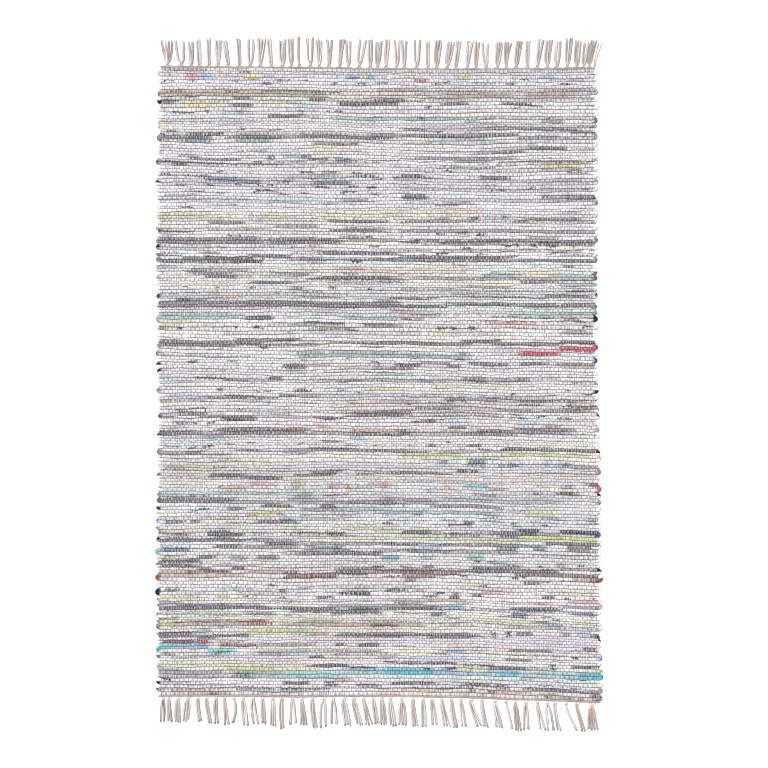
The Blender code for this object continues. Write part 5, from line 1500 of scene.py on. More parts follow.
    dict(down=55.8, tall=0.5, left=150.6, right=158.6, rag="slate"),
    dict(down=56.4, tall=1.1, left=128.5, right=133.2, rag="charcoal"),
    dict(down=57.8, tall=0.4, left=98.4, right=105.6, rag="slate"),
    dict(down=60.5, tall=1.1, left=114.7, right=118.3, rag="black"),
    dict(down=60.1, tall=0.7, left=108.5, right=112.5, rag="charcoal"),
    dict(down=60.8, tall=0.7, left=100.2, right=103.5, rag="black"),
    dict(down=62.6, tall=1.7, left=133.9, right=146.2, rag="mauve"),
    dict(down=62.6, tall=1.1, left=148.4, right=153.5, rag="rose"),
    dict(down=63.2, tall=1.6, left=128.8, right=137.9, rag="mauve"),
    dict(down=63.5, tall=0.7, left=120.1, right=132.1, rag="charcoal"),
    dict(down=62.2, tall=0.5, left=109.6, right=120.1, rag="slate"),
    dict(down=62.6, tall=0.7, left=104.2, right=114.3, rag="peachpink"),
    dict(down=63.7, tall=1.3, left=102.0, right=113.2, rag="mauve"),
    dict(down=63.3, tall=1.4, left=95.1, right=102.0, rag="rose"),
    dict(down=62.7, tall=0.7, left=92.6, right=96.6, rag="black"),
    dict(down=64.9, tall=0.8, left=141.2, right=144.4, rag="black"),
    dict(down=64.9, tall=0.8, left=135.4, right=138.3, rag="black"),
    dict(down=65.0, tall=0.6, left=149.1, right=152.4, rag="charcoal"),
    dict(down=64.9, tall=0.7, left=128.8, right=131.4, rag="black"),
    dict(down=64.8, tall=0.8, left=125.2, right=127.4, rag="black"),
    dict(down=65.0, tall=1.1, left=109.3, right=114.0, rag="black"),
    dict(down=64.7, tall=1.1, left=103.1, right=104.9, rag="black"),
    dict(down=67.2, tall=0.7, left=143.3, right=148.0, rag="charcoal"),
    dict(down=67.0, tall=0.8, left=124.8, right=129.9, rag="black"),
    dict(down=67.6, tall=1.2, left=100.9, right=105.3, rag="black"),
    dict(down=68.2, tall=0.7, left=115.1, right=117.6, rag="black"),
    dict(down=67.7, tall=0.6, left=140.4, right=144.8, rag="charcoal"),
    dict(down=68.1, tall=0.6, left=118.7, right=122.7, rag="charcoal"),
    dict(down=68.3, tall=0.6, left=93.7, right=97.3, rag="charcoal"),
    dict(down=68.3, tall=0.5, left=145.5, right=158.9, rag="slate"),
    dict(down=70.5, tall=1.4, left=98.0, right=106.7, rag="slate"),
    dict(down=72.7, tall=0.9, left=147.7, right=151.7, rag="charcoal"),
    dict(down=72.1, tall=0.5, left=135.4, right=139.0, rag="charcoal"),
    dict(down=71.8, tall=0.7, left=108.2, right=112.5, rag="slate"),
    dict(down=76.0, tall=2.5, left=142.2, right=159.6, rag="sea"),
    dict(down=75.9, tall=1.4, left=132.5, right=145.5, rag="peach"),
    dict(down=75.8, tall=1.8, left=119.4, right=130.3, rag="sea"),
    dict(down=73.7, tall=1.4, left=109.6, right=115.1, rag="peach"),
    dict(down=76.8, tall=1.6, left=103.1, right=114.0, rag="sea"),
    dict(down=77.9, tall=0.9, left=130.3, right=145.5, rag="charcoal"),
    dict(down=77.6, tall=0.4, left=145.1, right=159.3, rag="slate"),
    dict(down=80.1, tall=1.2, left=110.7, right=128.1, rag="slate"),
    dict(down=80.4, tall=0.7, left=89.0, right=107.5, rag="slate"),
    dict(down=81.6, tall=0.7, left=148.4, right=159.6, rag="charcoal"),
    dict(down=80.8, tall=0.4, left=141.9, right=159.6, rag="slate"),
    dict(down=81.9, tall=0.5, left=106.0, right=127.4, rag="slate"),
    dict(down=14.2, tall=0.5, left=152.8, right=159.6, rag="slate"),
    dict(down=14.3, tall=0.7, left=133.5, right=137.9, rag="black"),
    dict(down=14.9, tall=0.4, left=128.8, right=132.1, rag="charcoal"),
    dict(down=15.2, tall=1.1, left=97.3, right=99.5, rag="black"),
    dict(down=18.3, tall=0.7, left=110.4, right=115.4, rag="slate"),
    dict(down=18.7, tall=0.6, left=141.2, right=143.7, rag="charcoal"),
    dict(down=18.9, tall=0.6, left=118.0, right=121.2, rag="charcoal"),
    dict(down=18.4, tall=0.9, left=94.4, right=97.3, rag="black"),
    dict(down=19.7, tall=1.3, left=138.6, right=146.6, rag="seagrey"),
    dict(down=20.5, tall=0.6, left=139.7, right=147.0, rag="brown"),
    dict(down=20.4, tall=0.4, left=152.8, right=158.6, rag="slate"),
    dict(down=19.6, tall=1.8, left=111.4, right=115.8, rag="greenpale"),
    dict(down=20.6, tall=0.4, left=109.3, right=122.7, rag="brown"),
    dict(down=21.7, tall=0.7, left=150.6, right=158.2, rag="charcoal"),
    dict(down=22.9, tall=2.0, left=143.7, right=153.5, rag="charcoal"),
    dict(down=23.7, tall=1.4, left=149.9, right=158.6, rag="charcoal"),
    dict(down=22.5, tall=1.6, left=130.6, right=145.9, rag="charcoal"),
    dict(down=22.1, tall=1.6, left=119.4, right=136.4, rag="charcoal"),
    dict(down=22.3, tall=1.5, left=112.2, right=121.9, rag="slate"),
    dict(down=23.1, tall=1.3, left=88.6, right=98.4, rag="charcoal"),
    dict(down=23.6, tall=0.9, left=139.0, right=141.5, rag="rose"),
    dict(down=23.9, tall=0.6, left=110.4, right=117.2, rag="slate"),
    dict(down=24.2, tall=0.9, left=100.6, right=103.8, rag="black"),
    dict(down=25.4, tall=1.4, left=152.0, right=158.2, rag="limepale"),
    dict(down=25.4, tall=1.4, left=145.5, right=154.6, rag="lilac"),
    dict(down=26.5, tall=0.7, left=133.5, right=149.5, rag="steelpale"),
    dict(down=26.1, tall=0.9, left=119.4, right=125.6, rag="ice"),
    dict(down=26.5, tall=1.4, left=99.8, right=108.5, rag="steelpale"),
    dict(down=26.3, tall=1.1, left=88.6, right=100.6, rag="straw"),
    dict(down=26.4, tall=1.1, left=108.5, right=119.0, rag="seagrey"),
    dict(down=26.6, tall=0.5, left=131.4, right=143.7, rag="slate"),
    dict(down=27.2, tall=1.1, left=154.6, right=158.2, rag="ice"),
    dict(down=27.0, tall=0.7, left=113.2, right=121.2, rag="drab"),
    dict(down=27.7, tall=1.4, left=88.6, right=101.7, rag="straw"),
    dict(down=27.1, tall=1.1, left=120.9, right=127.4, rag="straw"),
    dict(down=27.9, tall=1.1, left=133.5, right=137.9, rag="greenpale"),
    dict(down=29.6, tall=1.2, left=133.9, right=148.4, rag="charcoaldark"),
    dict(down=29.7, tall=1.2, left=130.3, right=133.9, rag="steelpale"),
    dict(down=29.6, tall=0.5, left=150.6, right=159.6, rag="slate"),
    dict(down=31.2, tall=1.2, left=120.9, right=133.9, rag="charcoaldark"),
    dict(down=31.4, tall=0.7, left=114.0, right=122.7, rag="slate"),
    dict(down=29.6, tall=0.7, left=116.1, right=131.0, rag="grey"),
    dict(down=33.1, tall=0.7, left=141.5, right=143.3, rag="black"),
    dict(down=33.1, tall=0.7, left=115.8, right=119.8, rag="charcoal"),
    dict(down=33.3, tall=0.7, left=107.5, right=110.0, rag="charcoal"),
    dict(down=34.1, tall=1.1, left=98.0, right=100.6, rag="black"),
    dict(down=34.4, tall=0.7, left=112.5, right=121.2, rag="slate"),
    dict(down=34.4, tall=1.4, left=107.1, right=116.1, rag="seagrey"),
    dict(down=34.2, tall=0.4, left=88.6, right=104.9, rag="slate"),
    dict(down=34.9, tall=0.4, left=145.9, right=159.3, rag="brown"),
    dict(down=35.5, tall=1.8, left=140.8, right=145.1, rag="drab"),
    dict(down=35.4, tall=1.4, left=133.2, right=138.3, rag="orangepale"),
    dict(down=35.5, tall=1.1, left=125.2, right=129.6, rag="orangepale"),
    dict(down=35.5, tall=0.5, left=116.1, right=124.8, rag="brown"),
    dict(down=35.8, tall=1.1, left=88.6, right=106.0, rag="silver"),
    dict(down=36.9, tall=0.7, left=139.7, right=145.9, rag="charcoal"),
    dict(down=36.7, tall=0.8, left=103.5, right=121.9, rag="charcoal"),
    dict(down=37.5, tall=1.1, left=149.1, right=153.5, rag="plumgrey"),
    dict(down=37.4, tall=0.6, left=134.6, right=144.1, rag="slate"),
)
# Broad bands where the rags lean to one colour or are a little darker.
WASHES = (
    dict(down=1.0, tall=4, left=112, right=165, light=0.94, red=1.0, blue=0.995),
    dict(down=201, tall=9, left=0, right=165, light=0.99, red=1.0, blue=0.965),
    dict(down=136, tall=14, left=45, right=165, light=0.985, red=1.0, blue=0.975),
    dict(down=1.0, tall=5, left=0, right=165, light=0.96, red=1.02, blue=0.98),
    dict(down=1.0, tall=5, left=85, right=165, light=0.93, red=1.01, blue=1.0),
    dict(down=80, tall=34, left=0, right=165, light=1.02, red=0.99, blue=0.99),
    dict(down=122, tall=14, left=60, right=165, light=0.92, red=1.02, blue=0.97),
    dict(down=130, tall=8, left=60, right=165, light=0.95, red=1.02, blue=0.98),
    dict(down=148, tall=12, left=0, right=165, light=0.93, red=1.01, blue=0.99),
    dict(down=159, tall=12, left=0, right=165, light=0.95, red=0.975, blue=1.005),
    dict(down=170, tall=10, left=0, right=165, light=0.97, red=0.985, blue=1.0),
    dict(down=178, tall=10, left=90, right=165, light=0.98, red=0.985, blue=1.01),
    dict(down=190, tall=8, left=100, right=165, light=1.0, red=1.02, blue=0.98),
    dict(down=203, tall=10, left=0, right=100, light=0.97, red=1.0, blue=0.955),
    dict(down=222, tall=8, left=60, right=165, light=0.94, red=0.98, blue=1.0),
    dict(down=60, tall=12, left=0, right=90, light=1.03, red=1.0, blue=0.98),
    dict(down=82, tall=14, left=0, right=90, light=0.97, red=1.01, blue=1.0),
    dict(down=93, tall=10, left=0, right=60, light=1.05, red=1.0, blue=1.0),
)
# Rags that show their colour where they turn back at a selvedge.
TURNS = (
    dict(down=1.2, tall=2.2, side="left", rag="grey"),
    dict(down=3.3, tall=2.2, side="left", rag="silver"),
    dict(down=10.0, tall=1.8, side="left", rag="moss"),
    dict(down=13.1, tall=1.1, side="left", rag="black"),
    dict(down=20.7, tall=2.9, side="left", rag="gold"),
    dict(down=25.3, tall=1.8, side="left", rag="charcoal"),
    dict(down=33.8, tall=2.5, side="left", rag="charcoal"),
    dict(down=41.0, tall=1.1, side="left", rag="navy"),
    dict(down=53.9, tall=1.8, side="left", rag="limepale"),
    dict(down=59.1, tall=1.1, side="left", rag="charcoal"),
    dict(down=63.9, tall=4.3, side="left", rag="charcoal"),
    dict(down=64.9, tall=1.1, side="left", rag="black"),
    dict(down=69.3, tall=2.9, side="left", rag="charcoal"),
    dict(down=72.2, tall=1.1, side="left", rag="sea"),
    dict(down=74.0, tall=1.1, side="left", rag="pink"),
    dict(down=76.5, tall=1.4, side="left", rag="steel"),
    dict(down=83.8, tall=2.5, side="left", rag="navydark"),
    dict(down=86.3, tall=1.4, side="left", rag="grey"),
    dict(down=90.7, tall=2.5, side="left", rag="greenpale"),
    dict(down=100.5, tall=2.2, side="left", rag="charcoal"),
    dict(down=102.6, tall=1.4, side="left", rag="redpale"),
    dict(down=104.4, tall=1.4, side="left", rag="sea"),
    dict(down=107.2, tall=1.4, side="left", rag="black"),
    dict(down=109.9, tall=1.1, side="left", rag="black"),
    dict(down=117.1, tall=1.8, side="left", rag="slate"),
    dict(down=126.6, tall=1.8, side="left", rag="blackish"),
    dict(down=130.5, tall=1.4, side="left", rag="lilac"),
    dict(down=133.1, tall=1.4, side="left", rag="blackish"),
    dict(down=140.3, tall=2.2, side="left", rag="charcoal"),
    dict(down=147.9, tall=1.4, side="left", rag="navy"),
    dict(down=155.0, tall=1.8, side="left", rag="teal"),
    dict(down=157.7, tall=2.2, side="left", rag="plum"),
    dict(down=159.9, tall=1.4, side="left", rag="black"),
    dict(down=161.7, tall=1.4, side="left", rag="straw"),
    dict(down=165.0, tall=2.2, side="left", rag="sky"),
    dict(down=167.3, tall=1.4, side="left", rag="lime"),
    dict(down=170.4, tall=1.1, side="left", rag="black"),
    dict(down=171.5, tall=1.1, side="left", rag="charcoal"),
    dict(down=174.7, tall=2.5, side="left", rag="turquoise"),
    dict(down=177.1, tall=1.8, side="left", rag="peachpink"),
    dict(down=178.6, tall=1.1, side="left", rag="yellow"),
    dict(down=179.5, tall=1.1, side="left", rag="blue"),
    dict(down=184.2, tall=2.2, side="left", rag="rust"),
    dict(down=190.7, tall=1.8, side="left", rag="black"),
    dict(down=192.7, tall=1.4, side="left", rag="lime"),
    dict(down=195.0, tall=1.4, side="left", rag="slate"),
    dict(down=197.9, tall=1.1, side="left", rag="charcoal"),
    dict(down=201.9, tall=3.6, side="left", rag="olive"),
    dict(down=205.2, tall=1.4, side="left", rag="charcoal"),
    dict(down=210.3, tall=2.2, side="left", rag="cyan"),
    dict(down=213.7, tall=1.1, side="left", rag="blue"),
    dict(down=216.4, tall=1.8, side="left", rag="moss"),
    dict(down=218.2, tall=1.4, side="left", rag="sea"),
    dict(down=222.9, tall=1.4, side="left", rag="black"),
    dict(down=225.8, tall=1.1, side="left", rag="charcoal"),
    dict(down=228.4, tall=1.8, side="left", rag="brown"),
    dict(down=9.1, tall=2.2, side="right", rag="drab"),
    dict(down=18.6, tall=2.2, side="right", rag="tealdark"),
    dict(down=21.1, tall=1.8, side="right", rag="sea"),
    dict(down=25.1, tall=1.8, side="right", rag="charcoal"),
    dict(down=33.8, tall=1.4, side="right", rag="slate"),
    dict(down=41.4, tall=1.4, side="right", rag="steel"),
    dict(down=48.3, tall=1.8, side="right", rag="sea"),
    dict(down=54.1, tall=1.4, side="right", rag="straw"),
    dict(down=63.1, tall=2.2, side="right", rag="charcoal"),
    dict(down=69.3, tall=2.2, side="right", rag="charcoal"),
    dict(down=74.7, tall=1.4, side="right", rag="red"),
    dict(down=77.3, tall=1.8, side="right", rag="blackish"),
    dict(down=79.4, tall=1.4, side="right", rag="turquoise"),
    dict(down=81.3, tall=1.4, side="right", rag="peach"),
    dict(down=83.4, tall=1.8, side="right", rag="lilacgrey"),
    dict(down=86.0, tall=1.8, side="right", rag="charcoal"),
    dict(down=89.8, tall=2.2, side="right", rag="green"),
    dict(down=91.0, tall=1.1, side="right", rag="black"),
    dict(down=92.3, tall=1.8, side="right", rag="black"),
    dict(down=100.5, tall=2.2, side="right", rag="charcoal"),
    dict(down=102.6, tall=1.8, side="right", rag="crimson"),
    dict(down=107.2, tall=1.8, side="right", rag="royal"),
    dict(down=114.4, tall=1.1, side="right", rag="charcoal"),
    dict(down=118.4, tall=1.1, side="right", rag="black"),
    dict(down=124.0, tall=1.4, side="right", rag="charcoal"),
    dict(down=126.2, tall=1.1, side="right", rag="charcoal"),
    dict(down=131.6, tall=1.8, side="right", rag="drab"),
    dict(down=139.6, tall=1.1, side="right", rag="black"),
    dict(down=141.6, tall=1.4, side="right", rag="lime"),
    dict(down=145.8, tall=1.8, side="right", rag="brown"),
    dict(down=152.3, tall=1.8, side="right", rag="red"),
    dict(down=154.8, tall=1.4, side="right", rag="black"),
    dict(down=157.5, tall=1.8, side="right", rag="green"),
    dict(down=162.1, tall=1.1, side="right", rag="grey"),
    dict(down=169.3, tall=2.5, side="right", rag="royal"),
    dict(down=172.9, tall=1.1, side="right", rag="charcoal"),
    dict(down=182.7, tall=1.1, side="right", rag="black"),
    dict(down=185.6, tall=1.4, side="right", rag="rust"),
    dict(down=194.7, tall=1.4, side="right", rag="pink"),
    dict(down=207.5, tall=1.1, side="right", rag="black"),
    dict(down=215.0, tall=1.8, side="right", rag="sky"),
    dict(down=218.6, tall=1.4, side="right", rag="lime"),
    dict(down=221.1, tall=2.5, side="right", rag="cyan"),
    dict(down=226.6, tall=2.5, side="right", rag="charcoal"),
    dict(down=229.5, tall=2.2, side="right", rag="brown"),
)

rng = np.random.default_rng(SEED)


def drift(count, reach, rng):
    """Smooth noise along a row, about unit spread; reach in stations."""
    n = max(4, int(count / reach) + 4)
    values = rng.standard_normal(n)
    at = np.linspace(0, n - 3.001, count)
    i = at.astype(int)
    t = at - i
    a, b, c, d = values[i], values[i + 1], values[i + 2], values[np.minimum(i + 3, n - 1)]
    return 0.5 * (
        2 * b
        + (c - a) * t
        + (2 * a - 5 * b + 4 * c - d) * t**2
        + (3 * b - a - 3 * c + d) * t**3
    )


# ------------------------------------------------------------ lines of the weave
widths = 1 + 0.06 * drift(PICKS, 4, rng) + 0.13 * rng.standard_normal(PICKS)
widths = np.clip(widths, 0.70, 1.36)
edges = np.concatenate([[0], np.cumsum(widths)])
edges /= edges[-1]  # share of the length at each pick's lower and upper edge
middles = (edges[:-1] + edges[1:]) / 2

WAVES = [
    dict(
        size=rng.uniform(0.5, 1.0),
        kx=2 * math.pi / rng.uniform(260, 900),
        ky=2 * math.pi / rng.uniform(240, 700),
        phase=rng.uniform(0, 2 * math.pi),
    )
    for _ in range(7)
]


def lie(x, share):
    """y in mm of a line across the rug at a share of its length, 0 to 1."""
    low, high = end("bottom", x), end("top", x)
    y = low + (high - low) * share
    calm = np.minimum(1.0, np.minimum(share, 1 - share) * (high - low) / 60)
    return y + calm * sum(
        w["size"] * np.sin(w["kx"] * x + w["ky"] * y + w["phase"]) for w in WAVES
    )


# How far the line between two rags strays from its place, along the rug's width.
STRAY_AT = np.linspace(-830, 830, 240)
STRAY = np.array(
    [
        np.clip(
            0.62 * drift(240, 11, rng) + 0.66 * drift(240, 4.5, rng) + 0.48 * drift(240, 2, rng),
            -2.2,
            2.2,
        )
        for _ in range(PICKS + 1)
    ]
)
STRAY[0] *= 0.3
STRAY[-1] *= 0.3


def between(i, x):
    """y in mm of the line below rag i."""
    return lie(x, edges[i]) + np.interp(x, STRAY_AT, STRAY[i])


def pick_place(x, y):
    """Where a place lies among the rags: a rag's number and a share of its width."""
    share = 0.5
    length = float(end("top", x)) - float(end("bottom", x))
    for _ in range(5):
        share = min(max(share + (y - float(lie(x, share))) / length, 0.0), 1.0)
    return float(np.interp(share, edges, np.arange(PICKS + 1)))


def warp_x(index, y):
    """x in mm of a warp end, 0 to ENDS - 1, at a place along the rug."""
    left, right = side("left", y) + SET_IN, side("right", y) - SET_IN
    return left + (right - left) * (index + 0.5) / ENDS


def new_object(name, verts, faces, materials=()):
    """A mesh object from arrays: verts in mm in the tables' frame."""
    mesh = bpy.data.meshes.new(name)
    verts = np.asarray(verts, float).reshape(-1, 3)
    moved = (verts + (ZERO_X, ZERO_Y, 0.0)) * MM
    faces = np.asarray(faces, np.int32)
    mesh.vertices.add(len(moved))
    mesh.vertices.foreach_set("co", moved.astype(np.float32).ravel())
    size = faces.shape[1]
    mesh.loops.add(faces.size)
    mesh.loops.foreach_set("vertex_index", faces.ravel())
    mesh.polygons.add(len(faces))
    mesh.polygons.foreach_set("loop_start", np.arange(0, faces.size, size, dtype=np.int32))
    mesh.update(calc_edges=True)
    mesh.polygons.foreach_set("use_smooth", np.ones(len(faces), bool))
    for material in materials:
        mesh.materials.append(material)
    obj = bpy.data.objects.new(name, mesh)
    bpy.context.scene.collection.objects.link(obj)
    return obj


def colour_layer(obj, name, values):
    layer = obj.data.color_attributes.new(name, "FLOAT_COLOR", "POINT")
    values = np.asarray(values, np.float32)
    if values.shape[1] == 3:
        values = np.concatenate([values, np.ones((len(values), 1), np.float32)], axis=1)
    layer.data.foreach_set("color", values.ravel())


def vector_layer(obj, name, values):
    layer = obj.data.attributes.new(name, "FLOAT_VECTOR", "POINT")
    layer.data.foreach_set("vector", np.asarray(values, np.float32).ravel())


def uv_layer(obj, values):
    layer = obj.data.uv_layers.new(name="OFBake")
    layer.data.foreach_set("uv", np.asarray(values, np.float32).ravel())


# The charts' zero: the upper end of the weave and the left selvedge, mm.
CHART_X, CHART_Y = -801.8, 1151.3


# ------------------------------------------------------------------ node helpers
class Nodes:
    """Short calls for building one material's node tree."""

    def __init__(self, name):
        self.material = bpy.data.materials.new(name)
        self.material.use_nodes = True
        self.tree = self.material.node_tree
        self.shader = self.tree.nodes["Principled BSDF"]
        self.count = 0

    def node(self, kind, **settings):
        node = self.tree.nodes.new(kind)
        node.location = (-220 * (1 + self.count // 8), -160 * (self.count % 8))
        self.count += 1
        for key, value in settings.items():
            setattr(node, key, value)
        return node

    def put(self, socket, value):
        if isinstance(value, bpy.types.NodeSocket):
            self.tree.links.new(value, socket)
        elif value is not None:
            if hasattr(socket.default_value, "__len__") and not isinstance(value, (tuple, list, np.ndarray)):
                value = (value,) * len(socket.default_value)
            if hasattr(socket.default_value, "__len__") and len(value) < len(socket.default_value):
                value = (*value, 1.0)
            socket.default_value = value

    def math(self, operation, a, b=None, c=None, clamp=False):
        node = self.node("ShaderNodeMath", operation=operation, use_clamp=clamp)
        for i, value in enumerate((a, b, c)):
            self.put(node.inputs[i], value)
        return node.outputs[0]

    def attribute(self, name, output="Vector"):
        return self.node("ShaderNodeAttribute", attribute_name=name).outputs[output]

    def split(self, vector):
        node = self.node("ShaderNodeSeparateXYZ")
        self.put(node.inputs[0], vector)
        return node.outputs

    def join(self, x, y, z):
        node = self.node("ShaderNodeCombineXYZ")
        for i, value in enumerate((x, y, z)):
            self.put(node.inputs[i], value)
        return node.outputs[0]

    def noise(self, vector, scale=1.0, detail=2.0, rough=0.5, output="Fac"):
        node = self.node("ShaderNodeTexNoise", noise_dimensions="3D")
        self.put(node.inputs["Vector"], vector)
        self.put(node.inputs["Scale"], scale)
        self.put(node.inputs["Detail"], detail)
        self.put(node.inputs["Roughness"], rough)
        return node.outputs[output]

    def ramp(self, value, low, high, to_low=0.0, to_high=1.0, smoothstep=True):
        node = self.node(
            "ShaderNodeMapRange",
            interpolation_type="SMOOTHSTEP" if smoothstep else "LINEAR",
            clamp=True,
        )
        for key, given in zip(
            ("Value", "From Min", "From Max", "To Min", "To Max"),
            (value, low, high, to_low, to_high),
        ):
            self.put(node.inputs[key], given)
        return node.outputs["Result"]

    def mix(self, share, a, b, blend="MIX"):
        node = self.node("ShaderNodeMix", data_type="RGBA", blend_type=blend)
        self.put(node.inputs["Factor"], share)
        self.put(node.inputs[6], a)
        self.put(node.inputs[7], b)
        return node.outputs[2]

    def bump(self, height, distance, strength=1.0, normal=None):
        node = self.node("ShaderNodeBump")
        self.put(node.inputs["Height"], height)
        node.inputs["Distance"].default_value = distance
        node.inputs["Strength"].default_value = strength
        if normal is not None:
            self.put(node.inputs["Normal"], normal)
        return node.outputs[0]


def rag_material():
    """Torn cotton rag: printed stuff folded so that face and back meet along a
    wandering line, crumpled and pinched where the warp crosses it, with painted
    shade beside the warp, in the creases and between rags."""
    n = Nodes("rag_cotton")
    along, rim, ends = n.split(n.attribute("weft"))
    starts, ends_at, seed = n.split(n.attribute("fold"))
    specks, lines, bars = n.split(n.attribute("print"))
    face = n.attribute("face", "Color")
    inside = n.attribute("face", "Alpha")
    back = n.attribute("back", "Color")
    pick = n.attribute("back", "Alpha")
    ink = n.attribute("ink", "Color")
    loose = n.attribute("ink", "Alpha")

    # The stretch of rag between two warp ends that lie on top of it: each is
    # folded and tilted a little differently, and painted a little lighter or darker
    # as if turned to the light.
    cell = n.math("FLOOR", n.math("MULTIPLY", ends, 0.5))
    white = n.node("ShaderNodeTexWhiteNoise", noise_dimensions="3D")
    n.put(white.inputs["Vector"], n.join(cell, pick, seed))
    cell_a, cell_b, cell_c = n.split(white.outputs["Color"])
    local = n.math("SUBTRACT", n.math("FRACT", n.math("MULTIPLY", ends, 0.5)), 0.5)

    # Where face and back meet.
    wide = n.noise(n.join(n.math("MULTIPLY", along, 24.0), seed, 0.0), 1.0, 2.0, 0.5)
    fine = n.noise(
        n.join(n.math("MULTIPLY", along, 150.0), n.math("MULTIPLY", rim, 0.6), seed),
        1.0,
        2.0,
        0.6,
    )
    stray = n.math("MULTIPLY", n.math("SUBTRACT", wide, 0.5), 1.15)
    stray = n.math("MULTIPLY_ADD", n.math("SUBTRACT", fine, 0.5), 0.55, stray)
    middle = n.noise(n.join(n.math("MULTIPLY", along, 58.0), n.math("MULTIPLY", pick, 3.1), seed), 1.0, 1.0, 0.5)
    stray = n.math("MULTIPLY_ADD", n.math("SUBTRACT", middle, 0.5), 0.95, stray)
    stray = n.math("MULTIPLY_ADD", n.math("SUBTRACT", cell_a, 0.5), 0.22, stray)
    tilt = n.math("MULTIPLY", n.math("SUBTRACT", cell_b, 0.5), 0.5)
    stray = n.math("MULTIPLY_ADD", local, tilt, stray)
    stray = n.math("MULTIPLY", stray, loose)
    place = n.math("MULTIPLY_ADD", rim, 0.5, 0.5)
    upper = n.ramp(n.math("SUBTRACT", n.math("ADD", ends_at, stray), place), -0.03, 0.03)
    lower = n.ramp(n.math("SUBTRACT", n.math("ADD", starts, stray), place), -0.03, 0.03)
    shown = n.math("SUBTRACT", upper, lower, clamp=True)
    colour = n.mix(shown, back, face)

    # Printed bars, slanting lines and specks.
    bar = n.noise(n.join(n.math("MULTIPLY", along, 70.0), seed, 3.0), 1.0, 1.0, 0.5)
    bar = n.math("MULTIPLY", n.ramp(bar, 0.52, 0.56), bars)
    colour = n.mix(n.math("MULTIPLY", bar, 0.75), colour, ink)
    slant = n.math(
        "SINE",
        n.math("MULTIPLY_ADD", along, 2 * math.pi / 0.0034, n.math("MULTIPLY", rim, 5.0)),
    )
    where = n.ramp(wide, 0.46, 0.54)
    slant = n.math("MULTIPLY", n.ramp(slant, -0.1, 0.4), n.math("MULTIPLY", where, lines))
    colour = n.mix(n.math("MULTIPLY", slant, 0.8), colour, ink)
    speck = n.noise(
        n.join(
            n.math("MULTIPLY_ADD", along, 60.0, n.math("MULTIPLY", rim, 0.9)),
            n.math("MULTIPLY", rim, 1.3),
            n.math("MULTIPLY_ADD", pick, 2.3, seed),
        ),
        1.0,
        2.0,
        0.6,
    )
    from_low = n.math("MULTIPLY_ADD", specks, -0.16, 0.80)
    speck = n.ramp(n.math("SUBTRACT", speck, from_low), 0.0, 0.025)
    speck = n.math("MULTIPLY", speck, n.ramp(specks, 0.0, 0.2))
    colour = n.mix(n.math("MULTIPLY", speck, 0.92), colour, ink)

    # Thin dark lines, drawn along the rag one by one: print, and painted shade inside folds.
    centre, half, strength = n.split(n.attribute("stroke"))
    wiggle = n.math("MULTIPLY", n.math("SUBTRACT", middle, 0.5), 0.70)
    wiggle = n.math("MULTIPLY_ADD", n.math("SUBTRACT", fine, 0.5), 0.45, wiggle)
    gap = n.math("ABSOLUTE", n.math("SUBTRACT", n.math("SUBTRACT", place, centre), wiggle))
    line = n.ramp(n.math("SUBTRACT", n.math("MULTIPLY", half, n.ramp(fine, 0.36, 0.64, 0.2, 1.6, False)), gap), -0.03, 0.03)
    line = n.math("MULTIPLY", line, n.math("MULTIPLY", strength, n.ramp(half, 0.0, 0.03)))
    colour = n.mix(line, colour, ink)

    # Crumple lines across and along the rag: relief in the bump, and painted
    # shade and light that follow them in the colour.
    crumple = n.noise(
        n.join(n.math("MULTIPLY", along, 640.0), n.math("MULTIPLY", rim, 0.8), seed),
        1.0,
        2.0,
        0.6,
    )
    creases = n.noise(
        n.join(
            n.math("MULTIPLY", along, 54.0),
            n.math("MULTIPLY", rim, 1.5),
            n.math("MULTIPLY_ADD", seed, 1.7, n.math("MULTIPLY", pick, 0.9)),
        ),
        1.0,
        3.0,
        0.62,
    )
    tone = n.math(
        "ADD",
        n.ramp(crumple, 0.25, 0.75, 0.86, 1.05, False),
        n.ramp(creases, 0.30, 0.70, -0.42, 0.27, False),
    )
    # Each stretch between two warp ends is painted a little lighter or darker, more so on charted rags.
    painted_cell_light = n.ramp(loose, 0.42, 1.0, 0.46, 0.26, False)
    tone = n.math("MULTIPLY_ADD", n.math("SUBTRACT", cell_c, 0.6), painted_cell_light, tone)

    # Painted shade: darker beside each warp end on top, where the rag is pinched,
    # and deep down between rags, along their edges and at seams; less at the turns.
    wave = n.math("COSINE", n.math("MULTIPLY", ends, math.pi))
    beside = n.math("MULTIPLY", n.ramp(wave, -0.5, 0.45), inside)
    crevice_shade = n.ramp(n.math("ABSOLUTE", rim), 0.74, 1.0)
    crevice_shade_noise = n.noise(n.join(n.math("MULTIPLY", along, 34.0), n.math("MULTIPLY", pick, 1.7), 7.0), 1.0, 2.0, 0.6)
    crevice_shade = n.math("MULTIPLY", crevice_shade, n.ramp(crevice_shade_noise, 0.34, 0.66, 0.0, 0.60, False))
    seam_shade = n.noise(n.join(n.math("MULTIPLY", along, 9.0), n.math("MULTIPLY", pick, 2.9), 19.0), 1.0, 2.0, 0.5)
    seam_shade = n.math("MULTIPLY", n.ramp(seam_shade, 0.50, 0.64), n.ramp(rim, 0.50, 0.84, 0.0, 0.70))
    edge_shade = n.math("MULTIPLY", n.ramp(n.math("ABSOLUTE", rim), 0.62, 0.96), n.ramp(loose, 0.42, 1.0, 0.42, 0.0, False))
    crevice_shade = n.math("MAXIMUM", n.math("MAXIMUM", crevice_shade, edge_shade), seam_shade)
    crevice_shade = n.math("MULTIPLY", crevice_shade, n.math("MULTIPLY_ADD", inside, 0.6, 0.4))
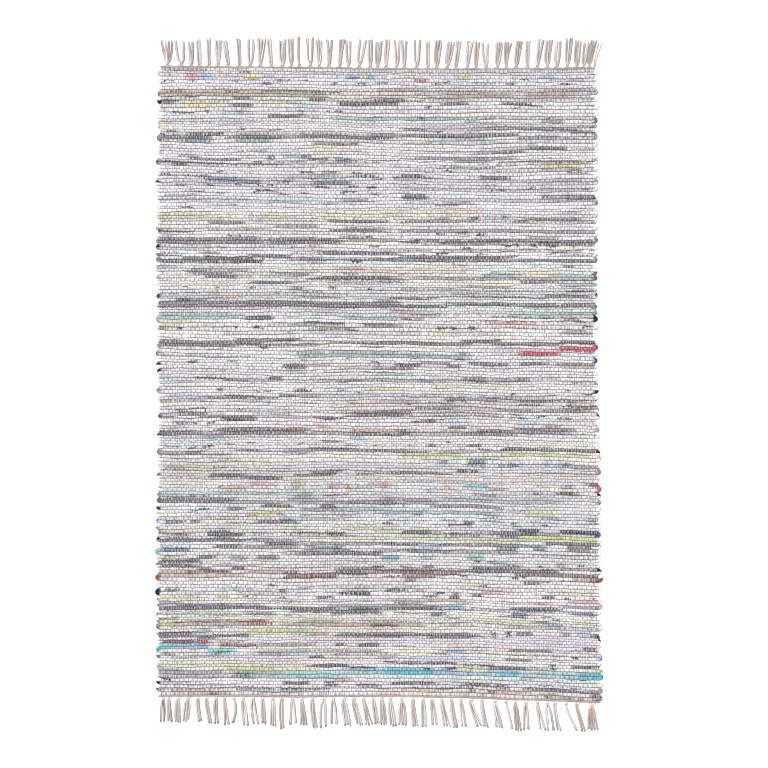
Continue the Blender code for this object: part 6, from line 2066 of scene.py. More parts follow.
    # The painted shade multiplies the colour here.
    tone = n.math("MULTIPLY", tone, n.math("MULTIPLY_ADD", beside, -0.42, 1.0))
    tone = n.math("MULTIPLY", tone, n.math("SUBTRACT", 1.0, crevice_shade))
    colour = n.mix(1.0, colour, n.join(tone, tone, tone), "MULTIPLY")
    n.put(n.shader.inputs["Base Color"], colour)

    height = n.math("MULTIPLY", crumple, 0.22)
    height = n.math("MULTIPLY_ADD", creases, 0.6, height)
    height = n.math("MULTIPLY_ADD", beside, -1.1, height)
    height = n.math("MULTIPLY_ADD", shown, 0.3, height)
    height = n.math("MULTIPLY_ADD", n.math("MULTIPLY", local, tilt), 1.2, height)
    n.put(n.shader.inputs["Normal"], n.bump(height, 0.0014, 0.9))
    n.shader.inputs["Roughness"].default_value = 0.88
    n.shader.inputs["Specular IOR Level"].default_value = 0.25
    n.shader.inputs["Sheen Weight"].default_value = 0.12
    n.shader.inputs["Sheen Roughness"].default_value = 0.5
    return n.material


def yarn_material(name, base, deep, ply=0.0042, twist=1.9):
    """Plied cotton yarn: slanting plies in relief and in painted shade between them, small fluff."""
    n = Nodes(name)
    along, across, seed = n.split(n.attribute("yarn"))
    turn = n.math(
        "SINE",
        n.math(
            "MULTIPLY_ADD",
            along,
            2 * math.pi / ply,
            n.math("MULTIPLY_ADD", across, twist, seed),
        ),
    )
    fluff = n.noise(
        n.join(n.math("MULTIPLY", along, 260.0), n.math("MULTIPLY", across, 1.2), seed),
        1.0,
        3.0,
        0.6,
    )
    worn = n.noise(n.join(n.math("MULTIPLY", along, 14.0), seed, 0.0), 1.0, 2.0, 0.5)
    share = n.math(
        "ADD",
        n.ramp(turn, -1.0, 1.0, 0.0, 0.40),
        n.ramp(fluff, 0.3, 0.7, -0.15, 0.35, False),
    )
    share = n.math("ADD", share, n.ramp(worn, 0.3, 0.7, -0.15, 0.35, False), clamp=True)
    # deep is a darker copy of the colour: painted shade between the plies, and worn and fluffy patches.
    colour = n.mix(share, (*base, 1.0), (*deep, 1.0))
    colour = n.mix(1.0, colour, n.attribute("tint", "Color"), "MULTIPLY")
    n.put(n.shader.inputs["Base Color"], colour)
    height = n.math("MULTIPLY_ADD", fluff, 0.5, n.math("MULTIPLY", turn, -0.5))
    n.put(n.shader.inputs["Normal"], n.bump(height, 0.0004, 0.55))
    n.shader.inputs["Roughness"].default_value = 0.92
    n.shader.inputs["Specular IOR Level"].default_value = 0.2
    n.shader.inputs["Sheen Weight"].default_value = 0.15
    n.shader.inputs["Sheen Roughness"].default_value = 0.5
    return n.material


RAG = rag_material()
WHITE = yarn_material("warp_white", srgb(250, 249, 252), srgb(208, 205, 209))
TAN = yarn_material("warp_tan", srgb(183, 174, 169), srgb(132, 124, 121))
FRINGE = yarn_material("fringe_yarn", srgb(242, 234, 230), srgb(208, 197, 192), 0.0032, 1.2)
CORD = yarn_material("heading_cord", srgb(186, 173, 170), srgb(124, 111, 108))


# -------------------------------------------------------------- the rags' colour
def choose(rows, rng):
    weights = np.array([row["weight"] for row in rows], float)
    return rows[rng.choice(len(rows), p=weights / weights.sum())]


def lint_and_reflection_of(seen):
    """How far the warp takes on a colour, as lint and painted reflected colour: more of a strong one than of a dark
    grey.
    """
    deep = min(max((0.44 - float(seen.mean())) / 0.16, 0.0), 1.0)
    return LINT_AND_REFLECTION * (1 - 0.36 * deep) + 0.22 * min(1.6 * float(seen.max() - seen.min()), 1.0)


def under_warp(seen):
    """The cloth's own colour that is seen so once the warp lies over it."""
    share = lint_and_reflection_of(seen)
    own = (seen - 0.30 * (1 - share + share * seen)) / 0.53
    return np.clip(np.maximum(own, 0.42 * seen), 0.012, 0.96)


def streak_parts(streak):
    """The rags that a streak takes up, each with the share of its width."""
    x = CHART_X + 5 * (streak["left"] + streak["right"])
    middle = pick_place(x, CHART_Y - 10 * streak["down"])
    rags = 10 * streak["tall"] / PICK
    lo, hi = middle - rags / 2, middle + rags / 2
    if rags > 0.74:  # whole rags, from the edge that fits best
        if abs(lo - round(lo)) <= abs(hi - round(hi)):
            lo, hi = round(lo), hi + round(lo) - lo
        else:
            lo, hi = lo + round(hi) - hi, round(hi)
    parts = []
    for i in range(math.floor(lo), math.ceil(hi)):
        a, b = max(lo - i, 0.0), min(hi - i, 1.0)
        if b - a > 0.78:
            a, b = 0.0, 1.0
        if b - a > 0.17 and 0 <= i < PICKS:
            parts.append((i, a, b))
    return parts


def weave_colours(X):
    """What each rag looks like at each station. One rag follows another along
    the path, which runs to and fro; the charted streaks are then laid in."""
    shape = (PICKS, SECTIONS)
    look = dict(
        face=np.zeros((*shape, 3)),
        back=np.zeros((*shape, 3)),
        ink=np.zeros((*shape, 3)),
        fold=np.zeros((*shape, 3)),
        print=np.zeros((*shape, 3)),
        stroke=np.tile([0.5, -0.5, 0.0], (*shape, 1)),
        loose=np.ones((*shape, 1)),
        lint_and_reflection=np.ones((*shape, 3)),
        shade=np.ones((*shape, 2)),
    )
    whites = [COLOURS[k] for k in ("white", "white", "ivory", "rose", "lilac", "rose")]
    # The face of a rag swells and fades along it. Neighbours are often turns of
    # one strip, so they tend to do so together; so does wear, which greys them.
    unit = SECTIONS / 92
    swell = np.array([drift(SECTIONS, 4.5 * unit, rng) for _ in range(PICKS)])
    worn = np.array([drift(SECTIONS, 7 * unit, rng) for _ in range(PICKS)])
    for i in range(1, PICKS):
        swell[i] = 0.60 * swell[i - 1] + 0.80 * swell[i]
        worn[i] = 0.70 * worn[i - 1] + 0.71 * worn[i]
    left_over, rag = 0, None
    for i in range(PICKS):
        at = 0
        stations = np.arange(SECTIONS) if i % 2 == 0 else np.arange(SECTIONS)[::-1]
        while at < SECTIONS:
            if left_over <= 0:
                kind, pattern = choose(RAGS, rng), choose(PRINTS, rng)
                left_over = int(SECTIONS * rng.uniform(0.4, 2.4))
                cloth = whites[rng.integers(len(whites))]
                through = kind["through"] * rng.uniform(0.6, 1.4)
                dark = COLOURS[kind["face"]].mean() < 0.3
                ink = COLOURS[pattern["ink"]]
                rag = dict(
                    face=COLOURS[kind["face"]] * rng.uniform(0.84, 1.06),
                    back=(cloth * (1 - through) + COLOURS[kind["face"]] * through) * rng.uniform(0.90, 1.04),
                    ink=COLOURS["silver"] if dark and rng.random() < 0.5 else ink,
                    share=kind["share"],
                    spread=kind["spread"] * rng.uniform(0.7, 1.3),
                    seed=rng.uniform(0, 400),
                    print=[pattern[k] * rng.uniform(0.5, 1.1) for k in ("specks", "lines", "bars")],
                )
            n = min(left_over, SECTIONS - at)
            here = stations[at : at + n]
            for key in ("face", "back", "ink", "print"):
                look[key][i, here] = rag[key]
            share = rag["share"] + rag["spread"] * swell[i, here]
            look["fold"][i, here, 0] = -2.0
            look["fold"][i, here, 1] = share
            look["fold"][i, here, 2] = rag["seed"]
            # The warp over it takes on some of its colour: lint, and painted reflected colour.
            cover = 0.7 * np.clip(share, 0, 1)[:, None]
            look["lint_and_reflection"][i, here] = 1 - 0.45 * cover * (1 - rag["face"])
            at += n
            left_over -= n
        shade = 1 + 0.045 * worn[i] + 0.03 * rng.standard_normal()
        for key in ("face", "back"):
            look[key][i] *= np.clip(shade, 0.82, 1.08)[:, None]

    def stroke(i, on, centre, half, strength, ink, warp_shade):
        """A thin dark line along a rag: print, or painted shade inside a fold. The warp
        that lies close over it gets painted shade as well."""
        there = np.clip(half / 0.12, 0, 1) * warp_shade
        for side, far in ((0, centre), (1, 1 - centre)):
            look["shade"][i, on, side] *= 1 - there * np.clip(1.12 - far / 0.66, 0, 1)
        if i % 2:
            centre = 1 - centre
        for spare in (on[0] - 1, on[-1] + 1):  # it thins out towards these
            if 0 <= spare < SECTIONS and look["stroke"][i, spare, 1] < 0:
                look["stroke"][i, spare] = centre[0] if spare < on[0] else centre[-1], -0.6 * half[0], strength
                look["ink"][i, spare] = ink
                look["print"][i, spare] = 0
        look["stroke"][i, on] = np.stack([centre, half, np.full(len(on), strength)], axis=1)
        look["ink"][i, on] = ink
        look["print"][i, on] = 0

    for wash in WASHES:
        down = (CHART_Y - np.array([[float(lie(0.0, middles[i]))] for i in range(PICKS)])) / 10
        across = (X - CHART_X) / 10
        part = np.clip(1.2 - np.abs(down - wash["down"]) / (wash["tall"] / 2), 0, 1)
        part = part * np.clip((across - wash["left"]) / 12 + 0.5, 0, 1)
        part = part * np.clip((wash["right"] - across) / 12 + 0.5, 0, 1)
        whole = np.array([wash["red"], 1.0, wash["blue"]]) * wash["light"]
        for key in ("face", "back", "lint_and_reflection"):
            look[key] *= 1 + part[:, :, None] * (whole ** (1.9 if key != "lint_and_reflection" else 1.0) - 1)

    laid = [[[] for _ in range(SECTIONS)] for _ in range(PICKS)]
    for streak in STREAKS:
        x0, x1 = CHART_X + 10 * streak["left"], CHART_X + 10 * streak["right"]
        seen = SEEN[streak["rag"]] * (1 + 0.05 * rng.standard_normal())
        own = under_warp(seen)
        splash = streak["rag"] == "black" or (streak["rag"] == "blackish" and x1 - x0 < 70)
        dark_one, thin = seen.mean() < 0.36, streak["tall"] < 0.66
        for i, a, b in streak_parts(streak):
            x = X[i]
            lo, hi = x0 + rng.normal(0, 2.5), x1 + rng.normal(0, 2.5)
            mask = np.clip((x - lo) / 14 + 0.5, 0, 1) * np.clip((hi - x) / 14 + 0.5, 0, 1)
            if mask.max() < 0.5:  # a bit shorter than the stations' spacing
                mask[np.abs(x - (x0 + x1) / 2).argmin()] = 1.0
            on = np.where(mask > 0.4)[0]
            # It comes out of the fold little by little, and goes back into it.
            ease = np.clip(0.24 * (x1 - x0), 12, 95)
            come, go = ease * rng.uniform(0.3, 1.5, 2)
            grown = np.clip((x - lo) / come + 0.30, 0, 1) * np.clip((hi - x) / go + 0.30, 0, 1)
            if x0 < CHART_X + 12:
                grown = np.clip((hi - x) / go + 0.30, 0, 1)
            elif x1 > CHART_X + 1590:
                grown = np.clip((x - lo) / come + 0.30, 0, 1)
            grown = np.maximum(grown, 0.34) ** 0.8
            hold = rng.choice([0.0, 1.0, 0.5])  # the edge that it keeps to
            n_on = np.arange(len(on))
            if splash or (thin and dark_one):  # dark print rather than a dark rag
                slant = rng.normal(0, 0.30) * (n_on - n_on.mean()) / max(len(on) - 1, 1)
                at = (a + b) / 2 if b - a < 0.7 else a + (b - a) * rng.choice([0.24, 0.76])
                centre = np.clip(at + slant, 0.12, 0.88)
                half = np.full(len(on), min(max(0.42 * (b - a), 0.17), 0.33)) * rng.uniform(0.85, 1.3, len(on))
                if not splash:
                    half *= 0.75
                if len(on) > 3:
                    half = np.where(rng.random(len(on)) < 0.18, -0.10, half)
                ink = SEEN["black"] * (0.4 if splash else 1.6)
                stroke(i, on, centre, half, 0.97 if splash else 0.90, ink, 0.70 if splash else 0.40)
                continue
            if dark_one and rng.random() < 0.8:  # and painted shade darkens its folds still more
                place = rng.choice([0.08, 0.92, 0.50, 0.30])
                centre = np.clip(a + (b - a) * place + 0.10 * swell[i, on], 0.04, 0.96)
                half = np.full(len(on), rng.uniform(0.12, 0.20)) * rng.uniform(0.6, 1.4, len(on))
                half = np.where(swell[i - 3, on] < -0.75, -0.08, half)
                stroke(i, on, centre, half, rng.uniform(0.75, 0.97), SEEN["black"] * 1.2, 0.30)
            if a > 0.02:
                hold = 1.0
            elif b < 0.98:
                hold = 0.0
            for j in on:
                size = (b - a) * grown[j] * (1 + (0.20 if b - a < 0.9 else 0.0) * swell[i, j])
                size = min(max(size, 0.12), 1.0)
                low = a + hold * (b - a - size)
                laid[i][j].append((low, low + size, own, seen))

    for i in range(PICKS):
        for j in range(SECTIONS):
            here = sorted(laid[i][j], key=lambda part: part[1] - part[0])
            if not here:
                continue
            a, b, own, seen = here[0]
            wear = 1 + 0.05 * worn[i, j]
            share = min(max(look["fold"][i, j, 1], 0.0), 1.0)
            back = look["back"][i, j] * (1 - 0.6 * share) + look["face"][i, j] * 0.6 * share
            room = max(1 - (b - a), 0.0)
            cover, tone = min(b - a, 1.0), seen * min(b - a, 1.0)
            for c, d, other, other_seen in here[:0:-1]:
                outside = (d - c) - max(min(b, d) - max(a, c), 0.0)
                part = min(outside / room, 1.0) if room > 0.05 else 0.0
                back = back * (1 - part) + other * part
                tone = tone + other_seen * part * room * (1 - cover)
                cover = min(cover + part * room, 1.0)
            deep = min(max((0.42 - seen.mean()) / 0.20, 0.0), 1.0)
            own = own * (1 + 0.26 * deep)
            look["face"][i, j] = own * wear
            look["back"][i, j] = back * wear
            if a < 0.03:
                a = -2.0
            if b > 0.97:
                b = 1.10 + 0.16 * swell[i, j] if a < 0 else 3.0
            if i % 2:
                a, b = 1 - b, 1 - a
                if a < -0.02 and b > 1.5:
                    a, b = a, b
            look["fold"][i, j, :2] = a, b
            look["loose"][i, j] = 0.42
            if look["print"][i, j, 0] < 1.2:
                look["print"][i, j] *= 0.45
                if deep > 0.2 and look["stroke"][i, j, 1] < 0:  # dark stuff is printed in black
                    look["ink"][i, j] = 0.30 * look["ink"][i, j] + 0.70 * SEEN["black"]
                    look["print"][i, j] = max(look["print"][i, j, 0], 0.80 * deep), 0.0, 0.0
            # The warp over a charted streak takes on its colour: lint, and painted reflected colour that darkens it
            # over dark stuff.
            mean = tone / max(cover, 0.01)
            look["lint_and_reflection"][i, j] = np.minimum(look["lint_and_reflection"][i, j], 1 - lint_and_reflection_of(mean) * cover * (1 - np.clip(mean, 0, 1)))
    return look


# ------------------------------------------------------------------- rag wefts
def build_rags():
    t = np.linspace(0, 1, SECTIONS)
    y_mid = np.array([float(lie(0.0, middles[i])) for i in range(PICKS)])
    x_left = side("left", y_mid) + TURN_IN
    x_right = side("right", y_mid) - TURN_IN
    X = x_left[:, None] + (x_right - x_left)[:, None] * t[None, :]
    look = weave_colours(X)
    low = np.array([between(i, X[i]) for i in range(PICKS)])
    high = np.array([between(i + 1, X[i]) for i in range(PICKS)])
    half_w, half_h, lift = [], [], []
    for i in range(PICKS):
        full = (high[i] - low[i]) / 2  # half the room this rag has
        slack = 0.004 + 0.034 * np.abs(drift(SECTIONS, 4, rng)) + 0.014 * np.abs(drift(SECTIONS, 1.7, rng))
        half_w.append(full * (1 - slack))
        half_h.append(RAG_THICK * (1 + 0.10 * drift(SECTIONS, 5, rng) + 0.06 * drift(SECTIONS, 2, rng)))
        lift.append(RAG_LIFT + 0.12 * drift(SECTIONS, 8, rng))
    half_w, half_h = np.array(half_w), np.clip(np.array(half_h), 1.7, 2.75)
    lift = np.clip(np.array(lift), 2.95, 3.5)
    Y = (low + high) / 2

    # Each turn's colour, of the rag that comes and the rag that goes on.
    turns = {"left": {}, "right": {}}
    for turn in TURNS:
        x = -790.0 if turn["side"] == "left" else 790.0
        place = pick_place(x, CHART_Y - 10 * turn["down"])
        rags = max(1, round(10 * turn["tall"] / PICK))
        # On the right, even rags turn into odd ones; on the left, odd into even.
        odd = 0 if turn["side"] == "right" else 1
        first = round(place - rags / 2)
        if rags % 2 == 0 and (first - odd) % 2:  # whole loops
            first += 1 if place - rags / 2 > first else -1
        for i in range(first, first + rags):
            if 0 <= i < PICKS:
                low_one = i - (i - odd) % 2
                turns[turn["side"]].setdefault(low_one, [None, None])[i - low_one] = turn["rag"]

    # The path: along each rag, round a turn, and back along the next.
    keys = ("face", "back", "ink", "fold", "print", "stroke", "loose")
    path, size, owner, inside = [], [], [], []
    looks = {key: [] for key in keys}
    for i in range(PICKS):
        order = range(SECTIONS) if i % 2 == 0 else range(SECTIONS - 1, -1, -1)
        for j in order:
            path.append((X[i, j], Y[i, j], lift[i, j]))
            size.append((half_w[i, j], half_h[i, j]))
            owner.append(i)
            inside.append(0.0 if j in (0, SECTIONS - 1) else 1.0)
            for key in keys:
                looks[key].append(look[key][i, j])
        if i == PICKS - 1:
            continue
        out = 1 if i % 2 == 0 else -1
        j = SECTIONS - 1 if out > 0 else 0
        a = np.array([X[i, j], Y[i, j]])
        b = np.array([X[i + 1, j], Y[i + 1, j]])
        middle, radius = (a + b) / 2, (b[1] - a[1]) / 2
        named = turns["right" if out > 0 else "left"].get(i, [None, None])
        shown = sum(one is not None for one in named)
        reach = min(abs(rng.normal(0.3, 1.7)) + 0.3 * shown, 4.2)
        if out < 0 and middle[1] > 1108:  # the first rags stand out at this corner
            reach = 4.8
        skew, rise = rng.normal(0, 0.9), 0.25 * rng.standard_normal()
        speckled = np.array([rng.uniform(0.6, 2.1), 0.0, 0.0])
        plain = 0.5 * (look["back"][i, j] + COLOURS["white"])
        for k in range(1, TURN_STEPS + 1):
            angle = math.pi * (k / (TURN_STEPS + 1) - 0.5)
            c = math.cos(angle)
            path.append(
                (
                    middle[0] + out * (reach * c**0.4 + radius * c**0.75),
                    middle[1] + radius * math.sin(angle) + skew * c,
                    RAG_LIFT + rise * c,
                )
            )
            size.append((half_w[i, j] * (1 - 0.10 * c), half_h[i, j] * 1.03))
            owner.append(i)
            inside.append(0.0)
            after = k > TURN_STEPS // 2
            for key in keys:
                looks[key].append(look[key][i + after, j].copy())
            name = named[after] or (named[1 - after] if k == TURN_STEPS // 2 + 1 else None)
            if name:
                looks["face"][-1] = 0.86 * SEEN[name] * (1 + 0.10 * rng.standard_normal())
                looks["fold"][-1][:2] = -2.0, 1.0
                looks["loose"][-1][:] = 0.5
                looks["print"][-1] = speckled
                looks["ink"][-1] = SEEN["black"]
            else:  # plain stuff, folded over
                looks["face"][-1] = plain
                looks["back"][-1] = plain
                looks["print"][-1] = looks["print"][-1] * 0.3
            looks["stroke"][-1] = np.array([0.5, -0.5, 0.0])
        for after, (row, station) in enumerate(((i, len(looks["face"]) - TURN_STEPS - 1), (i + 1, None))):
            if not named[after]:
                continue
            if station is not None:  # the same stuff runs on a little under the warp
                looks["face"][station] = SEEN[named[after]]
                looks["fold"][station] = np.array([-2.0, 0.95, looks["fold"][station][2]])
            else:
                look["face"][row, j] = SEEN[named[after]]
                look["fold"][row, j, :2] = -2.0, 0.95
    path, size = np.array(path), np.array(size)
    owner, inside = np.array(owner), np.array(inside)
    looks = {key: np.array(value) for key, value in looks.items()}
    # Turns stay inside the room that the solid body leaves.
    step = np.diff(path[:, :2], axis=0)
    travelled = np.concatenate([[0], np.cumsum(np.hypot(*step.T))]) * MM
    tangent = np.zeros((len(path), 2))
    tangent[1:-1] = path[2:, :2] - path[:-2, :2]
    tangent[0], tangent[-1] = step[0], step[-1]
    tangent /= np.linalg.norm(tangent, axis=1)[:, None]
    across = np.stack([-tangent[:, 1], tangent[:, 0]], axis=1)

    ring = np.array(
        [
            (-1.0, 0.10),
            (-0.70, 0.94),
            (0.70, 0.94),
            (1.0, 0.10),
            (0.60, -0.95),
            (-0.60, -0.95),
        ]
    )
    rim = np.array([-1.0, -0.68, 0.68, 1.0, 0.55, -0.55])
    sides = len(ring)
    verts = np.zeros((len(path), sides, 3))
    verts[:, :, :2] = path[:, None, :2] + (
        across[:, None, :] * (size[:, 0, None] * ring[None, :, 0])[:, :, None]
    )
    verts[:, :, 2] = np.maximum(path[:, None, 2] + size[:, 1, None] * ring[None, :, 1], 0.1)

    left, right = side("left", path[:, 1]) + SET_IN, side("right", path[:, 1]) - SET_IN
    index = (path[:, 0] - left) / (right - left) * ENDS - 0.5
    index = index + owner  # even where the warp lies on top of this rag

    made = []
    for band in range(RAG_PIECES):
        first, last = PICKS * band // RAG_PIECES, PICKS * (band + 1) // RAG_PIECES
        mine = np.where((owner >= first) & (owner < last))[0]
        lo, hi = mine[0], min(mine[-1] + 2, len(path))
        count = hi - lo
        v = verts[lo:hi].reshape(-1, 3)
        base = np.arange(count - 1)[:, None] * sides
        k = np.arange(sides)[None, :]
        a, b = base + k, base + (k + 1) % sides
        quads = np.stack([a, b, b + sides, a + sides], axis=-1).reshape(-1, 4)
        quads = quads[:, ::-1]
        caps = []
        for row, flip in ((0, False), (count - 1, True)):
            ids = [row * sides + m for m in range(sides)]
            for q in ((0, 1, 2, 5), (2, 3, 4, 5)):
                face_ids = [ids[m] for m in q]
                caps.append(face_ids if not flip else face_ids[::-1])
        obj = new_object(f"rag_weft_{band + 1}", v, np.concatenate([quads, caps]), [RAG])
        rep = lambda values: np.repeat(values[lo:hi], sides, axis=0)
        weft = np.zeros((count * sides, 3))
        weft[:, 0] = rep(travelled)
        weft[:, 1] = np.tile(rim, count)
        weft[:, 2] = rep(index)
        vector_layer(obj, "weft", weft)
        colour_layer(obj, "face", np.concatenate([rep(looks["face"]), rep(inside)[:, None]], axis=1))
        colour_layer(obj, "back", np.concatenate([rep(looks["back"]), rep(owner)[:, None]], axis=1))
        colour_layer(obj, "ink", np.concatenate([rep(looks["ink"]), rep(looks["loose"])], axis=1))
        vector_layer(obj, "fold", rep(looks["fold"]))
        vector_layer(obj, "print", rep(looks["print"]))
        vector_layer(obj, "stroke", rep(looks["stroke"]))
        # Each pick is one strip of the flat map, its turn at the strip's end.
        own = np.minimum(owner[lo:hi], last - 1)
        start = {p: np.where(own == p)[0][0] for p in range(first, last)}
        length = {p: (own == p).sum() for p in range(first, last)}
        seg = np.arange(count - 1)
        p = own[seg]
        s0 = np.array([start[q] for q in p])
        ln = np.array([length[q] for q in p])
        u0, u1 = (seg - s0) / ln, (seg + 1 - s0) / ln
        girth = np.array([0, 0.10, 0.39, 0.49, 0.62, 0.87, 1.0])
        strip = 1.0 / (last - first)
        v_base = (p - first) * strip
        uv = np.zeros((count - 1, sides, 4, 2))
        for m in range(sides):
            va = v_base + strip * (0.04 + 0.92 * girth[m])
            vb = v_base + strip * (0.04 + 0.92 * girth[m + 1])
            uv[:, m, 0] = np.stack([u0, va], axis=1)
            uv[:, m, 1] = np.stack([u0, vb], axis=1)
            uv[:, m, 2] = np.stack([u1, vb], axis=1)
            uv[:, m, 3] = np.stack([u1, va], axis=1)
        uv = uv[:, :, ::-1].reshape(-1, 2)
        cap_uv = np.tile([[0.9995, 0.0001], [0.9999, 0.0001], [0.9999, 0.0003], [0.9995, 0.0003]], (4, 1))
        uv_layer(obj, np.concatenate([uv, cap_uv]))
        made.append(obj)
    return made, dict(X=X, half_h=half_h, lift=lift, lint_and_reflection=look["lint_and_reflection"], shade=look["shade"])


# ------------------------------------------------------------------------ warp
def build_warp(rags):
    """Every end runs over one rag and under the next, each a flattened yarn."""
    made = []
    top_z = rags["lift"] + rags["half_h"]
    lean = 0.72  # a yarn is round, so its edges' normals lean outwards
    flat = math.sqrt(1 - lean**2)
    for name, first, material in (
        ("warp_tan", 0, TAN),
        ("warp_white_a", 1, WHITE),
        ("warp_white_b", 2, WHITE),
    ):
        ids = np.arange(first, ENDS, 3)
        n = len(ids)
        own_shift = rng.normal(0, 0.42, n)
        sway = np.array([0.40 * drift(PICKS, 4, rng) + rng.normal(0, 0.36, PICKS) for _ in ids])
        sway = np.clip(sway + own_shift[:, None], -1.35, 1.35)
        yarn_half = (YARN_TAN if material is TAN else YARN_WHITE) / 2
        wide = np.array([yarn_half * (1 + rng.normal(0, 0.10) + rng.normal(0, 0.11, PICKS)) for _ in ids])
        wide = np.clip(wide, 0.68, 1.5)
        y_mid = np.array([lie(warp_x(ids, float(lie(0.0, middles[i]))), middles[i]) for i in range(PICKS)])
        x_mid = np.array([warp_x(ids, y_mid[i]) for i in range(PICKS)])
        tops = np.array([np.interp(x_mid[i], rags["X"][i], top_z[i]) for i in range(PICKS)])
        y_edge = np.array([between(i, x_mid[min(i, PICKS - 1)]) for i in range(PICKS + 1)])
        tone = np.clip(1 + rng.normal(0, 0.035, n), 0.88, 1.07)
        # The rag below tints the yarn: lint, and painted reflected colour, which darkens it over dark rags; there the
        # yarn also sinks in and is drawn narrower.
        lint_and_reflection = np.array(
            [
                np.stack([np.interp(x_mid[i], rags["X"][i], rags["lint_and_reflection"][i, :, c]) for c in range(3)], axis=1)
                for i in range(PICKS)
            ]
        )
        wide = wide * (1 - 0.25 * (1 - lint_and_reflection.mean(axis=2).T))
        # Painted shade on the warp where it lies close over a dark stroke.
        shade = [
            [np.interp(x_mid[i], rags["X"][i], rags["shade"][i, :, side]) for side in (0, 1)]
            for i in range(PICKS)
        ]
        for half in range(WARP_PIECES):
            start, stop = PICKS * half // WARP_PIECES, PICKS * (half + 1) // WARP_PIECES
            kinds, pick_of, xs, ys, zs, ws, ls = [], [], [], [], [], [], []
            for i in range(start, stop + 1):
                near = [c for c in (i - 1, i) if 0 <= c < PICKS]
                kinds.append(0)
                pick_of.append(i)
                xs.append(np.mean([x_mid[c] + sway[:, c] for c in near], axis=0))
                ys.append(y_edge[i])
                zs.append(np.full(n, 0.75))
                ws.append(np.mean([wide[:, c] for c in near], axis=0) * 0.92)
                ls.append(np.mean([lint_and_reflection[c] * shade[c][i > c][:, None] for c in near], axis=0))
                if i == stop:
                    break
                span = y_edge[i + 1] - y_edge[i]
                tilt = rng.normal(0, 0.30, n)
                for upper, (at, sign) in enumerate(((0.12, -1), (0.88, 1))):
                    kinds.append(1)
                    pick_of.append(i)
                    xs.append(x_mid[i] + sway[:, i] + sign * tilt)
                    ys.append(y_edge[i] + span * at)
                    zs.append(np.minimum(tops[i] + 0.16 + rng.normal(0, 0.07, n), 6.95))
                    ws.append(wide[:, i])
                    ls.append(lint_and_reflection[i] * shade[i][upper][:, None])
            kinds, pick_of = np.array(kinds), np.array(pick_of)
            xs, ys, zs, ws, ls = np.array(xs), np.array(ys), np.array(zs), np.array(ws), np.array(ls)
            all_v, all_f, all_yarn, all_nrm, all_tint, base = [], [], [], [], [], 0
            for e, end_id in enumerate(ids):
                keep = (kinds == 0) | ((end_id + pick_of) % 2 == 0)
                x, y, z, w = xs[keep, e], ys[keep, e], zs[keep, e], ws[keep, e]
                m = len(x)
                v = np.zeros((m, 2, 3))
                v[:, 0, 0], v[:, 1, 0] = x - w, x + w
                v[:, :, 1], v[:, :, 2] = y[:, None], z[:, None]
                ids0 = base + np.arange(m - 1) * 2
                f = np.stack([ids0, ids0 + 1, ids0 + 3, ids0 + 2], axis=1)
                dy, dz = np.gradient(y), np.gradient(z)
                ny = -0.45 * dz / np.hypot(dy, dz)
                nz = np.sqrt(1 - ny**2)
                nrm = np.zeros((m, 2, 3))
                nrm[:, 0, 0], nrm[:, 1, 0] = -lean, lean
                nrm[:, :, 1] = (ny * flat)[:, None]
                nrm[:, :, 2] = (nz * flat)[:, None]
                yarn = np.zeros((m, 2, 3))
                run = np.concatenate([[0], np.cumsum(np.hypot(np.diff(y), np.diff(z)))]) * MM
                yarn[:, :, 0] = run[:, None]
                yarn[:, 0, 1], yarn[:, 1, 1] = -1, 1
                yarn[:, :, 2] = rng.uniform(0, 300)
                tint = np.ones((m, 2, 3)) * tone[e]
                tint *= (1 + rng.normal(0, 0.06, m))[:, None, None]
                tint *= ls[keep, e][:, None, :]
                all_v.append(v.reshape(-1, 3))
                all_f.append(f)
                all_yarn.append(yarn.reshape(-1, 3))
                all_nrm.append(nrm.reshape(-1, 3))
                all_tint.append(tint.reshape(-1, 3))
                base += 2 * m
            v, f = np.concatenate(all_v), np.concatenate(all_f)
            obj = new_object(f"{name}_{half + 1}", v, f, [material])
            vector_layer(obj, "yarn", np.concatenate(all_yarn))
            colour_layer(obj, "tint", np.clip(np.concatenate(all_tint), 0.05, 1.1))
            # The flat map: every end is one thin column.
            col = np.concatenate([np.full(len(c), q) for q, c in enumerate(all_f)])
            yy = v[:, 1]
            lo, hi = yy.min(), yy.max()
            u_left, u_right = (col + 0.15) / n, (col + 0.85) / n
            va, vb = (yy[f[:, 0]] - lo) / (hi - lo), (yy[f[:, 3]] - lo) / (hi - lo)
            uv = np.zeros((len(f), 4, 2))
            uv[:, 0] = np.stack([u_left, va], 1)
            uv[:, 1] = np.stack([u_right, va], 1)
            uv[:, 2] = np.stack([u_right, vb], 1)
            uv[:, 3] = np.stack([u_left, vb], 1)
            uv_layer(obj, uv.reshape(-1, 2))
            obj.data.normals_split_custom_set_from_vertices(np.concatenate(all_nrm).tolist())
            made.append(obj)
    return made


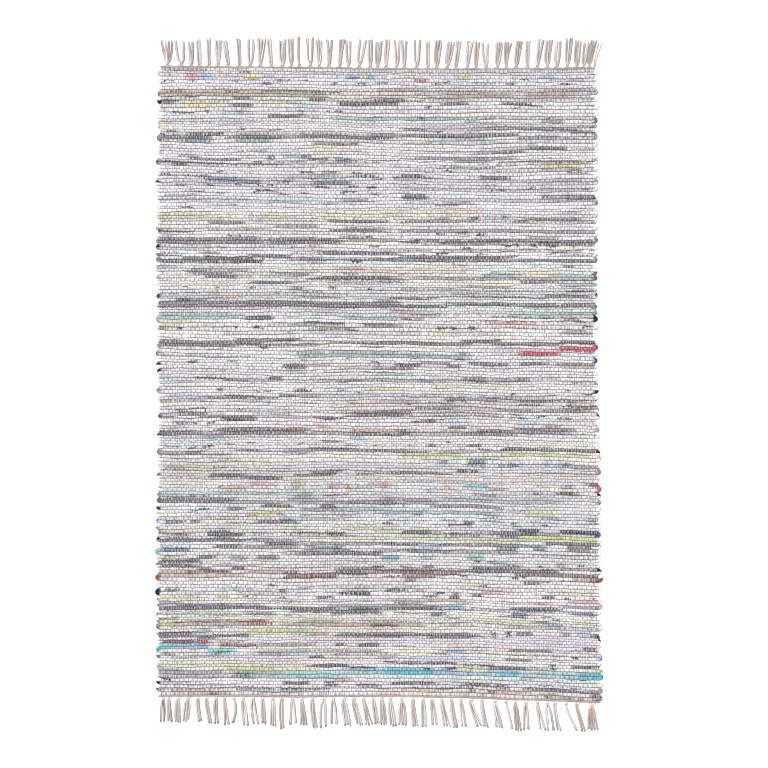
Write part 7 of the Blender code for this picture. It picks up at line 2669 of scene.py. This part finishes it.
# ---------------------------------------------------------------------- fringe
def tubes(name, lines, radii, sides, tints, material, flat=0.8):
    """Joined round tubes: lines (count, points, 3) in mm, radii to match."""
    lines, radii = np.asarray(lines, float), np.asarray(radii, float)
    count, points = lines.shape[:2]
    tangent = np.gradient(lines, axis=1)
    tangent /= np.linalg.norm(tangent, axis=2)[:, :, None] + 1e-9
    up = np.array([0.0, 0.0, 1.0])
    across = np.cross(tangent, up)
    across /= np.linalg.norm(across, axis=2)[:, :, None] + 1e-9
    over = np.cross(across, tangent)
    angle = 2 * math.pi * (np.arange(sides) + 0.5) / sides
    offs = (
        across[:, :, None, :] * np.cos(angle)[None, None, :, None]
        + flat * over[:, :, None, :] * np.sin(angle)[None, None, :, None]
    )
    verts = lines[:, :, None, :] + offs * radii[:, :, None, None]
    verts[..., 2] = np.maximum(verts[..., 2], 0.05)
    base = (np.arange(count)[:, None] * points + np.arange(points - 1)[None, :]).reshape(-1, 1) * sides
    k = np.arange(sides)[None, :]
    a, b = base + k, base + (k + 1) % sides
    quads = np.stack([a, b, b + sides, a + sides], axis=-1).reshape(-1, 4)
    if sides == 4:
        first = np.arange(count)[:, None] * points * sides
        ends_a = first + np.arange(sides)[None, :]
        ends_b = first + (points - 1) * sides + np.arange(sides)[None, :]
        quads = np.concatenate([quads, ends_a[:, ::-1], ends_b])
    v = verts.reshape(-1, 3)
    a, b, c = v[quads[:, 0]], v[quads[:, 1]], v[quads[:, 2]]
    middle = v.mean(axis=0)
    if np.einsum("ij,ij->i", a - middle, np.cross(b - middle, c - middle)).sum() < 0:
        quads = quads[:, ::-1]
    obj = new_object(name, v, quads, [material])
    run = np.concatenate(
        [np.zeros((count, 1)), np.cumsum(np.linalg.norm(np.diff(lines, axis=1), axis=2), axis=1)],
        axis=1,
    ) * MM
    yarn = np.zeros((count, points, sides, 3))
    yarn[..., 0] = run[:, :, None]
    yarn[..., 1] = np.cos(angle)[None, None, :] * 1.4
    yarn[..., 2] = (rng.uniform(0, 300, count))[:, None, None]
    vector_layer(obj, "yarn", yarn.reshape(-1, 3))
    tints = np.asarray(tints, float)
    if tints.ndim == 2:
        tints = np.repeat(tints[:, None, :], points, axis=1)
    colour_layer(obj, "tint", np.repeat(tints[:, :, None, :], sides, axis=2).reshape(-1, 3))
    return obj


TAN_TINT = srgb(200, 180, 165) / srgb(236, 231, 228)
WARM_TINT = srgb(214, 202, 194) / srgb(236, 231, 228)
GREY_TINT = srgb(200, 196, 195) / srgb(236, 231, 228)
POINTS = 13  # stations along one fringe yarn


def build_fringe(name):
    """A dozen or so warp ends gather into each tassel, are knotted close to the
    heading, and hang on as a few loose cords with cut tips."""
    way = 1 if name == "top" else -1
    rows = TASSELS[name]
    feet = np.array([row["root"] for row in rows])
    xs = warp_x(np.arange(ENDS), float(end(name, 0)))
    home = np.abs(xs[:, None] - feet[None, :]).argmin(axis=1)
    lines, radii, tints = [], [], []
    knots, knot_r, knot_t = [], [], []
    share_at = np.concatenate([[0.13], np.linspace(0.24, 1.0, POINTS - 4)])
    for t, row in enumerate(rows):
        mine = np.where(home == t)[0]
        count, legs, root = len(mine), row["legs"], row["root"]
        lean = row["tip"] - root
        edge_y = float(end(name, root)) + way * (GAP + HEADING)
        length = row["length"] + GAP + WEB
        leg_of = np.arange(count) * legs // count
        place = (np.arange(legs) + 0.5) / legs * 2 - 1
        if legs == 2:
            place = np.array([-0.62, 0.62])
        coil = np.clip(row["wide"] / (1.95 * legs), 2.9, 4.8)  # half a cord's width
        reach = max(float(np.abs(place).max()), 0.3)
        tip_half = max(0.58 * row["wide"] - coil, 0.0) / reach
        knot_half = min(6.2, 3.4 + 0.20 * count)
        base_half = min(max(7.4 - coil, 0.6) / reach, tip_half + 2.0)
        open_at = rng.uniform(0.7, 1.1) if rng.random() < 0.3 else rng.uniform(0.22, 0.5)
        bend = rng.normal(0, 0.8, legs)
        whole_bend = rng.normal(0, 1.0) + (9.0 if name == "bottom" and row["wide"] == 13 and row["root"] < 0 else 0.0)
        level = 3.0 + rng.uniform(-0.4, 0.9, legs)
        leg_len = length * (1 + rng.normal(0, 0.018, legs))
        turns = rng.uniform(0.05, 0.45, legs) * rng.choice([-1, 1])
        phase = rng.uniform(0, 2 * math.pi, legs)
        leg_tan = np.zeros(legs, bool)
        leg_tan[rng.permutation(legs)[: round(row["tan"] * legs)]] = True
        faint = 0.35 + 0.65 * row["tan"]
        for q, end_id in enumerate(mine):
            leg = leg_of[q]
            inside = np.where(leg_of == leg)[0]
            rank = np.where(inside == q)[0][0]
            mates = len(inside)
            thick = min(max(1.12 * coil / (1 + 1 / math.sin(math.pi / max(mates, 2))), 1.15), 2.1)
            x_end = xs[end_id]
            heading_y = float(end(name, x_end)) + way * (GAP + HEADING)
            # The web: yarns slant in from the heading, then pass through the knot.
            gather = root + place[leg] * base_half * 0.8 + rng.uniform(-1.6, 1.6)
            pts = [
                (0.80 * x_end + 0.20 * gather, heading_y - way * 1.2, 2.1),
                (0.36 * x_end + 0.64 * gather, edge_y + way * 3.4, 2.2 + rng.uniform(-0.4, 0.7)),
                (gather, edge_y + way * 7.0, 3.0 + rng.uniform(-1.0, 1.4)),
            ]
            own_len = leg_len[leg] * (1 + rng.normal(0, 0.010))
            fray = rng.normal(0, 1.0)
            cord_shade = [1.0, 1.0, 1.0]
            for share in share_at:
                opened = ((share - 0.13) / 0.87) ** open_at
                half = base_half + (tip_half - base_half) * opened
                x = root + lean * share**1.3 + place[leg] * half
                x += bend[leg] * math.sin(math.pi * share * 1.2) + whole_bend * math.sin(math.pi * share)
                a = phase[leg] + 2 * math.pi * (rank / mates + turns[leg] * share)
                own_coil = (coil - thick) * (0.75 + 0.25 * min(1.0, share / 0.35))
                own_coil *= 1 + 0.30 * max(0.0, share - 0.85) / 0.15 * fray
                x += own_coil * math.cos(a)
                z = level[leg] * (1 - 0.15 * share) + 0.62 * own_coil * math.sin(a)
                pts.append((x, edge_y + way * own_len * share, max(1.1, z)))
                # Painted shade: a yarn turned to the side of its cord, or under it, is darker.
                cord_shade.append(1.0 - 0.12 * (1 - math.sin(a)) - 0.36 * abs(math.cos(a)) ** 1.5)
            lines.append(pts)
            r = np.full(POINTS, thick) * (1 + rng.normal(0, 0.07))
            r[0:2] = 0.8, 0.95
            r[-1] *= 0.8
            radii.append(r)
            if leg_tan[leg]:
                base = (TAN_TINT, WARM_TINT, GREY_TINT)[rng.choice(3, p=(0.55, 0.30, 0.15))]
            elif end_id % 3 == 0:
                base = faint * TAN_TINT + (1 - faint) * GREY_TINT
            else:
                base = GREY_TINT if rng.random() < 0.45 else np.ones(3) * 0.99
            base = base * (1 + rng.normal(0, 0.07))
            tone = base[None, :] * np.array(cord_shade)[:, None]
            tone[:3] = 0.25 * tone[:3] + 0.76
            tints.append(np.clip(tone, 0.2, 1.04))
        # The knot: yarn wrapped round the bundle, close to the heading.
        for w in range(3):
            ring = []
            slope = rng.uniform(-1.6, 1.6)
            for k in range(11):
                a = 2 * math.pi * k / 10.0
                ring.append(
                    (
                        root + (knot_half - 0.6 + 0.25 * w) * math.cos(a) + lean * 0.06,
                        edge_y + way * (8.4 + (w - 1) * 2.0 + slope * math.cos(a)),
                        3.2 + 2.2 * math.sin(a),
                    )
                )
            knots.append(ring)
            knot_r.append(np.full(11, 1.0))
            tone = 0.94 + rng.normal(0, 0.05)
            knot_t.append(np.clip((TAN_TINT if rng.random() < 0.6 * row["tan"] else GREY_TINT) * tone, 0.2, 1.06))
    strands = tubes(f"fringe_{name}_yarn", lines, radii, 4, tints, FRINGE)
    wraps = tubes(f"fringe_{name}_knots", knots, knot_r, 4, knot_t, FRINGE, flat=1.0)
    return strands, wraps


def build_heading(name):
    """Three picks of fine cord, beaten together against the last rag."""
    way = 1 if name == "top" else -1
    y0 = float(end(name, 0))
    x0, x1 = float(side("left", y0)) + CAD_SET_IN, float(side("right", y0)) - CAD_SET_IN
    points = 220
    xs = np.linspace(x0 + 0.5, x1 - 0.5, points)
    lines, radii, tints = [], [], []
    sag = 0.5 * drift(points, 8, rng) + 0.25 * drift(points, 3, rng)
    for c, offset in enumerate((1.1, 3.0, 4.9)):
        wave = 0.35 * np.sin(2 * np.pi * xs / 14.6 + math.pi * c)
        y = end(name, xs) + way * (GAP + offset) + np.clip(sag, -0.9, 0.9) + 0.12 * drift(points, 4, rng)
        z = 2.2 + wave + 0.1 * drift(points, 5, rng)
        lines.append(np.stack([xs, y, z], axis=1))
        radii.append(np.full(points, 1.15) * (1 + 0.06 * drift(points, 4, rng)))
        shade = 1 + 0.13 * drift(points, 7, rng) + 0.08 * drift(points, 2, rng)
        tone = np.ones((points, 3)) * ((1.28, 0.92, 0.96)[c] * shade)[:, None]
        tints.append(np.clip(tone, 0.55, 1.4))
    return tubes(f"heading_{name}_cord", lines, radii, 5, tints, CORD, flat=1.0)


rag_pieces, rag_shape = build_rags()
warp_pieces = build_warp(rag_shape)
fringe_pieces = {name: build_fringe(name) for name in ("top", "bottom")}
heading_pieces = {name: build_heading(name) for name in ("top", "bottom")}

for piece in rag_pieces:
    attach(piece, "root")
    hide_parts("rug_body")
for piece in warp_pieces:
    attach(piece, "root")
for name in ("top", "bottom"):
    for piece in fringe_pieces[name]:
        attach(piece, "root")
        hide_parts(f"fringe_{name}")
    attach(heading_pieces[name], "root")
    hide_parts(f"heading_{name}")

# ------------------------------------------------------------------ the studio
scene = bpy.context.scene


def studio():
    floor_mesh = bpy.data.meshes.new("studio_floor")
    s = 40.0
    floor_mesh.from_pydata([(-s, -s, 0), (s, -s, 0), (s, s, 0), (-s, s, 0)], [], [(0, 1, 2, 3)])
    floor = bpy.data.objects.new("studio_floor", floor_mesh)
    scene.collection.objects.link(floor)
    paper = bpy.data.materials.new("studio_paper")
    paper.use_nodes = True
    shader = paper.node_tree.nodes["Principled BSDF"]
    shader.inputs["Base Color"].default_value = (0.93, 0.93, 0.93, 1)
    shader.inputs["Roughness"].default_value = 0.9
    shader.inputs["Specular IOR Level"].default_value = 0.1
    floor_mesh.materials.append(paper)

    world = bpy.data.worlds.new("studio_world")
    world.use_nodes = True
    back = world.node_tree.nodes["Background"]
    back.inputs["Color"].default_value = (1.0, 1.0, 1.0, 1)
    back.inputs["Strength"].default_value = 0.60
    scene.world = world

    def sun(name, angle, power, towards):
        """Broad, even light, as from a wide softbox that is far enough away."""
        data = bpy.data.lights.new(name, "SUN")
        data.angle = math.radians(angle)
        data.energy = power
        obj = bpy.data.objects.new(name, data)
        obj.rotation_euler = Vector(towards).to_track_quat("Z", "Y").to_euler()
        obj.location = Vector(towards).normalized() * 4
        scene.collection.objects.link(obj)

    sun("soft_key", 22, 3.80, (-0.42, 0.62, 1.0))


studio()

# The camera looks straight down; the whole frame is 2.783 m wide.
FRAME_WIDTH = 768 * 3.624 * MM
LENS = 85.0
camera_data = bpy.data.cameras.new("camera")
camera_data.type = "PERSP"
camera_data.lens = LENS
camera_data.sensor_width = 36.0
camera = bpy.data.objects.new("camera", camera_data)
distance = FRAME_WIDTH * LENS / 36.0
camera.location = ((19.0 + ZERO_X) * MM, (1.8 + ZERO_Y) * MM, distance)
camera.rotation_euler = (0, 0, 0)
camera_data.clip_end = 200
scene.collection.objects.link(camera)
scene.camera = camera

scene.view_settings.view_transform = "Standard"
scene.view_settings.look = "None"
scene.view_settings.exposure = 0.0
scene.view_settings.gamma = 1.0
scene.cycles.use_denoising = False
scene.cycles.filter_width = 1.2
scene.cycles.max_bounces = 6
scene.cycles.diffuse_bounces = 4
scene.cycles.caustics_reflective = False
scene.cycles.caustics_refractive = False
